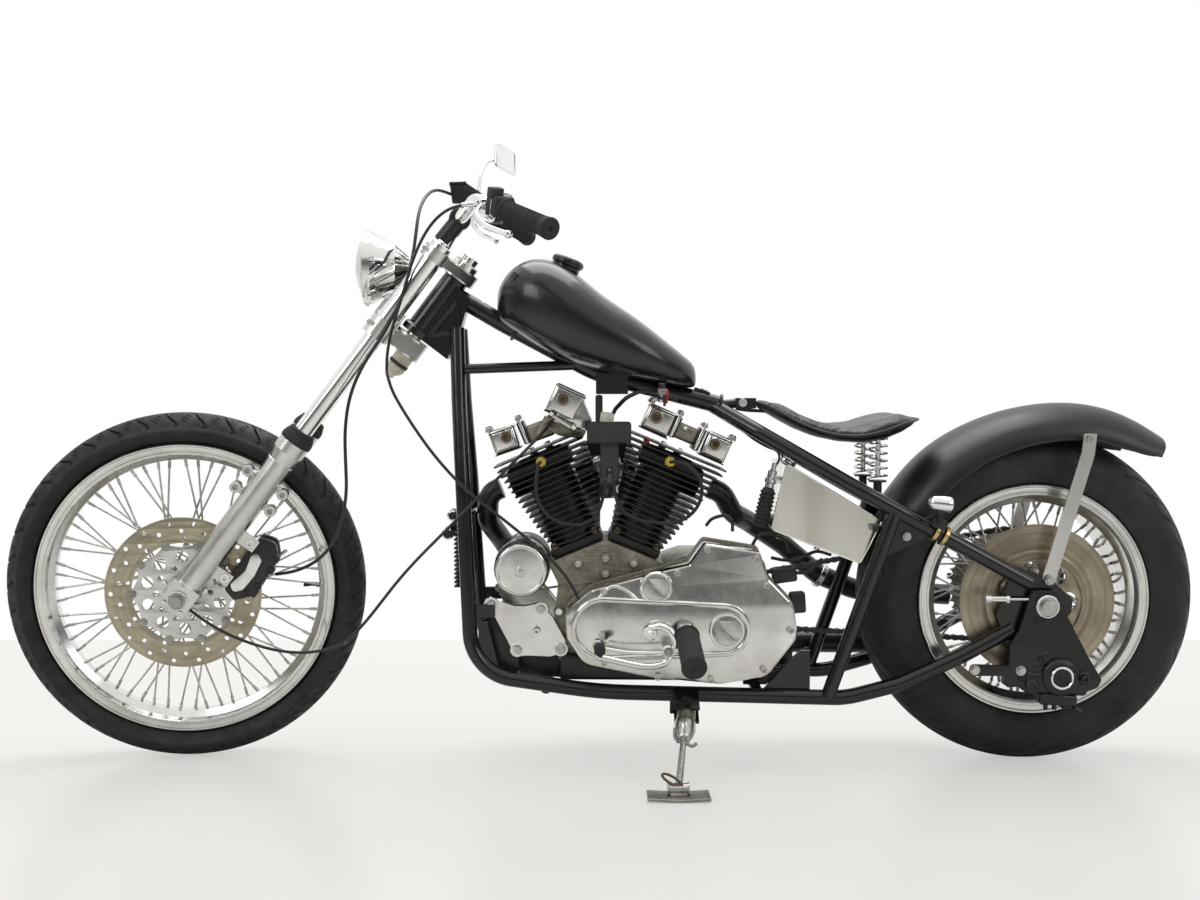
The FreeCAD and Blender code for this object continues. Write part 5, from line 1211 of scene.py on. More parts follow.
@dataclass
class Wheel:
    """A tyre with its tread, a laced rim, and what turns with them.

    A tread pitch is a list of cuts, each with its place and width as shares of the pitch, its depth in
    millimetres, and the band of the tread, from the middle at 0 to the shoulder at 1, in which it lies. The
    shoulder is given as a share of the half width, and cut_wall as a share of a cut's width. Where a cut is
    darkest_cut millimetres deep or more, it is painted black, standing for the shade in it.
    """

    name: str
    hub: Vector
    mount: Mount
    radius: float
    half_width: float
    drop: float
    rim_radius: float
    rim_half_width: float
    pitches: int
    slant: Callable[[float], float]
    cuts: Sequence[tuple[float, float, float, float, float]]
    finish: Finish
    shoulder: float = 0.86
    cut_wall: float = 0.14
    darkest_cut: float = 2.5

    def section(self) -> list[tuple[float, float, float]]:
        """The tyre's outline from bead to bead: radius, place across and share of the tread's half width."""
        edge = self.shoulder * self.half_width
        crown = (edge ** 2 + self.drop ** 2) / (2 * self.drop)
        low = self.rim_radius + 2
        bead = self.rim_half_width - 7
        wall = (self.radius + self.rim_radius) / 2 - 4
        half = []
        for step in range(15):
            across = edge * step / 14
            half.append((self.radius - crown + math.sqrt(crown ** 2 - across ** 2), across, step / 14))
        side = smooth_path([(self.radius - self.drop * 0.6, edge * 0.86, 0),
                            (self.radius - self.drop, edge, 0), (wall, self.half_width, 0),
                            (low + 6, bead + 9, 0), (low, bead, 0)], 7)
        half += [(spot.x, spot.y, 2.0) for spot in side[8:]]
        half.append((self.rim_radius - 12, bead, 2.0))
        return [(r, -y, share) for r, y, share in reversed(half)] + half[1:]

    def columns(self) -> list[tuple[float, dict[int, float]]]:
        """Places in one pitch, as shares, each with the cuts that it is in and their depth's share."""
        marks: dict[float, dict[int, float]] = {}
        for index, (start, width, *_rest) in enumerate(self.cuts):
            for share, level in ((0.0, 0.0), (self.cut_wall, 1.0), (1.0 - self.cut_wall, 1.0), (1.0, 0.0)):
                marks[start + width * share] = {index: level}
        for step in range(8):
            place = step / 8
            if not any(abs(place - other) < 0.03 for other in marks) and not any(
                    cut[0] < place < cut[0] + cut[1] for cut in self.cuts):
                marks[place] = {}
        return sorted(marks.items())

    def tyre(self) -> None:
        """The tyre, its cuts along the mesh's own lines."""
        rows, marks = [], []
        section = self.section()
        edge = self.shoulder * self.half_width
        for pitch in range(self.pitches):
            for place, within in self.columns():
                row = []
                for r, y, share in section:
                    turn = 2 * math.pi * (pitch + place) / self.pitches
                    turn += self.slant(min(abs(y) / edge, 1.0)) * max(0.0,
                                                                      min(1.0,
                                                                          (r - self.rim_radius - 20) / 20))
                    sunk = 0.0
                    for index, level in within.items():
                        depth, low, high = self.cuts[index][2:]
                        inside = min((share - low) / 0.05, (high - share) / 0.05, 1.0)
                        sunk = max(sunk, depth * level * max(inside, 0.0))
                    # The cut's share of full depth, kept on the vertex as "cut", sets how much painted shade
                    # colours it.
                    marks.append(min(sunk / self.darkest_cut, 1.0))
                    row.append(self.hub + Vector(((r - sunk) * math.cos(turn), y,
                                                  (r - sunk) * math.sin(turn))))
                rows.append(row)
        shape = Shape().grid(rows, wrap=False, close=True)
        layer = shape.mesh.verts.layers.float.new("cut")
        for vertex, mark in zip(shape.mesh.verts, marks):
            vertex[layer] = mark
        shape.become(
            f"{self.name}_tyre_tread", self.mount, self.finish, "tyre", (f"{self.name}_tyre",), 50)

    def valve(self, turn: float) -> None:
        """The valve, its stem through the rim."""
        way = Vector((math.cos(turn), 0, math.sin(turn)))
        foot = self.hub + way * (self.rim_radius - 28)
        shape = Shape().rod(4.2, foot, foot - way * 12, 0.8, 14)
        shape.rod(2.6, foot - way * 10, foot - way * 27, 0.4, 12).rod(3.6, foot - way * 26, foot - way * 36,
                                                                      0.8, 12)
        shape.become(f"{self.name}_valve", self.mount, RUBBER, "black_rubber")

    def steps(self) -> None:
        """The turned steps on both sides of the rim's flange."""
        edge = self.rim_radius
        outline = [(edge + 0.6, -3), (edge + 0.6, 2), (edge - 1, 3.4), (edge - 3.4, 3.4), (edge - 5, 0.8),
                   (edge - 7, 0.3), (edge - 14, 0.8), (edge - 15.5, 2.6), (edge - 18.5, 2.6),
                   (edge - 20, 0.2), (edge - 20, -1.6)]
        shape = Shape()
        for side in (-1, 1):
            shape.lathe(outline, self.hub + Y * (side * (self.rim_half_width + 0.2)), Y * side, 144,
                        close=True)
        shape.become(f"{self.name}_rim_steps", self.mount, POLISHED, "rim_aluminium")

    def nuts(self, spots: Sequence[tuple[Point, Point, float]], head: Head, label: str,
             finish: Finish) -> None:
        """Fasteners that turn with the wheel."""
        fasten(f"{self.name}_{label}", spots, head, self.mount, finish)


def around(hub: Vector, count: int, reach: float, across: float, way: Point, size: float | Point,
           phase: float = 0.0) -> list[tuple[Point, Point, float]]:
    """Spots for fasteners in a circle about a wheel's axis."""
    return [(hub + Vector((reach * math.cos(turn), across, reach * math.sin(turn))), way, size)
            for turn in turns(count, phase)]


@dataclass
class FrontWheel:
    """The tall front wheel with its floating brake disc."""

    disc_radius: float = 146.0
    band_inner: float = 97.0
    disc_place: float = -58.0
    disc_half: float = 2.5

    def build(self) -> None:
        """Builds tyre, disc and fasteners."""
        finish = Tyre("front_tyre_rubber", TYRE.light, TYRE.dark, smooth=0.5, rough=0.76, patch=11.0,
                      soil=0.3, soil_colour=TYRE.soil_colour, hub=tuple(Space.FRONT.at(*FRONT_HUB)),
                      tilt=axle_tilt(Space.FRONT))
        wheel = Wheel("front", FRONT_HUB, FRONT_TURNS, FRONT_RADIUS, 48, 22, 282.5, 33, 38,
                      lambda share: -0.1 * share ** 2.2, [(0.0, 0.13, 5.5, 0.05, 1.12),
                                                          (0.3, 0.11, 4.0, 0.36, 0.52),
                                                          (0.47, 0.11, 4.0, 0.52, 0.68),
                                                          (0.64, 0.11, 4.0, 0.68, 0.84),
                                                          (0.82, 0.08, 4.0, 0.3, 0.42)], finish)
        wheel.tyre()
        wheel.steps()
        wheel.valve(math.radians(-1))
        low, high = self.disc_place - self.disc_half, self.disc_place + self.disc_half
        hub = (FRONT_HUB.x, FRONT_HUB.z)
        band = [circle(self.disc_radius, hub, 96), circle(self.band_inner, hub, 72)]
        for ring, (count, phase) in enumerate(((18, 0.0), (18, 0.5), (9, 0.2))):
            band += hole_ring(count, 4.3, self.disc_radius - 11 - 15 * ring, hub, phase)
        Shape().plate(band, low, high, 0.5).become("front_disc_band", FRONT_TURNS, FRONT_BRONZE,
                                                   "disc_steel", ("front_disc",))
        star = []
        scallops, depth = 10, 3.4
        for turn in turns(8 * scallops):
            reach = self.band_inner - 5 + depth * math.cos(scallops * turn)
            star.append((hub[0] + reach * math.cos(turn), hub[1] + reach * math.sin(turn)))
        carrier = [star, circle(16, hub, 32)]
        carrier += hole_ring(10, 11.5, 70, hub, 0.5) + hole_ring(10, 5.5, 50, hub,
                                                                 0.0) + hole_ring(5, 5, 30, hub, 0.5)
        Shape().plate(carrier, low - 0.4, high + 0.4, 0.8).become(
            "front_disc_carrier", FRONT_TURNS, BRUSHED, "disc_steel")
        wheel.nuts(around(FRONT_HUB, 10, self.band_inner - 2, low - 0.4, -Y, (7.2, 7.2, 2.6)), Head.NUT,
                   "disc_buttons", CAST)
        wheel.nuts(around(FRONT_HUB, 5, 40, low - 0.4, -Y, 5.5, 0.1), Head.SOCKET, "disc_bolts", CHROME)
        dress(RIM_ALLOY, "front_rim")
        dress(STEEL, "front_spokes")


@dataclass
class RearWheel:
    """The wide rear wheel with its slotted brake disc and the chain's sprocket."""

    disc_radius: float = 146.0
    disc_place: float = -95.0

    def build(self) -> None:
        """Builds tyre, disc and fasteners."""
        finish = Tyre("rear_tyre_rubber", TYRE.light, TYRE.dark, smooth=0.48, rough=0.74, patch=9.0,
                      soil=0.25, soil_colour=TYRE.soil_colour, hub=tuple(Space.BIKE.at(*REAR_HUB)),
                      tilt=axle_tilt(Space.BIKE))
        wheel = Wheel("rear", REAR_HUB, REAR_TURNS, REAR_RADIUS, 87, 30, 218.5, 76, 34,
                      lambda share: -0.52 * (1 - share),
                      [(0.0, 0.22, 6.0, 0.25, 1.04), (0.55, 0.14, 5.0, -0.2, 0.42)], finish)
        wheel.tyre()
        wheel.steps()
        wheel.valve(math.radians(200))
        hub = (REAR_HUB.x, REAR_HUB.z)
        low, high = self.disc_place - 2.5, self.disc_place + 2.5
        band = [circle(self.disc_radius, hub, 96), circle(88, hub, 72)]
        Shape().plate(band, low, high, 0.5).become("rear_disc_band", REAR_TURNS, REAR_BRONZE,
                                                   "disc_steel", ("rear_disc",))
        centre = [circle(94, hub, 72), circle(21, hub, 32), *hole_ring(7, 17, 59, hub)]
        Shape().plate(centre, low + 1.2, high + 0.8, 0.8).become(
            "rear_disc_centre", REAR_TURNS, REAR_BRONZE, "disc_steel")
        step = Shape().lathe([(84, 0), (94, 0), (97, -1.6), (93, -3.2), (84, -3.2)],
                             REAR_HUB + Y * (low + 1.6), Y, 72, close=True)
        step.become("rear_disc_step", REAR_TURNS, REAR_BRONZE, "disc_steel")
        wheel.nuts(around(REAR_HUB, 5, 36, low + 1.2, -Y, 7), Head.SOCKET, "disc_bolts", STEEL)
        wheel.nuts(around(REAR_HUB, 5, 44, 102.5, Y, (8, 8, 4)), Head.HEX, "sprocket_bolts", STEEL)
        dress(RIM_ALLOY, "rear_rim")
        dress(STEEL, "rear_spokes", "rear_sprocket")


# Drive chain

@dataclass
class DriveChain:
    """A roller chain in one loop round both sprockets."""

    pitch: float = 15.875
    rear_teeth: int = 45
    front_teeth: int = 20
    place: float = 99.5
    small: Vector = field(default_factory=lambda: Vector((1092, 0, 288)))

    def spots(self) -> list[tuple[Vector, float]]:
        """The pins' places and the angle of the link that starts at each."""
        big_radius = self.pitch / 2 / math.sin(math.pi / self.rear_teeth)
        small_radius = self.pitch / 2 / math.sin(math.pi / self.front_teeth)
        span = REAR_HUB - self.small
        tilt = math.atan2(span.z, span.x)
        lean = math.asin((big_radius - small_radius) / span.length)
        top, bottom = tilt + math.pi / 2 + lean, tilt - math.pi / 2 - lean
        straight = math.sqrt(span.length ** 2 - (big_radius - small_radius) ** 2)
        wrap_big = (math.pi + 2 * lean) * big_radius
        wrap_small = (math.pi - 2 * lean) * small_radius
        total = 2 * straight + wrap_big + wrap_small
        count = round(total / self.pitch)
        count += count % 2
        pins = []

        def rim(hub: Vector, radius: float, angle: float) -> Vector:
            """A point on a sprocket's pitch circle."""
            return hub + Vector((radius * math.cos(angle), 0, radius * math.sin(angle)))

        for index in range(count):
            way = total * index / count
            if way < wrap_big:
                pins.append(rim(REAR_HUB, big_radius, bottom + way / big_radius))
                continue
            way -= wrap_big
            if way < straight:
                pins.append(rim(REAR_HUB, big_radius, top).lerp(rim(self.small, small_radius, top),
                                                                way / straight))
                continue
            way -= straight
            if way < wrap_small:
                pins.append(rim(self.small, small_radius, top + way / small_radius))
                continue
            way -= wrap_small
            pins.append(rim(self.small, small_radius, bottom).lerp(rim(REAR_HUB, big_radius, bottom),
                                                                   way / straight))
        out = []
        for here, after in zip(pins, pins[1:] + pins[:1]):
            step = after - here
            out.append((here, -math.atan2(step.z, step.x)))
        return out

    def link(self, places: Sequence[float], rollers: bool) -> bpy.types.Object:
        """One link: two waisted plates, and rollers or pin ends."""
        half = self.pitch / 2
        outline = fillet([(-6.4, -6.2, 6), (half, -3.6, 9), (self.pitch + 6.4, -6.2, 6),
                          (self.pitch + 6.4, 6.2, 6), (half, 3.6, 9), (-6.4, 6.2, 6)], steps=3)
        shape = Shape()
        for place in places:
            shape.plate([outline], place - 0.9, place + 0.9, 0.25)
        for pin in (0.0, self.pitch):
            if rollers:
                shape.lathe([(0, 0), (4.6, 0), (4.6, 9), (0, 9)], (pin, -4.5, 0), Y, 10)
            else:
                shape.lathe([(0, 0), (2.4, 0), (2.4, 17), (0, 17)], (pin, -8.5, 0), Y, 8)
        return loose_object(shape)

    def build(self) -> None:
        """Lays the links along the loop."""
        spots = self.spots()
        points = bpy.data.meshes.new("pins")
        points.from_pydata([tuple(spot[0]) for spot in spots], [], [])
        angles = points.attributes.new("angle", "FLOAT", "POINT")
        angles.data.foreach_set("value", [spot[1] for spot in spots])
        wide = self.link((-6.4, 6.4), False)
        narrow = self.link((-4.4, 4.4), True)
        chain = Finish("chain_steel", (0.2, 0.18, 0.15), (0.07, 0.06, 0.05), metallic=0.85, smooth=0.32,
                       rough=0.55, patch=60.0, grain=500.0, grain_depth=0.05, soil=0.6,
                       soil_colour=(0.03, 0.024, 0.018))
        data = LINKS.run(points, Wide_link=wide, Narrow_link=narrow, Material=chain.make())
        bpy.data.objects.remove(wide)
        bpy.data.objects.remove(narrow)
        polish("roller_chain", data, CHASSIS, Matrix.Translation((0, self.place, 0)), chain,
               ("drive_chain",), 30)


# Front end

@dataclass
class ForkEnd:
    """Legs, yokes, axle, dust collars and the front brake's caliper."""

    spread: float = 93.0
    collar_start: float = 366.2
    yoke_low: float = 614.0
    yoke_high: float = 791.0
    tube_top: float = 824.0

    def collars(self) -> None:
        """Rubber dust collars with a lip and two beads."""
        shape = Shape()
        outline = [(17.8, 0), (30.5, 0), (31, 2), (31, 9), (29.5, 11), (30, 13), (28.5, 15), (27, 20),
                   (25.5, 21), (25.5, 25), (23, 26), (17.8, 26)]
        for side in (-1, 1):
            shape.lathe(outline, (0, side * self.spread, self.collar_start), Z, 40, close=True)
        shape.become("dust_collars", LEGS, RUBBER, "black_rubber", ("fork_collars",))

    def fasteners(self) -> None:
        """Pinch and lug bolts, the caps on the tubes, the axle's ends and the bosses for a fender."""
        low, high, nuts = self.yoke_low + 19, self.yoke_high + 12, []
        for side in (-1, 1):
            nuts += [((-22, side * (self.spread + 21), low), (0, side, 0), 5.5),
                     ((-22, side * (self.spread + 20), high), (0, side, 0), 5.0)]
            nuts += [((spot, side * (self.spread + 23.5), -18), (0, side, 0), 4.4) for spot in (-18, 18)]
        fasten("fork_bolts", nuts, Head.SOCKET, LEGS, CHROME)
        caps = Shape()
        for side in (-1, 1):
            caps.lathe([(0, 0), (20.5, 0), (20.5, 5), (18, 8), (12, 8), (12, 12), (10.5, 13.5), (0, 13.5)],
                       (0, side * self.spread, self.tube_top - 6), Z, 32)
        caps.lathe([(16, 0), (25.5, 0), (25.5, 10), (23, 13), (16.5, 13), (16.5, 25), (14, 27), (0, 27)],
                   (STEM_OFFSET, 0, self.yoke_high + 24), Z, 36)
        caps.become("fork_caps", LEGS, CHROME, "chrome")
        ends, cores, bosses, bores = Shape(), Shape(), Shape(), Shape()
        for side in (-1, 1):
            face = (0, side * (self.spread + 23.2), 0)
            ends.lathe([(13, 0), (17.5, 0), (17.5, 3.6), (16, 5), (14, 5), (13, 4)], face, (0, side, 0), 40,
                       close=True)
            cores.lathe([(0, 0), (13, 0), (13, 1.5), (0, 1.5)], face, (0, side, 0), 32)
            cores.lathe([(0, 0), (8.6, 0), (8.6, 8), (7.4, 9.2), (5, 9.2), (4.4, 5), (0, 5)], face,
                        (0, side, 0), 6)
            for reach in (-39, 39):
                for place in (233, 272):
                    spot = (reach, side * (self.spread - 4), place)
                    bosses.lathe([(5.4, -12), (9.6, -12), (10.6, -11), (10.6, 11), (9.6, 12), (5.4, 12)],
                                 spot, Y, 32, close=True)
                    bores.lathe([(0, -8), (5.5, -8), (5.5, 8), (0, 8)], spot, Y, 20)
        ends.become("front_axle_rings", LEGS, CHROME, "chrome")
        cores.become("front_axle_nuts", LEGS, CAST, "spoke_steel")
        bosses.become("slider_bosses", LEGS, BRUSHED, "slider_aluminium")
        bores.become("slider_bores", LEGS, CAST, "spoke_steel")

    def leg_rings(self) -> None:
        """Rings where each leg meets its lugs."""
        shape = Shape()
        for side in (-1, 1):
            shape.lathe([(24.8, 0), (25.9, 0.6), (25.9, 3), (25, 4)], (0, side * self.spread, 30), Z, 36)
            shape.lathe([(24.8, 0), (26.2, 1), (26.2, 4), (24.8, 5)], (0, side * self.spread, 316), Z, 36)
        shape.become("slider_rings", LEGS, BRUSHED, "slider_aluminium")

    def canister(self) -> None:
        """The pale canister under the lower yoke, with its cap, spout and strap."""
        foot = (STEM_OFFSET + 8, 0, self.yoke_low - 0.2)
        body = Shape().lathe([(0, 0), (17, 0), (19, 2), (19, 14), (18.2, 15), (18.2, 28), (19, 30),
                              (17.5, 36), (12, 42), (8, 45), (7, 52), (4.5, 53), (0, 53)], foot, -Z, 40)
        body.become("canister_body", LEGS, PALE_PLASTIC, "pale_plastic", ("stem_canister",))
        strap = Shape().lathe([(18.4, 0), (20, 0.3), (20, 6.7), (18.4, 7)], (foot[0], 0, self.yoke_low - 25),
                              Z, 36)
        strap.become("canister_strap", LEGS, PLASTIC, "black_plastic")

    def caliper(self) -> None:
        """The front caliper: black halves, bright edge, pale insert and bolts."""
        outline = fillet([(50, 72, 8), (60, 56, 10), (84, 50, 12), (102, 70, 14), (110, 118, 20),
                          (105, 164, 14), (83, 186, 14), (54, 177, 8), (50, 150, 4)])
        shape = Shape()
        shape.plate([outline], -87.5, -66.5, 4).plate([outline], -49.5, -34.5, 3)
        shape.block((20, 24, 96), (100, -60, 118), spin(-4), 3)
        for x, z in ((98, 78), (104, 98), (106, 138), (101, 160)):
            shape.lathe([(0, 0), (7.4, 0), (7.4, 20), (6, 22), (3.4, 22), (3, 20), (0, 20)], (x, -68, z), -Y,
                        24)
        shape.become("caliper_body", LEGS, SATIN_BLACK, "black_metal", ("front_caliper",))
        insert = fillet([(60, 73, 9), (74, 63, 9), (86, 78, 9), (88, 112, 12), (82, 145, 9), (67, 152, 9),
                         (60, 141, 8), (68, 111, 16)])
        rim = fillet([(56, 69, 11), (74, 57, 11), (90, 76, 11), (92, 112, 14), (85, 150, 11), (65, 157, 11),
                      (56, 143, 10), (64, 111, 16)])
        Shape().plate([rim, insert], -89, -86, 0.8).become(
            "caliper_rim", LEGS, RUBBER, "black_rubber")
        Shape().plate([insert], -89.4, -86, 1.0).become(
            "caliper_insert", LEGS, RIM_ALLOY, "slider_aluminium")
        bolts = [((46, -87.5, place), (0, -1, 0), 8.5) for place in (78, 160)]
        fasten("caliper_bolts", bolts, Head.SOCKET, LEGS, CHROME)
        pistons = Shape()
        for place in (92, 130):
            pistons.lathe([(0, 0), (13, 0), (14, -1), (14, -4), (0, -4)], (84, -34, place), -Y, 28)
        pistons.rod(3.4, (104, -60, 168), (108, -60, 182), 0.8, 14)
        pistons.become("caliper_pistons", LEGS, STEEL, "chrome")

    def build(self) -> None:
        """Dresses the fork and adds its details."""
        dress(BRUSHED, "fork_sliders", "fork_yokes")
        dress(CHROME, "fork_tubes")
        dress(CAST, "front_axle")
        self.collars()
        self.fasteners()
        self.leg_rings()
        self.canister()
        self.caliper()


@dataclass
class Headlight:
    """A chrome bowl with a bead, a bright reflector, a bulb and fluted glass."""

    middle: Vector = field(default_factory=lambda: Vector((351, 0, 955)))
    radius: float = 70.0

    def build(self) -> None:
        """Builds the lamp; X points back into the bowl."""
        bead = Shape().lathe([(64.5, -1), (66, -3.5), (69, -4), (71.5, -1.5), (71.8, 3), (70.4, 7), (68, 8.5),
                              (64.5, 6)], self.middle, X, 64, close=True)
        bead.become("lamp_bead", FORK, CHROME, "chrome")
        bowl = Shape().lathe([(64.3, 1), (58, 12), (48, 24), (34, 33), (18, 38), (9, 39), (9, 34), (0, 34)],
                             self.middle, X, 56)
        bowl.become("lamp_reflector", FORK, MIRROR, "chrome")
        bulb = Shape().lathe([(0, 8), (6, 9), (8, 14), (8, 30), (5, 36), (0, 36)], self.middle, X, 24)
        bulb.become("lamp_bulb", FORK, GLASS, "lamp_glass")
        reach = 64.4
        dome = 20.0
        crown = (reach ** 2 + dome ** 2) / (2 * dome)
        outer = []
        for step in range(13):
            across = reach * step / 12
            outer.append((across, -(math.sqrt(crown ** 2 - across ** 2) - crown + dome) + 1.0))
        thick = 2.6
        inner = [(r * 0.985, place + thick) for r, place in reversed(outer)]
        glass = Shape().lathe([*outer, (reach, 4), *inner], self.middle, X, 64)
        glass.become("lamp_lens", FORK, GLASS, "lamp_glass", ("headlight_lens",))
        dress(CHROME, "headlight_shell")
        screw = [(self.middle + Vector((3, 0, -71)), (0, 0, -1), 4.0)]
        fasten("lamp_screw", screw, Head.DOME, FORK, CHROME)


@dataclass
class Bars:
    """Handlebar, grips, switches, levers, reservoir and mirror."""

    bend: Vector = field(default_factory=lambda: Vector((588, 182, 1070)))
    tip: Vector = field(default_factory=lambda: Vector((680.5, 353, 1022.5)))

    @property
    def way(self) -> Vector:
        """The right end's direction."""
        return (self.tip - self.bend).normalized()

    def along(self, distance: float) -> Vector:
        """A point on the right end, from its bend."""
        return self.bend + self.way * distance

    def grips(self) -> None:
        """Rubber grips with a flange, fine rings and a closed end."""
        length = (self.tip - self.along(53.5)).length
        shape = Shape()
        outline = [(13, 0), (20, 0), (20.5, 1.5), (20.5, 6), (18.5, 7.5), (16.8, 9), (16.8, length - 16),
                   (18.4, length - 14), (18.4, length - 1), (19.5, length), (19.5, length + 2),
                   (17.5, length + 4), (4, length + 4.5), (3.4, length + 1.5), (0, length + 1.5)]
        shape.lathe(outline, self.along(53.5), self.way, 40).mirror()
        shape.become("grip_bodies", FORK, RUBBER, "black_rubber", ("grips",))
        for side, label in ((1, "right"), (-1, "left")):
            start = self.along(53.5 + 13)
            way = self.way
            if side < 0:
                start, way = Vector((start.x, -start.y, start.z)), Vector((way.x, -way.y, way.z))
            ribs(f"grip_rings_{label}", start, way, 26, (length - 32) / 25, 16.9, 0.75, FORK,
                 RUBBER)

    def switches(self) -> None:
        """Split switch housings with clamps, buttons and a bright seam."""
        boxes = Shape()
        turn = turn_to(self.way) @ spin(90, "Z")
        place = self.along(36)
        up = Vector((-0.2, 0, 0.98))
        boxes.block((40, 42, 17), place + up * 4 - self.way * 9, turn, 4)
        boxes.block((37, 39, 13), place + up * 3 + self.way * 8, turn, 4)
        boxes.block((20, 26, 18), place + up * 27 + self.way * 4 + Vector((-6, 0, 0)), turn, 3)
        boxes.block((12, 14, 10), place + up * 16 - self.way * 10 + Vector((20, 0, 0)), turn, 2)
        boxes.rod(5, place + Vector((17, 0, 8)), place + Vector((25, 0, 10)), 1, 18)
        boxes.mirror()
        boxes.become("switch_boxes", FORK, PLASTIC, "black_plastic", ("hand_controls",))
        seams = Shape().block((38, 40, 1.6), place + up * 4 - self.way * 0.2, turn, 0.4)
        seams.lathe([(12.9, 0), (17.5, 0), (18.5, 1.5), (18.5, 12), (17.5, 13.5), (12.9, 13.5)],
                    self.along(6), self.way, 32, close=True)
        seams.block((20, 17, 12), self.along(13) + Vector((-20, 0, 2)), turn, 2.5)
        seams.mirror()
        seams.become("lever_clamps", FORK, CHROME, "chrome")
        screws = []
        for side in (-1, 1):
            for spot in (self.along(13) + Vector((-29, 0, 6)), self.along(13) + Vector((-29, 0, -3))):
                screws.append(((spot.x, side * spot.y, spot.z), (-1, 0, 0.1), 2.6))
        fasten("lever_clamp_screws", screws, Head.SOCKET, FORK, STEEL)

    def levers(self) -> None:
        """Flat levers that curve out and end in a ball."""
        shape = Shape()
        root = self.along(14) + Vector((-22, 0, 2))
        line = smooth_path([root, (560, 212, 1052), (566, 240, 1038), (578, 278, 1027), (594, 312, 1020),
                            (612, 344, 1013)], 7)
        shape.tube(line, lambda share: 7.5 - 3.2 * share, 14, 0.6)
        shape.lathe([(0, 0), (4, 0.6), (6.6, 3), (7, 6.5), (6.6, 10), (4, 12.4), (0, 13)],
                    Vector((609, 338, 1014)), Vector((18, 32, -7)), 24)
        shape.rod(6, root - Z * 9, root + Z * 9, 1.2, 20)
        shape.mirror()
        shape.become("levers", FORK, CHROME, "chrome")
        barrel = Shape().rod(5.2, (556, -188, 1068), (545, -186.5, 1068), 0.8, 18)
        barrel.rod(3.9, (546, -186.6, 1068), (536, -185, 1067), 0.6, 14)
        barrel.become("clutch_adjuster", FORK, CHROME, "chrome")

    def reservoir(self) -> None:
        """The brake's master cylinder with its lidded box."""
        turn = spin(6)
        outline = [(513, 1126, 3), (546, 1128, 3), (579, 1106, 2), (579, 1096, 2), (558, 1086, 4),
                   (518, 1086, 4)]
        shape = Shape().plate([fillet(outline)], 175, 217, 3)
        shape.plate([fillet([(512, 1128, 1.5), (547, 1130, 1.5), (547, 1125, 1.5), (512, 1123, 1.5)])], 172,
                    220, 1)
        shape.block((30, 22, 22), (560, 190, 1086), turn, 5)
        shape.rod(9, (548, 168, 1092), (552, 204, 1086), 1.5, 24)
        shape.become("brake_reservoir", FORK, SATIN_BLACK, "black_metal")
        screws = [((530 + dx, 196 + dy, 1128.6), (0, 0, 1), 2.6) for dx in (-12, 12) for dy in (-18, 18)]
        fasten("reservoir_screws", screws, Head.DOME, FORK, STEEL)

    def mirror_arm(self) -> None:
        """A rectangular mirror on a thin bent stem."""
        stem = Shape().tube(smooth_path([(572, 190, 1098), (573, 192, 1118), (577, 204, 1142),
                                         (586, 226, 1166), (598, 242, 1176), (620, 254, 1180)], 6), 3.6, 12)
        stem.rod(6.5, (572, 190, 1096), (572.5, 191, 1108), 1.2, 20)
        stem.rod(5.5, (610, 250, 1178.5), (624, 257, 1180), 1.0, 18)
        stem.become("mirror_stem", FORK, CHROME, "chrome")
        place = Matrix.Translation((631, 260, 1181)) @ spin(-27, "Z")
        place = place @ spin(-5) @ spin(-10, "X")
        face = Matrix(((0, 0, 1, 0), (1, 0, 0, 0), (0, 1, 0, 0), (0, 0, 0, 1)))
        outline = fillet([(-46, -25, 7), (46, -25, 7), (46, 25, 7), (-46, 25, 7)])
        inner = fillet([(-43, -22, 5), (43, -22, 5), (43, 22, 5), (-43, 22, 5)])
        back = Shape().plate([outline], -5, 0.4, 1.8, place @ face).plate([outline, inner], 0, 1.6, 0.5,
                                                                          place @ face)
        back.become("mirror_shell", FORK, CHROME, "chrome")
        Shape().plate([inner], 0.2, 1.2, 0.2, place @ face).become(
            "mirror_glass", FORK, MIRROR, "chrome")

    def risers(self) -> None:
        """Black riser sleeves with clamp tops and bolts."""
        shape = Shape()
        bolts = []
        for side in (-36, 36):
            foot, head = Vector((497, side, 1003)), Vector((533, side, 1048))
            shape.rod(17, foot, head - Vector((4, 0, 6)), 2.5, 32)
            shape.rod(21, head - Y * 13, head + Y * 13, 2.5, 32)
            bolts += [((head.x, side + dy, head.z + 20.5), (0, 0, 1), 3.6) for dy in (-7, 7)]
        shape.become("riser_sleeves", FORK, SATIN_BLACK, "black_metal")
        fasten("riser_bolts", bolts, Head.SOCKET, FORK, CHROME)

    def build(self) -> None:
        """Builds everything on the bars."""
        dress(CHROME, "handlebar")
        self.grips()
        self.switches()
        self.levers()
        self.reservoir()
        self.mirror_arm()
        self.risers()


# Engine

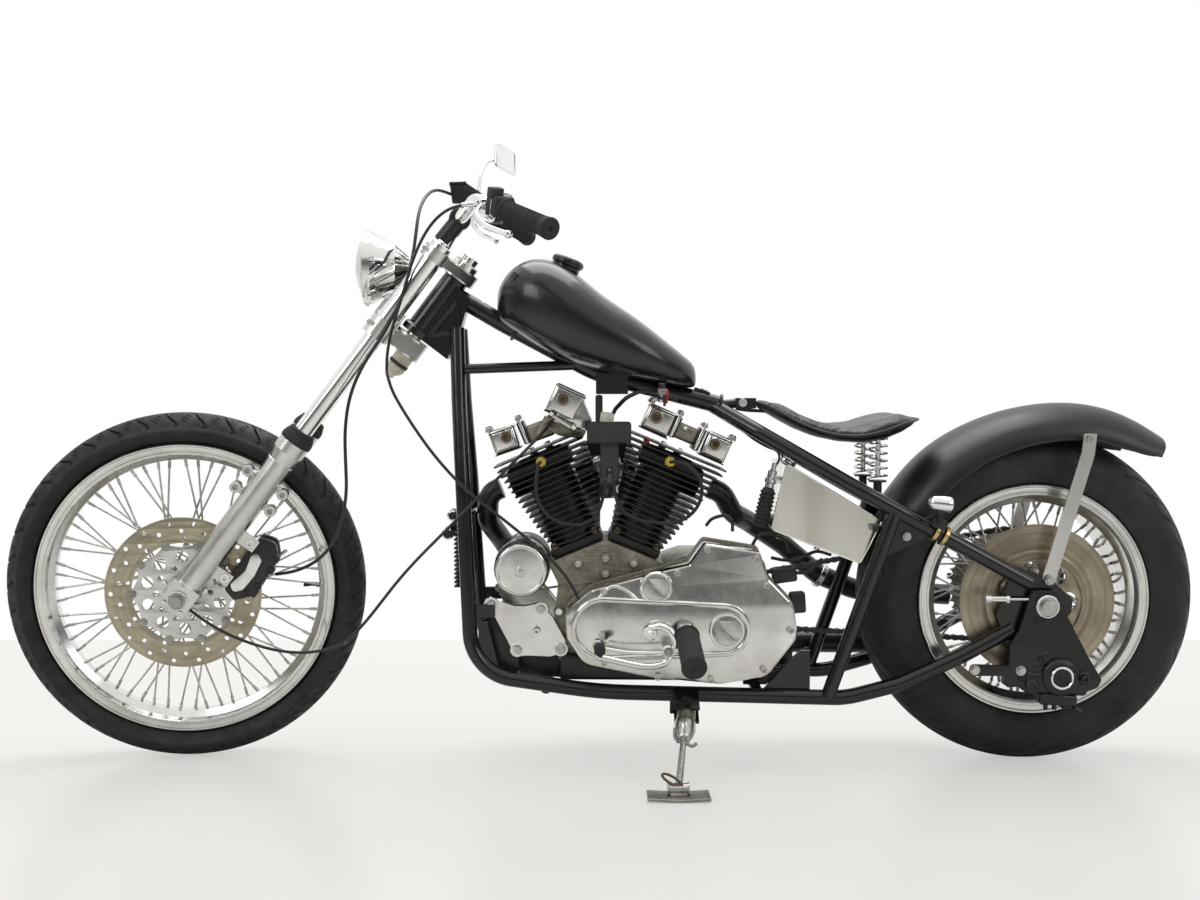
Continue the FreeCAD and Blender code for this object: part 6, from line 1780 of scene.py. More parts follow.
@dataclass
class Engine:
    """The V-twin: covers, cylinders, rocker boxes, ignition and fuel side.

    boxes are the rocker blocks: x, z, lean, width, height and the ends that bear acorn nuts. flanges have
    x, z, lean and height, and bridges x, z, lean and size.
    """

    crank: Vector = field(default_factory=lambda: Vector((812, 0, 290)))
    tilt: float = 22.5
    deck: float = 135.0
    head: float = 200.0
    face: float = -150.0
    shaft_back: float = 6.0
    block_width: float = 50.0
    boxes: Sequence[tuple[float, float, float, float, float, tuple[int, ...]]] = (
        (617, 625, -19, 50, 47, (-1,)), (736, 696, 25, 62, 58, ()), (915, 662, 24, 57, 50, (-1,)),
        (1026, 610, 24, 50, 49, (1,)))
    flanges: Sequence[tuple[float, float, float, float]] = (
        (654, 640, -23, 50), (947, 651, 26, 48), (993, 626, 25, 50))
    bridges: Sequence[tuple[float, float, float, Point]] = (
        (684, 641, -20, (56, 52, 34)), (961, 639, 23, (62, 52, 32)))
    outline: Sequence[Point] = (
        (740, 262, 30), (737, 316, 36), (786, 354, 30), (930, 392, 8), (966, 400, 10), (994, 440, 10),
        (1096, 424, 8), (1114, 374, 12), (1160, 326, 34), (1168, 262, 40), (1112, 190, 40), (1024, 176, 60),
        (900, 188, 80), (770, 214, 40))

    def over(self, side: int) -> Matrix:
        """The place of a cylinder drawn upright over the crank."""
        return Matrix.Translation(self.crank) @ spin(side * self.tilt)

    def stadium(self, grow: float) -> list[tuple[float, float]]:
        """The loop on the primary cover, wider at the crank's end."""
        out = []
        for centre, radius, start in (((808, 281), 53, 90), ((1030, 279), 43, -90)):
            for step in range(17):
                turn = math.radians(start + 180 * step / 16)
                out.append((centre[0] + (radius + grow) * math.cos(turn),
                            centre[1] + (radius + grow) * math.sin(turn)))
        return out

    def primary(self) -> None:
        """The left cover with its loop, two slotted plugs and screws."""
        cover = Shape().plate([fillet(self.outline, steps=8)], self.face, -95.2, 6)
        cover.plate([self.stadium(7)], self.face - 3.5, self.face + 2, 2.5)
        cover.plate([self.stadium(7), self.stadium(-3)], self.face - 8, self.face + 1, 3.4)
        cover.tube(smooth_path([(800, -151, 338), (822, -152, 360), (850, -152, 352), (872, -152, 334)], 6),
                   3.5, 12)
        cover.lathe([(26, 0), (31, -1), (31, 3), (29, 6), (27, 8), (25, 8), (25, 0)],
                    (905, self.face + 2, 358), -Y, 48, close=True)
        cover.lathe([(29, 0), (34, -1), (34, 3), (32, 8), (28, 8)], (1036, self.face, 278), -Y, 48,
                    close=True)
        cover.become("primary_shell", CHASSIS, POLISHED, "engine_aluminium", ("primary_cover",), 45)
        plugs = Shape()
        for place, size, depth in (((905, 358), 24.5, 7.5), ((1036, 278), 27.5, 9.5)):
            slot = fillet([(place[0] - size * 0.75, place[1] + size * 0.52, 1),
                           (place[0] + size * 0.62, place[1] - size * 0.66, 1),
                           (place[0] + size * 0.75, place[1] - size * 0.52, 1),
                           (place[0] - size * 0.62, place[1] + size * 0.66, 1)])
            low = self.face - depth
            plugs.plate([circle(size, place, 48), slot], low, low + 3.5, 0.7)
            plugs.plate([circle(size - 0.5, place, 48)], low + 3.2, low + 7, 0.3)
        plugs.become("primary_plugs", CHASSIS, STEEL, "engine_aluminium")
        middle = Vector((950, 290))
        screws = []
        for spot in ((1000, 431), (1092, 413), (1112, 363), (1157, 278), (1107, 203), (1008, 183), (907, 188),
                     (806, 216), (745, 294), (944, 388), (806, 352)):
            inner = Vector(spot) + (middle - Vector(spot)).normalized() * 3
            screws.append(((inner.x, self.face + 0.5, inner.y), (0, -1, 0), 6.2))
        fasten("primary_screws", screws, Head.SOCKET, CHASSIS)

    def rockers(self) -> None:
        """Bright rocker boxes, each with a mounting flange, a shaft's end and acorn nuts, on cast bridges."""
        bright, rough, dark, acorns, caps = Shape(), Shape(), Shape(), [], []
        for x, z, lean, wide, tall, nut_sides in self.boxes:
            spot = Matrix.Translation((x, 0, z)) @ spin(lean)
            block = Shape().block((wide, 62, tall), (0, 0, 0), None, 5)
            block.block((wide - 8, 64.4, tall - 10), (0, 0, -1), None, 3)
            bright.take(block, spot)
            lines = Shape().block((wide + 1.6, 63.6, 1.6), (0, 0, tall / 2 - 5.5), None, 0.4)
            lines.block((wide + 2, 64, 2.4), (0, 0, -tall / 2 - 1.4), None, 0.6)
            dark.take(lines, spot)
            for across in (-1, 1):
                back = math.copysign(self.shaft_back, -lean) * wide / self.block_width
                middle = Vector((back, across * 32.2, tall * 0.08))
                ring = Shape().lathe([(9.6, 0), (13.4, 0), (13.4, 1.8), (12.2, 3), (10.4, 3), (9.6, 2)],
                                     middle, (0, across, 0), 36, close=True)
                bright.take(ring, spot)
                caps.append((spot @ middle, spot.to_3x3() @ Vector((0, across, 0)), 9.5))
                for ahead in nut_sides:
                    top = Vector((ahead * (wide / 2 - 2), across * 27, tall / 2 - 1))
                    acorns.append((spot @ top, spot.to_3x3() @ Z, 6.4))
        for x, z, lean, tall in self.flanges:
            spot = Matrix.Translation((x, 0, z)) @ spin(lean)
            bright.take(Shape().block((7, 68, tall), (0, 0, 0), None, 2.4), spot)
            dark.take(Shape().block((3, 66, tall - 6), (5, 0, -2), None, 1).block(
                (3, 66, tall - 6), (-5, 0, -2), None, 1), spot)
            for across in (-1, 1):
                acorns.append((spot @ Vector((0, across * 30, tall / 2 - 1)), spot.to_3x3() @ Z, 5.6))
        for x, z, lean, size in self.bridges:
            rough.block(size, (x, 0, z), spin(lean), 6)
        wedge = fillet([(704, 664, 6), (726, 654, 4), (776, 640, 6), (787, 662, 6), (768, 708, 5),
                        (742, 690, 4)])
        rough.plate([fillet([(690, 648, 5), (724, 632, 4), (768, 626, 5), (776, 642, 5), (712, 668, 6)])],
                    -29, 29, 3)
        bright.plate([wedge], -31, 31, 4)
        bright.rod(4.2, (708, -44, 673), (750, -47, 646), 1, 18).rod(7, (704, -43, 675), (712, -44, 670), 1.5,
                                                                     6)
        bright.rod(7.4, (746, -46, 649), (755, -47, 643), 1.5, 6)
        rough.tube([Vector((704, -43, 668)), Vector((694, -44, 652)), Vector((684, -45, 636))],
                   lambda share: 8.4 - 2.6 * share, 16)
        bright.become("rocker_covers", CHASSIS, POLISHED, "engine_aluminium", ("rocker_boxes",))
        rough.become("rocker_bridges", CHASSIS, AGED_CAST, "engine_aluminium")
        dark.become("rocker_gaskets", CHASSIS, FIN_BLACK, "cylinder_black")
        fasten("rocker_nuts", acorns, Head.ACORN, CHASSIS)
        fasten("rocker_shaft_ends", caps, Head.SOCKET, CHASSIS, RUSTY)
        small = [((x, -26, z), (0, -1, 0.3), 4.6) for x, z in ((690, 652), (966, 646))]
        fasten("bridge_screws", small, Head.DOME, CHASSIS, CHROME)

    def fins(self) -> None:
        """Barrels and heads of the cylinders with thin fins that grow towards the top."""
        barrels = Shape()
        spots = []
        for side in (-1, 1):
            place = self.over(side)
            barrels.take(Shape().lathe([(0, 0), (47, 0), (47, 196), (45, 199), (0, 199)], (0, 0, self.deck),
                                       Z, 48), place)
            barrels.take(Shape().block((104, 104, 17), (0, 0, self.deck + 9.5), None, 4), place)
            barrels.take(Shape().block((128, 104, 30), (side * 6, 0, self.deck + self.head - 22), None, 8),
                         place)
            port = self.deck + self.head - 38
            barrels.take(Shape().rod(26, (side * 40, 30, port), (side * 78, 30, port), 2, 36), place)
            for step in range(17):
                rise = self.deck + 24 + 11.4 * step
                # How far the fins reach to the outside and into the V, by height over the crank
                if side < 0:
                    outer, inner = 51 + 0.23 * (rise - 170), min(90, 0.414 * rise - 11)
                else:
                    outer, inner = 61 + 0.3 * (rise - 177), 57 + 0.2 * (rise - 178)
                half, middle = (outer + inner) / 2, side * (outer - inner) / 2
                wide = 58 if step < 2 else 66
                spots.append((place @ Vector((middle, 0, rise)), place.to_3x3() @ Z, (half, wide, 1.0)))
        fin = Shape().plate([fillet([(-1, -1, 0.34), (1, -1, 0.34), (1, 1, 0.34), (-1, 1, 0.34)], steps=6)],
                            -1.3, 1.3, 0.01, Matrix.Identity(4))
        barrels.become("cylinder_barrels", CHASSIS, FIN_BLACK, "cylinder_black", ("cylinders",))
        sow("cylinder_fins", spots, fin, CHASSIS, FIN_BLACK)

    def cylinders(self) -> None:
        """Plug bases and yellow boots, base nuts, and pushrod tubes on the right."""
        self.fins()
        boots, tubes, nuts, plugs = Shape(), Shape(), [], Shape()
        for side in (-1, 1):
            place = self.over(side)
            port = self.deck + self.head - 16
            boots.take(Shape().lathe([(0, 0), (8.5, 0), (9.5, 3), (9.5, 10), (7.5, 13), (0, 13)],
                                     (0, -66, port), (0.05, -1, 0.02), 24), place)
            plugs.take(Shape().lathe([(0, 0), (10.5, 0), (10.5, 8), (6, 9), (6, 16), (0, 16)], (0, -54, port),
                                     -Y, 6), place)
            for ahead in (-40, 42):
                for across in (-1, 1):
                    nuts.append((place @ Vector((ahead, across * 47, self.deck + 17)), place.to_3x3() @ Z,
                                 8.6))
            for ahead in (-16, 18):
                top = place @ Vector((ahead, 76, self.deck + self.head + 12))
                low = Vector((812 + side * 40 + ahead * 0.9, 94, 386))
                way = (top - low).normalized()
                tubes.rod(8.2, low, top, 0.5, 24)
                tubes.rod(10.5, low, low + way * 16, 1.5, 24).rod(10.2, low + way * 70, low + way * 78, 1.2,
                                                                  24)
                tubes.rod(10.2, top - way * 18, top - way * 2, 1.5, 24)
        boots.become("plug_boots", CHASSIS, YELLOW, "black_rubber")
        plugs.become("spark_plugs", CHASSIS, STEEL, "spoke_steel")
        tubes.become("pushrod_tubes", CHASSIS, CHROME, "chrome")
        fasten("base_nuts", nuts, Head.ACORN, CHASSIS, RUSTY)
        lifters = Shape()
        for side in (-1, 1):
            lifters.block((52, 34, 26), (812 + side * 40, 92, 378), spin(side * 14), 4)
        lifters.become("lifter_blocks", CHASSIS, CAST, "engine_aluminium")
        sleeve = Shape().rod(5, (889, -50, 630), (892, -54, 616), 1.5, 16)
        sleeve.become("red_sleeve", CHASSIS, RED, "black_plastic")

    def lower(self) -> None:
        """Dark castings under the engine, two of them partly a dark stand-in for the shade under the cases,
        its rear bracket's plate, and the wires behind the cover.
        """
        dark = Shape()
        # Painted shade in part: these two black plates fill the region where the cases' underside lies in
        # shade.
        dark.plate([fillet([(728, 222, 10), (900, 196, 10), (1004, 182, 8), (1004, 170, 4), (724, 172, 8)])],
                   -92, 60, 3)
        dark.plate([fillet([(640, 214, 6), (716, 214, 8), (740, 200, 6), (740, 170, 4), (646, 178, 8)])], -70,
                   -62, 2)
        dark.plate([fillet([(578, 286, 6), (606, 300, 6), (634, 244, 8), (648, 214, 6), (646, 178, 8),
                            (612, 190, 20), (582, 240, 10)])], -88, -82, 1.5)
        dark.plate([fillet([(1090, 166, 5), (1140, 190, 8), (1176, 224, 8), (1198, 238, 6), (1200, 162, 5)])],
                   -92, -86, 1.5)
        dark.block((46, 26, 30), (1150, -84, 372), spin(-8), 5)
        dark.block((30, 24, 40), (1176, -80, 318), spin(-4), 5)
        wires = (((1090, -70, 424), (1104, -76, 446), (1128, -80, 448), (1150, -78, 436), (1162, -70, 412)),
                 ((1128, -60, 400), (1160, -66, 396), (1190, -66, 404), (1216, -60, 412), (1244, -50, 404)),
                 ((1150, -62, 384), (1180, -70, 372), (1206, -66, 380), (1226, -60, 398)),
                 ((1004, -60, 462), (1016, -66, 476), (1040, -70, 482), (1052, -70, 470), (1054, -66, 452)))
        for wire in wires:
            dark.tube(smooth_path(wire, 6), 3.2, 10)
        dark.become("engine_dark_parts", CHASSIS, SATIN_BLACK, "black_metal")
        bolts = [((x, -90, z), (0, -1, 0), 5.4) for x, z in ((1030, 178), (868, 190), (1062, 180))]
        fasten("sump_bolts", bolts, Head.HEX, CHASSIS)

    def cases(self) -> None:
        """The cast cases, their ribs between the cylinders, the gear cover's trim and screws."""
        dress(AGED_CAST, "engine_cases")
        ribbing = Shape()
        for step in range(6):
            z = 424 - 9 * step
            half = 14 + 13 * step
            ribbing.block((2 * half, 5, 2.6), (812, -72.5, z), None, 1.1)
        ribbing.block((300, 6, 4), (840, -73, 364), spin(-8), 1.5)
        for spot in ((760, 392), (812, 402), (812, 372), (866, 392), (724, 300), (726, 250)):
            ribbing.lathe([(0, 0), (11, 0), (10, -5), (8.5, -6.5), (0, -6.5)], (spot[0], -71, spot[1]), Y,
                          28)
        ribbing.become("case_ribs", CHASSIS, AGED_CAST, "engine_aluminium", crease=30)
        bolts = [((x, -77.5, z), (0, -1, 0), 6.0)
                 for x, z in ((760, 392), (812, 402), (812, 372), (866, 392))]
        outline = ((748, 230), (744, 316), (790, 372), (842, 376), (914, 322), (918, 244), (866, 216),
                   (800, 216))
        bolts += [((x, 131.5, z), (0, 1, 0), 5.2) for x, z in outline]
        fasten("case_bolts", bolts, Head.SOCKET, CHASSIS)
        gear = fillet([(752, 236, 24), (748, 314, 24), (792, 366, 18), (842, 370, 18), (908, 318, 18),
                       (912, 246, 24), (864, 220, 24)])
        inner = [(812 + (x - 830) * 0.78 + 14, 292 + (z - 292) * 0.78) for x, z in gear]
        trim = Shape().plate([gear], 131, 136, 2).plate([inner], 135, 139.5, 2.2)
        trim.lathe([(0, 0), (34, 0), (33, 5), (29, 7), (0, 7)], (790, 138, 292), Y, 48)
        trim.become("gear_cover_trim", CHASSIS, POLISHED, "engine_aluminium")

    def generator(self) -> None:
        """The round generator cap with its centre screw, and the strap round its body."""
        hub = Vector((653, 0, 383))
        drum = Shape().lathe([(0, -74), (48, -74), (51.8, -70), (51.8, 90), (50, 94), (48.5, 95), (48.5, 99)],
                             hub, -Y, 64)
        drum.become("generator_drum", CHASSIS, FIN_BLACK, "black_metal", ("generator",))
        cap = Shape().lathe([(49, 98), (49.4, 100), (49.4, 108), (48, 111), (45, 112.6), (43, 112.6),
                             (41.5, 111.6), (30, 112.8), (12, 113.6), (11, 112), (8, 112), (7, 114),
                             (0, 114)], hub, -Y, 72)
        cap.become("generator_cap", CHASSIS, POLISHED, "engine_aluminium")
        strap = Shape().lathe([(52, 40), (53.6, 40.5), (53.6, 57.5), (52, 58)], hub, -Y, 64)
        strap.block((24, 18, 12), hub + Vector((2, -49, 55)), None, 2)
        strap.become("generator_strap", CHASSIS, STEEL, "black_metal")
        fasten("generator_screws", [(hub + Vector((0, -113, 0)), (0, -1, 0), 5.0),
                                    (hub + Vector((-6, -58, 54)), (0, -1, 0), 4.5),
                                    (hub + Vector((30, -93, 44)), (0, -1, 0), 4.0)], Head.HEX, CHASSIS)

    def mounts(self) -> None:
        """The bright front plates with their bolts."""
        dress(POLISHED, "engine_plates")
        left = ((597, 317, 8.5), (690, 308, 8.5), (645, 231, 8.5), (727, 232, 9.0), (682, 268, 6.5))
        spots = [((x, -98.2, z), (0, -1, 0), size) for x, z, size in left]
        spots += [((x, 100.4, z), (0, 1, 0), 8.0) for x, z, size in left[:4]]
        fasten("plate_bolts", spots, Head.HEX, CHASSIS)
        bosses = Shape()
        for x, z, size in left[:4]:
            bosses.lathe([(0, 0), (14.5, 0), (13.5, -1.8), (0, -1.8)], (x, -97.2, z), Y, 36)
        bosses.lathe([(3, 0), (6, 0), (6, -12), (3, -12)], (682, -100, 268), Y, 20, close=True)
        bosses.become("plate_bosses", CHASSIS, POLISHED, "engine_aluminium")

    def ignition(self) -> None:
        """The coil with its moulded ribs, towers, terminal and bracket."""
        shape = Shape().block((84, 48, 40), (819, -58, 640), None, 5)
        for step in range(5):
            shape.block((3, 50, 34), (787 + 16 * step, -58, 637), None, 1)
        shape.block((36, 34, 52), (820, -54, 598), None, 5)
        for x in (809, 831):
            shape.lathe([(0, 0), (9, 0), (8, 16), (6.5, 26), (0, 26)], (x, -62, 578), -Z, 24)
        shape.rod(7, (800, -40, 655), (800, -12, 708), 1, 20)
        shape.become("coil_body", CHASSIS, PLASTIC, "black_plastic", ("ignition_coil",))
        plug = Shape().block((26, 20, 20), (815, -58, 668), spin(8), 3)
        plug.become("coil_plug", CHASSIS, PALE_PLASTIC, "pale_plastic")

    def intake(self) -> None:
        """The carburettor and its round air cleaner on the right."""
        body = Shape().block((56, 58, 60), (815, 108, 554), None, 8)
        body.lathe([(0, 0), (22, 0), (24, 3), (24, 24), (20, 30), (0, 30)], (815, 108, 530), -Z, 40)
        body.rod(16, (812, 2, 573.5), (815, 82, 560), 1, 32)
        body.rod(9, (780, 96, 566), (772, 96, 566), 2, 20).lathe([(26, 0), (29, 0), (29, 6), (26, 6)],
                                                                 (815, 78, 560), Y, 32, close=True)
        for side in (-1, 1):
            start = self.over(side) @ Vector((-side * 51.95, 10, 262))
            body.rod(16, start, (812, 10, 573.5), 0.6, 28)
            body.rod(19, start, start.lerp(Vector((812, 10, 573.5)), 0.3), 1.2, 28)
        body.become("carburettor_body", CHASSIS, CAST, "engine_aluminium", ("carburettor",))
        hub = Vector((815, 136, 562))
        plate = Shape().lathe([(0, 0), (63, 0), (66, 3), (66, 8), (62, 11), (60, 12)], hub, Y, 72)
        plate.become("air_cleaner_plate", CHASSIS, SATIN_BLACK, "black_metal")
        cleaner = Shape().lathe([(60, 31), (65, 32), (66, 36), (64, 42), (57, 46), (46, 47.2), (30, 48),
                                 (14, 48.2), (12, 50), (0, 50)], hub, Y, 72)
        cleaner.become("air_cleaner", CHASSIS, CHROME, "chrome")
        mesh = Shape()
        for turn in turns(72):
            place = Matrix.Translation((815 + 60 * math.cos(turn), 157, 562 + 60 * math.sin(turn)))
            mesh.block((1.6, 21, 5), (0, 0, 0), place @ Matrix.Rotation(-turn, 4, "Y"), 0.4)
        mesh.become("air_filter_pleats", CHASSIS, RUBBER, "black_rubber")
        fasten("air_cleaner_bolts", [((815, 185.6, 562), (0, 1, 0), 7.0), ((785, 183.4, 562), (0, 1, 0), 3.4),
                                     ((845, 183.4, 562), (0, 1, 0), 3.4)], Head.HEX, CHASSIS, CHROME)

    def build(self) -> None:
        """Builds the engine's details."""
        self.primary()
        self.rockers()
        self.cylinders()
        self.lower()
        self.cases()
        self.generator()
        self.mounts()
        self.ignition()
        self.intake()


# Seat

@dataclass
class Seat:
    """A sprung leather pad with a welt and stitches on a steel pan.

    Rows are x, top, bottom and half width of the pad.
    """

    rows: Sequence[tuple[float, float, float, float]] = ((1104, 704, 692, 13), (1110, 706, 687, 27),
                                                         (1124, 705, 678, 41), (1148, 693, 664, 54),
                                                         (1180, 674, 647, 70), (1214, 660, 633, 89),
                                                         (1252, 652, 625, 108), (1292, 655, 622, 121),
                                                         (1330, 667, 628, 124), (1364, 676, 641, 113),
                                                         (1388, 677, 652, 90), (1402, 673, 659, 60),
                                                         (1407, 670, 662, 34))
    spring_place: float = 70.0
    dish: float = 7.0
    voxel: float = 0.0055
    pressure: float = 4.0
    swell_limit: float = 0.004
    frames: int = 14

    def ring(self, row: tuple[float, float, float, float], count: int = 28) -> list[Vector]:
        """One cross section, rounded at the sides and a little hollow on top."""
        x, top, bottom, half = row
        middle, tall = (top + bottom) / 2, (top - bottom) / 2
        out = []
        for turn in turns(count):
            across, up = math.cos(turn), math.sin(turn)
            y = half * math.copysign(abs(across) ** 0.75, across)
            z = middle + tall * math.copysign(abs(up) ** 0.8, up)
            hollow = self.dish * max(0.0, 1 - (y / (0.75 * half)) ** 2) * min(1.0, half / 90)
            out.append(Vector((x, y, z - (hollow if up > 0 else -0.2 * hollow))))
        return out

    def swell(self, data: bpy.types.Mesh) -> bpy.types.Mesh:
        """Lets the pad swell as padded leather does, each point by no more than a few millimetres."""
        holder = bpy.data.objects.new("pad", data)
        bpy.context.scene.collection.objects.link(holder)
        remesh = holder.modifiers.new("remesh", "REMESH")
        remesh.mode = "VOXEL"
        remesh.voxel_size = self.voxel
        plain = bpy.data.meshes.new_from_object(holder.evaluated_get(bpy.context.evaluated_depsgraph_get()))
        holder.modifiers.clear()
        holder.data = plain
        before = [vertex.co.copy() for vertex in plain.vertices]
        cloth = holder.modifiers.new("cloth", "CLOTH")
        cloth.settings.use_pressure = True
        cloth.settings.uniform_pressure_force = self.pressure
        cloth.settings.effector_weights.gravity = 0.0
        scene = bpy.context.scene
        for step in range(self.frames):
            scene.frame_set(step + 1)
        done = bpy.data.meshes.new_from_object(holder.evaluated_get(bpy.context.evaluated_depsgraph_get()))
        for vertex, start in zip(done.vertices, before):
            way = vertex.co - start
            if way.length > self.swell_limit:
                vertex.co = start + way.normalized() * self.swell_limit
        scene.frame_set(1)
        bpy.data.objects.remove(holder)
        return done

    def pad(self) -> None:
        """The leather pad."""
        shape = Shape().grid([self.ring(row) for row in self.rows], caps=True)
        shape.mesh.transform(Space.BIKE.matrix)
        bmesh.ops.recalc_face_normals(shape.mesh, faces=shape.mesh.faces[:])
        data = shape.data("seat_pad")
        data = self.swell(data)
        for face in data.polygons:
            face.use_smooth = True
        piece = settle("seat_pad", data, Body.CHASSIS, LEATHER, ("seat",))
        smooth = piece.modifiers.new("subdivision", "SUBSURF")
        smooth.levels = smooth.render_levels = 1

    def edge(self) -> list[Vector]:
        """The welt's line round the pad."""
        side = [Vector((x + (3 if index > 9 else 0), -half - 0.5, (top + bottom) / 2 - 2))
                for index, (x, top, bottom, half) in enumerate(self.rows)]
        other = [Vector((spot.x, -spot.y, spot.z)) for spot in reversed(side)]
        return smooth_path([*side, *other, side[0]], 5)

    def trim(self) -> None:
        """The welt, its stitches and the pan."""
        line = self.edge()
        Shape().tube(line, 2.6, 10).become("seat_welt", CHASSIS, LEATHER, "seat_leather")
        stitch = Shape().rod(0.5, (0, 0, -1.8), (0, 0, 1.8), 0.2, 6)
        spots = []
        for here, after in zip(line, line[1:]):
            step = after - here
            count = max(1, round(step.length / 6))
            for index in range(count):
                spot = here + step * (index / count)
                if not 1124 < spot.x < 1378:
                    continue
                inward = Vector((0, -math.copysign(3.4, spot.y), 0))
                spots.append((spot + inward + Vector((0, 0, 6.5)), step, 1.0))
        sow("seat_stitches", spots, stitch, CHASSIS, RUBBER)
        pan = Shape()
        rows = []
        for x, top, bottom, half in self.rows[1:-1]:
            rows.append([Vector((x, half * 0.93 * share, bottom + 2 + 3 * share * share))
                         for share in (step / 6 - 1 for step in range(13))])
        low = [[spot - Vector((0, 0, 3.5)) for spot in row] for row in rows]
        pan.grid([row + list(reversed(under)) for row, under in zip(rows, low)], caps=True)
        pan.become("seat_pan", CHASSIS, SATIN_BLACK, "black_metal")

    def carriers(self) -> None:
        """Springs, posts, and the hinge at the nose."""
        posts = Shape()
        studs = Shape()
        for side in (-1, 1):
            y = side * self.spring_place
            posts.rod(8, (1328, y, 519.5), (1328, y, 549), 1.5, 24).rod(17, (1328, y, 546), (1328, y, 549.5),
                                                                        0.8, 32)
            studs.rod(17, (1328, y, 629), (1328, y, 632), 0.8, 32).rod(5, (1328, y, 556), (1328, y, 640), 0.8,
                                                                       16)
            name = "left" if side < 0 else "right"
            spring(f"seat_spring_{name}", (1328, y, 551), (1328, y, 628), 17.2, 2.1, 5.5, CHASSIS,
                   CHROME, ("seat_springs",) if side < 0 else ())
        posts.become("seat_spring_posts", CHASSIS, SATIN_BLACK, "black_metal")
        studs.become("seat_spring_studs", CHASSIS, CHROME, "chrome")
        bolts = [((1078, side * 13.5, 695), (0, side, 0), 7.0) for side in (-1, 1)]
        fasten("seat_hinge_bolts", bolts, Head.HEX, CHASSIS, CHROME)
        hinge = Shape().plate([fillet([(1066, 686, 5), (1090, 684, 4), (1128, 680, 3), (1128, 675, 1),
                                       (1088, 677, 4), (1066, 680, 3)])], -13, 13, 1)
        hinge.become("seat_hinge", CHASSIS, SATIN_BLACK, "black_metal")

    def build(self) -> None:
        """Builds the seat."""
        self.pad()
        self.trim()
        self.carriers()


# Tank, oil tank and fender

@dataclass
class Tanks:
    """Fuel tank fittings, the bright oil tank and the ribbed boot beside it."""

    cap: Vector = field(default_factory=lambda: Vector((737, 0, 957)))
    cap_tilt: float = 21.0

    def fuel(self) -> None:
        """The tank's cap, its bottom seam tab and the tap."""
        dress(TANK_BLACK, "fuel_tank")
        way = Vector((math.sin(math.radians(self.cap_tilt)), 0, math.cos(math.radians(self.cap_tilt))))
        cap = Shape().lathe([(0, -6), (25, -6), (27, -4), (27, 2), (30, 4), (30.5, 6), (30.5, 13), (29, 16),
                             (25, 18), (10, 19.2), (0, 19.4)], self.cap, way, 56)
        for turn in turns(24):
            place = Matrix.Translation(self.cap) @ turn_to(way) @ Matrix.Rotation(turn, 4, "Z")
            cap.block((1.6, 3.4, 6.5), (0, 0, 0), place @ Matrix.Translation((30.4, 0, 9.5)), 0.4)
        cap.become("filler_cap", CHASSIS, TANK_BLACK, "black_paint", ("tank_cap",))
        tab = Shape().plate([fillet([(984, 726, 4), (1014, 716, 6), (1016, 712, 4), (984, 712, 3)])], -11, 11,
                            1)
        tab.become("tank_tab", CHASSIS, GLOSS_BLACK, "black_paint")
        fasten("tank_tab_bolt", [((1005, 0, 719), (0.25, 0, 1), 7.5)], Head.DOME, CHASSIS, CHROME)
        lever = Shape().block((5, 3, 26), (929, -62, 708), spin(6), 1)
        lever.become("tap_lever", CHASSIS, RED, "black_plastic")
        body = Shape().lathe([(0, 0), (7, 0), (8, 2), (8, 14), (10, 16), (10, 26), (7, 28), (7, 36), (0, 36)],
                             (920, -52, 697), Z, 28)
        body.rod(6, (920, -50, 712), (920, -66, 712), 1, 24).rod(4.6, (911, -52, 704), (900, -52, 700), 0.8,
                                                                 16)
        body.become("tap_body", CHASSIS, STEEL, "chrome")

    def oil(self) -> None:
        """The oil tank's trims: rolled seams, a filler, a drain and a sight line."""
        dress(TANK_CHROME, "oil_tank")
        trim = Shape()
        for y in (-92.6, 92.6):
            outline = [(1151, 584), (1335, 474), (1294, 392), (1123, 458)]
            spots = [Vector((x, y, z)) for x, z in outline]
            middle = sum(spots, Vector()) / 4
            spots = [spot.lerp(middle, 0.012) for spot in spots]
            for here, after in zip(spots, spots[1:] + spots[:1]):
                trim.tube([here.lerp(after, 0.03), here.lerp(after, 0.5), here.lerp(after, 0.97)], 1.2, 8)
        trim.lathe([(0, 0), (19, 0), (20, 2), (20, 10), (17, 12), (0, 13)], (1170, 52, 571), (0.5, 0.1, 0.86),
                   40)
        trim.rod(7, (1146, -60, 452), (1142, -60, 436), 1, 6).rod(6, (1240, 70, 414), (1236, 70, 398), 1, 20)
        trim.become("oil_tank_trim", CHASSIS, CHROME, "chrome")

    def boot(self) -> None:
        """The ribbed rubber boot with its bright top and clamp."""
        low, high = Vector((1105.6, -70, 460)), Vector((1122.3, -70, 535))
        way = (high - low).normalized()
        outline = [(0, 0), (12, 0)]
        for step in range(9):
            outline += [(17 - 0.2 * step, 4 + 8 * step), (13.2 - 0.2 * step, 8 + 8 * step)]
        outline += [(10.5, 76), (0, 76)]
        Shape().lathe(outline, low, way, 36).become("ribbed_boot", CHASSIS, RUBBER, "black_rubber",
                                                    ("cable_boot",), 25)
        top = Shape().rod(9, high, high + way * 34, 1, 28).rod(11.5, high + way * 9, high + way * 19, 1.5,
                                                               28)
        top.rod(5, high + way * 32, high + way * 48, 1, 20)
        top.block((14, 10, 14), high + way * 14 + Vector((15, 0, 2)), None, 2)
        top.become("boot_fitting", CHASSIS, CHROME, "chrome")
        hose = smooth_path([high + way * 40 + Vector((3, 2, 0)), (1142, -66, 590), (1138, -60, 604),
                            (1120, -52, 612), (1096, -40, 626), (1064, -26, 652)], 8)
        Shape().tube(hose, 2.2, 10).become("boot_line", CHASSIS, RUBBER, "black_rubber")

    def build(self) -> None:
        """Builds the tanks' details."""
        self.fuel()
        self.oil()
        self.boot()
        dress(TAP_HOSE, "fuel_hose", "petcock")


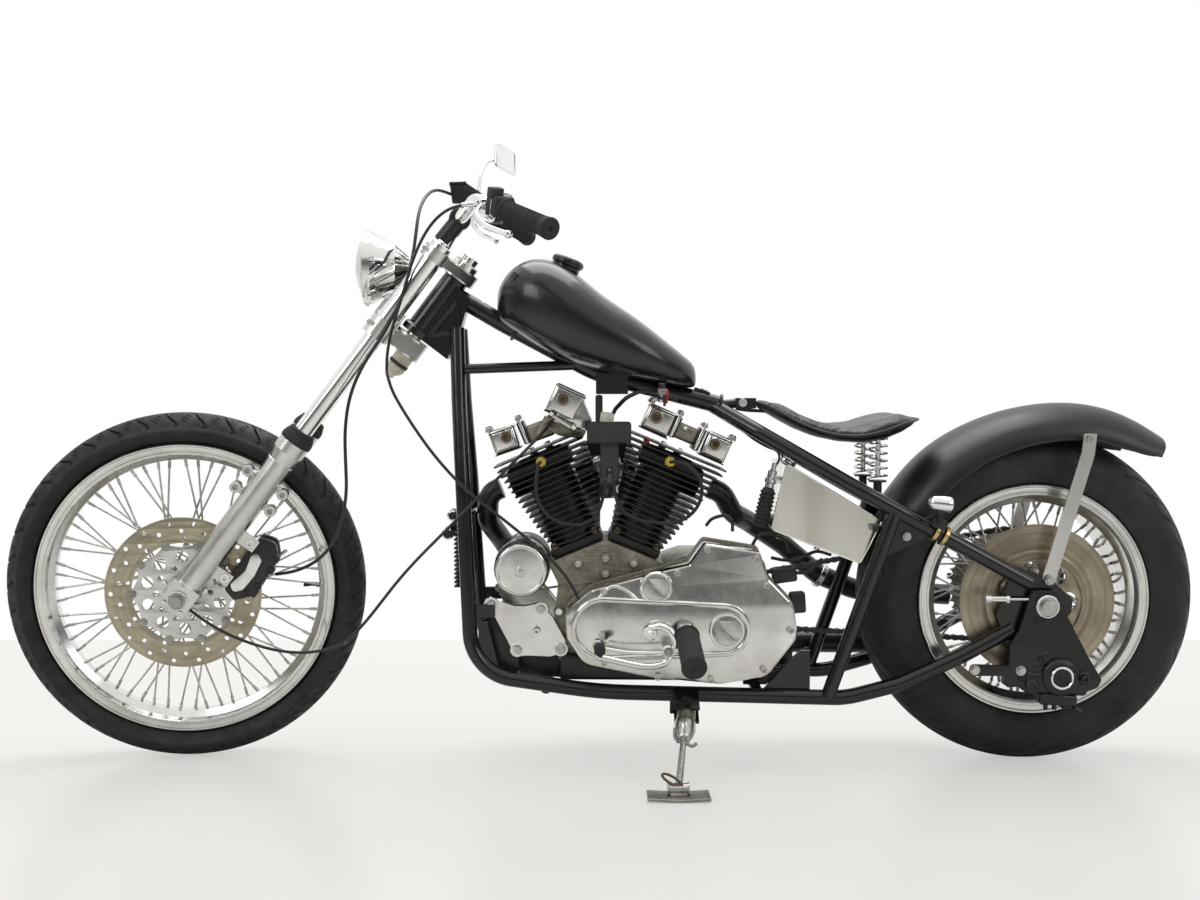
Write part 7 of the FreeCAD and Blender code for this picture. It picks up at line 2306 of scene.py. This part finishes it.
@dataclass
class Rear:
    """Fender edge, struts, the rear brake, the axle's ends and the lamps."""

    stay: float = 127.0
    fender: Sequence[Point] = ((1350, 506), (1376, 540), (1424, 594), (1500, 646), (1578, 677), (1655, 692),
                               (1733, 692), (1811, 671), (1876, 633))
    fender_half: float = 104.0
    fender_depth: float = 66.0
    tip_depth: float = 0.66
    end_half: float = 0.97

    def edges(self) -> None:
        """A rolled bead along both lower edges of the fender."""
        shape = Shape()
        for side in (-1, 1):
            line = []
            for index, (x, z) in enumerate(self.fender):
                before = Vector((*self.fender[max(index - 1, 0)], 0))
                after = Vector((*self.fender[min(index + 1, len(self.fender) - 1)], 0))
                way = (after - before).normalized()
                last = len(self.fender) - 1
                depth = self.fender_depth * (self.tip_depth if index == last else 1)
                half = self.fender_half * (self.end_half if index in (0, last) else 1) - 1.4
                line.append((x + way.y * depth, side * half, z - way.x * depth))
            shape.tube(smooth_path(line, 6), 2.0, 10)
        shape.become("fender_beads", CHASSIS, FENDER_BLACK, "satin_paint")
        dress(FENDER_BLACK, "rear_fender")
        dress(BRUSHED, "fender_struts")

    def bolts(self) -> None:
        """Bolts of the struts, the brake's link and the plates."""
        spots = []
        for side in (-1, 1):
            outer = side * (self.stay + 9.3)
            spots += [((1636, outer - side * 1.2, 368), (0, side, 0), 8.0),
                      ((1371, side * (self.stay + 3), 449), (0, side, 0), 7.0)]
            spots.append(((1706, side * 131.5, 631), (0, side, 0), 7.0))
        spots += [((1497, -144.3, 201.5), (0, -1, 0), 8.0), ((1582, -145.3, 200.5), (0, -1, 0), 8.0)]
        fasten("rear_bolts", spots, Head.HEX, CHASSIS)
        dark = [((1698, -152, 187), (0, -1, 0), 7.0), ((1620, -147, 221), (0, -1, 0), 5.0),
                ((1640, -145.5, 322), (0, -1, 0), 6.0), ((1582, -145, 184), (0, -1, 0), 5.0)]
        fasten("brake_bolts", dark, Head.SOCKET, CHASSIS, SATIN_BLACK)

    def brake(self) -> None:
        """The caliper on its hanger: a round body with lugs, and a bright ring round the piston's cover."""
        hanger = fillet([(1600, 350, 10), (1650, 350, 14), (1668, 300, 14), (1703, 234, 8), (1733, 183, 6),
                         (1726, 168, 8), (1700, 158, 8), (1640, 150, 10), (1590, 164, 10), (1562, 188, 8),
                         (1562, 250, 10), (1578, 275, 14), (1592, 320, 10)])
        plates = Shape().plate([hanger, circle(14, (WHEELBASE, REAR_RADIUS), 40)], -145.3, -136.3, 1.2)
        link = fillet([(1486, 196, 9), (1490, 212, 9), (1600, 209, 7), (1600, 190, 7), (1492, 190, 9)])
        plates.plate([link], -144.3, -138.3, 1.2)
        plates.become("caliper_hanger", CHASSIS, SATIN_BLACK, "black_metal", ("rear_caliper",))
        place = Vector((1655, -154, 189))
        ring = Shape().lathe([(17.2, 3), (17.2, 5.4), (18.4, 6.4), (20.2, 6.4), (21.4, 5.2), (21.4, 0)],
                             place, -Y, 56)
        ring.become("piston_ring", CHASSIS, CHROME, "chrome")
        body = Shape().lathe([(0, -50), (35, -50), (35, -3), (33, 0), (29, 1.4), (26, 3), (21.5, 3.4),
                              (17.2, 3.4), (14, 1.5), (5, 1.5), (4, 3.5), (0, 3.5)], place, -Y, 64)
        body.lathe([(0, 0), (13, 0), (13, 42), (11, 44), (6, 44), (5, 42), (0, 42)], (1603, -110, 172), -Y,
                   32)
        body.lathe([(0, 0), (12, 0), (12, 40), (10, 42), (0, 42)], (1698, -110, 187), -Y, 32)
        body.block((118, 46, 42), (1648, -127, 176), spin(3), 8)
        body.block((54, 40, 30), (1582, -125, 184), spin(-4), 6)
        body.block((40, 42, 28), (1620, -126, 221), spin(-18), 6)
        body.block((70, 74, 22), (1652, -115, 146), spin(4), 6)
        body.block((24, 30, 16), (1672, -132, 136), spin(-12), 4)
        body.block((104, 8, 62), (1648, -82, 186), None, 3)
        for x in (1628, 1644):
            body.rod(4.5, (x, -148, 138), (x, -148, 128), 1, 6)
        body.rod(4.2, (1682, -146, 132), (1694, -150, 122), 1, 16)
        body.become("caliper_body_rear", CHASSIS, SATIN_BLACK, "black_metal")

    def axle(self) -> None:
        """Ring nuts on the axle's ends, and the chain's adjusters."""
        dress(STEEL, "rear_axle")
        ring, dark = Shape(), Shape()
        for side, place in ((-1, -145.4), (1, 126.3)):
            base = Vector((WHEELBASE, place, REAR_RADIUS))
            way = Vector((0, side, 0))
            ring.lathe([(17.4, 0), (17.4, 13), (18.6, 14.4), (20.4, 14.4), (21.6, 13), (21.6, 0)], base, way,
                       56, close=True)
            dark.lathe([(0, 8), (17.3, 8), (17.3, 0), (0, 0)], base, way, 40)
            dark.lathe([(0, 0), (7, 0), (7, 19), (6, 20.4), (0, 20.4)], base + Vector((3, 0, -1)), way, 24)
            dark.lathe([(8, 8), (13, 8), (13, 15), (8, 15)], base, way, 6, close=True)
        ring.become("axle_rings", CHASSIS, CHROME, "chrome")
        dark.become("axle_nuts", CHASSIS, CAST, "spoke_steel")
        rods = Shape()
        for side in (-1, 1):
            y = side * (self.stay + 12.5)
            rods.rod(7, (1516, y, 334), (1527, y, 334), 1.2, 6).rod(6, (1526, y, 334), (1556, y, 333.5), 1,
                                                                    24)
            rods.rod(7.5, (1554, y, 333.5), (1561, y, 333.5), 1.2, 6)
            rods.rod(2.6, (1560, y, 333.3), (1606, y, 333), 0.4, 12)
        rods.become("axle_adjusters", CHASSIS, CHROME, "chrome")

    def lamps(self) -> None:
        """Bright bullet lamps on posts, each clamped to its stay."""
        bullets, glass, clamps, posts = Shape(), Shape(), Shape(), Shape()
        spots = []
        along = Vector((317, 0, -173)).normalized()
        for side in (-1, 1):
            y = side * (self.stay + 34)
            front = Vector((1402, y, 516))
            way = Vector((36, 0, -4)).normalized()
            bullets.lathe([(0, 0), (5, 0.6), (9.6, 3.6), (12.6, 9), (14.2, 18), (14.6, 36), (15.4, 37),
                           (15.4, 41), (14, 43), (12.5, 43), (12.5, 39), (0, 39)], front, way, 40)
            glass.lathe([(12.4, 39.5), (12.4, 42), (10, 45), (5, 46.6), (0, 47)], front, way, 32)
            foot = Vector((1433, side * self.stay, 453.8))
            for shift in (-9, 9):
                clamps.lathe([(14.4, -3.5), (18.4, -3.5), (19, -2.9), (19, 2.9), (18.4, 3.5), (14.4, 3.5)],
                             foot + along * shift, along, 36, close=True)
                spots += [(foot + along * shift + Vector((0, side * 8, 19.5)), (0, side * 0.4, 1), 3.2)]
            posts.block((26, 12, 22), foot + Vector((-4, side * 12, 20)), spin(29), 3)
            posts.rod(5, foot + Vector((-6, side * 16, 24)), (1424, y, 504), 1, 20)
            posts.block((15, 12, 12), (1424, y, 500), None, 3)
            posts.tube(smooth_path([(1418, y - side * 4, 500), (1408, y - side * 12, 488),
                                    (1400, y - side * 18, 484)], 5), 2.2, 10)
        bullets.become("lamp_bullets", CHASSIS, CHROME, "chrome", ("rear_lamps",))
        glass.become("lamp_bullet_lenses", CHASSIS, RED, "black_plastic")
        clamps.become("lamp_clamps", CHASSIS, BRASS, "brass")
        posts.become("lamp_posts", CHASSIS, SATIN_BLACK, "black_metal")
        fasten("lamp_clamp_bolts", spots, Head.SOCKET, CHASSIS)

    def build(self) -> None:
        """Builds the rear end's details."""
        self.edges()
        self.bolts()
        self.brake()
        self.axle()
        self.lamps()


# Foot controls, exhaust and stand

@dataclass
class FootControls:
    """Rubber foot pegs, the shift lever on the left and the brake pedal on the right."""

    def pegs(self) -> None:
        """Fat rubber pegs with a closed end on steel stubs."""
        stubs, rubbers = Shape(), Shape()
        for root, tip in (((959, -161.4, 282), (966, -292, 238)), ((960, 132.4, 262), (966, 292, 238))):
            root, tip = Vector(root), Vector(tip)
            way = (tip - root).normalized()
            stubs.rod(9, root, root + way * 40, 1, 28).rod(14, root, root + way * 7, 1.5, 32)
            length = (tip - root).length - 22
            rubbers.lathe([(8, 0), (21, 0), (23, 2), (23, 6), (20.5, 8), (20.5, 12), (21.8, 14),
                           (21.8, length - 8), (23, length - 6), (23, length - 2), (21, length), (6, length),
                           (5, length - 2), (0, length - 2)], root + way * 22, way, 44)
        stubs.become("peg_stubs", CHASSIS, STEEL, "chrome", ("foot_controls",))
        rubbers.become("peg_rubbers", CHASSIS, RUBBER, "black_rubber")

    def shifter(self) -> None:
        """The shift lever: bent chrome tube, a knuckle, its rod and the toe peg."""
        shape = Shape().rod(13, (893, -158.3, 277), (893, -178, 277), 2, 36)
        shape.rod(7, (893, -177, 277), (893, -184, 277), 1.5, 6)
        shape.tube(smooth_path([(893, -174, 288), (910, -180, 291), (928, -184, 284), (939, -186, 266),
                                (938, -186, 252)], 8), 7.0, 18)
        shape.rod(12, (926, -174, 246), (926, -192, 246), 2, 36)
        shape.tube(smooth_path([(930, -186, 238), (918, -186, 224), (890, -186, 218), (852, -187, 224),
                                (818, -187, 232), (798, -187, 236)], 8), 6.2, 18)
        shape.tube(smooth_path([(812, -180, 250), (850, -182, 244), (894, -184, 243), (922, -184, 244)], 5),
                   3.4, 12)
        shape.rod(7.5, (797, -178, 262), (797, -200, 262), 1.5, 24).rod(6, (797, -187, 236), (797, -187, 262),
                                                                        1, 20)
        shape.become("shift_lever", CHASSIS, CHROME, "chrome")
        toe = Shape().lathe([(0, 0), (9, 0), (10.5, 1.5), (10.5, 6), (9.4, 7), (9.4, 28), (10.5, 30),
                             (10.5, 38), (9, 40), (0, 40)], (799, -186, 258), (0.06, -1, -0.08), 32)
        toe.become("toe_rubber", CHASSIS, RUBBER, "black_rubber")
        nuts = [((926, -192, 246), (0, -1, 0), 7.5), ((797, -200, 262), (0, -1, 0), 5.0)]
        fasten("shift_bolts", nuts, Head.NUT, CHASSIS, CAST)

    def pedal(self) -> None:
        """The brake pedal on the right."""
        shape = Shape().rod(13, (960, 140, 262), (960, 160, 262), 2, 36)
        shape.tube(smooth_path([(958, 154, 258), (938, 157, 238), (900, 166, 228), (850, 178, 232),
                                (820, 188, 248), (808, 192, 262)], 8), 6.5, 18)
        shape.become("brake_pedal", CHASSIS, CHROME, "chrome")
        pad = Shape().block((14, 46, 24), (805, 204, 264), spin(20), 4)
        for step in range(5):
            pad.block((3, 40, 2), (799, 204, 255 + 4.5 * step), spin(20), 0.6)
        pad.become("pedal_pad", CHASSIS, RUBBER, "black_rubber")

    def build(self) -> None:
        """Builds the foot controls."""
        self.pegs()
        self.shifter()
        self.pedal()


@dataclass
class LowerParts:
    """The exhaust, the side stand, the regulator, the steering head's cups and the frame's welds."""

    clamp_radius: float = 20.5

    def neck(self) -> None:
        """Cups at both ends of the steering head, and the ribs on the plates behind it."""
        rake = Matrix.Translation((0, 0, FRONT_RADIUS)) @ Matrix.Rotation(RAKE, 4, "Y")
        way = rake.to_3x3() @ Z
        cups = Shape().lathe([(24, 0), (30.5, 0), (31.5, 1), (31.5, 12), (28, 16), (24.5, 17)],
                             rake @ Vector((STEM_OFFSET, 0, 657.4)), way, 48, close=True)
        cups.lathe([(24, 0), (24.5, -3), (28.5, -5), (29.5, -12), (27, -14), (24, -14)],
                   rake @ Vector((STEM_OFFSET, 0, 785.6)), -way, 48, close=True)
        for side in (-1, 1):
            for low, high in (((86, 676), (90, 758)), ((88, 758), (124, 716)), ((84, 672), (130, 716))):
                ends = [rake @ Vector((x, side * 21.5, z)) for x, z in (low, high)]
                cups.tube(ends, 5.0, 14)
        cups.become("neck_cups", CHASSIS, FRAME_BLACK, "black_paint")

    def exhaust(self) -> None:
        """Black pipes with clamps and rolled ends."""
        dress(SATIN_BLACK, "exhaust_pipes")
        shape = Shape()
        for base, way in (((1100, 172, 190), (1, 0, 0)), ((1260, 166.5, 331), (0.85, 0.04, -0.5)),
                          ((840, 174, 200), (1, 0, -0.05))):
            ring = [(0, -6), (4, -6), (4.8, -5), (4.8, 5), (4, 6), (0, 6)]
            shape.lathe([(self.clamp_radius + r, along) for r, along in ring], base, way, 40, close=True)
        shape.become("exhaust_clamps", CHASSIS, STEEL, "black_metal")

    def stand(self) -> None:
        """The side stand: a bright cup, a round leg, a hinged foot plate and a link."""
        pivot, foot = Vector((157.3, -92.4, 115.8)), Vector((131, -279, 17))
        way = (foot - pivot).normalized()
        top = Shape().lathe([(0, -2), (14, -2), (17, 2), (17.6, 38), (0, 38)], pivot, way, 44)
        top.become("stand_socket", SIDE_STAND, AGED_CAST, "stand_steel")
        cup = Shape().lathe([(0, 36), (17.8, 36), (19.6, 40), (19.6, 56), (17.5, 66), (12.5, 80), (10.5, 84),
                             (8.5, 85), (0, 85)], pivot, way, 44)
        cup.tube([pivot + way * 80, foot], lambda share: 5.8 + 1.2 * share, 24)
        cup.rod(9.5, foot - X * 18, foot + X * 18, 1.5, 32).rod(11.5, foot - X * 19, foot - X * 15.5, 0.8,
                                                                32)
        cup.rod(11.5, foot + X * 15.5, foot + X * 19, 0.8, 32)
        cup.become("stand_leg", SIDE_STAND, STEEL, "stand_steel", ("side_stand",))
        plate = Shape()
        for side in (-1, 1):
            turn = spin(-side * 3)
            plate.block((55, 62, 5.5), (foot.x + side * 26.5, -282, 4.4), turn, 1.4)
        plate.block((30, 30, 8), (foot.x, -280, 8), None, 2)
        plate.become("stand_plate", SIDE_STAND, WORN_STEEL, "stand_steel")
        link = Shape()
        loop = []
        for step in range(25):
            turn = 2 * math.pi * step / 24
            loop.append(Vector((foot.x - 12 + 16 * math.cos(turn) - 3 * math.sin(turn), -284,
                                33 + 8 * math.sin(turn) - 7 * math.cos(turn))))
        ring = Shape().tube(loop, 2.3, 10)
        ring.block((20, 5, 9), (foot.x - 2, -284, 23), None, 1.5)
        ring.become("stand_ring", SIDE_STAND, RUSTY, "stand_steel")
        link.tube(smooth_path([pivot + way * 60 + Vector((-18, -2, 6)),
                               pivot + way * 74 + Vector((-17, -2, 0)),
                               pivot + way * 90 + Vector((-9, -2, 0))], 6), 2.6, 12)
        link.tube(smooth_path([pivot + way * 84 + Vector((0, -8, 0)), pivot + way * 94 + Vector((9, -9, 0)),
                               pivot + way * 99 + Vector((17, -6, 0)),
                               pivot + way * 98 + Vector((24, -4, 4))], 6), 3.0, 12)
        link.become("stand_link", SIDE_STAND, WORN_STEEL, "stand_steel")

    def regulator(self) -> None:
        """The regulator as a stack of slats, with two clamped cylinders above it."""
        fins = Shape().block((7, 96, 116), (536, 0, 396), None, 1.5).block((12, 30, 8), (536, 0, 448), None,
                                                                           1)
        for step in range(14):
            fins.block((13, 92, 2.8), (527, 0, 342.5 + 8.2 * step), None, 0.8)
        fins.rod(10.5, (517, -30, 478), (517, 10, 478), 2, 28).rod(11.5, (508, -34, 443), (508, 6, 443), 2,
                                                                   28)
        fins.block((30, 24, 16), (526, -6, 461), spin(-30), 4)
        fins.become("regulator_fins", CHASSIS, FIN_BLACK, "black_metal", ("regulator",))
        rims = Shape()
        for x, z, radius in ((517, 478, 10.5), (508, 443, 11.5)):
            rims.lathe([(radius - 3, -1), (radius, 0), (radius, 4), (radius - 3, 4)],
                       (x, -31 if z > 460 else -35, z), Y, 32, close=True)
        rims.become("clamp_rims", CHASSIS, CHROME, "chrome")

    def welds(self) -> None:
        """The frame's paint and the beads where its tubes meet."""
        dress(FRAME_BLACK, "frame_front", "frame_hardtail")
        welds = Shape()
        radius = 20.5
        for base, way in (((1034, 0, 690.3), (200, 0, -51)), ((640, 0, 834.6), (1, 0, -0.55))):
            welds.lathe([(radius - 1, -3), (radius + 1.2, -1.6), (radius + 1.6, 0), (radius + 1.2, 1.6),
                         (radius - 1, 3)], base, way, 40, close=True)
        welds.become("frame_welds", CHASSIS, FRAME_BLACK, "black_paint")

    def build(self) -> None:
        """Builds them all."""
        self.exhaust()
        self.stand()
        self.regulator()
        self.neck()
        self.welds()


ASSEMBLIES = (Studio, Cables, FrontWheel, RearWheel, DriveChain, ForkEnd, Headlight, Bars, Engine, Seat,
              Tanks, Rear, FootControls, LowerParts)


# The whole bike

def main() -> None:
    """Builds every sub-assembly in order."""
    logging.basicConfig(level=logging.INFO, format="%(message)s")
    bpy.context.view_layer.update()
    for assembly in ASSEMBLIES:
        assembly().build()


if __name__ == "__main__":
    main()
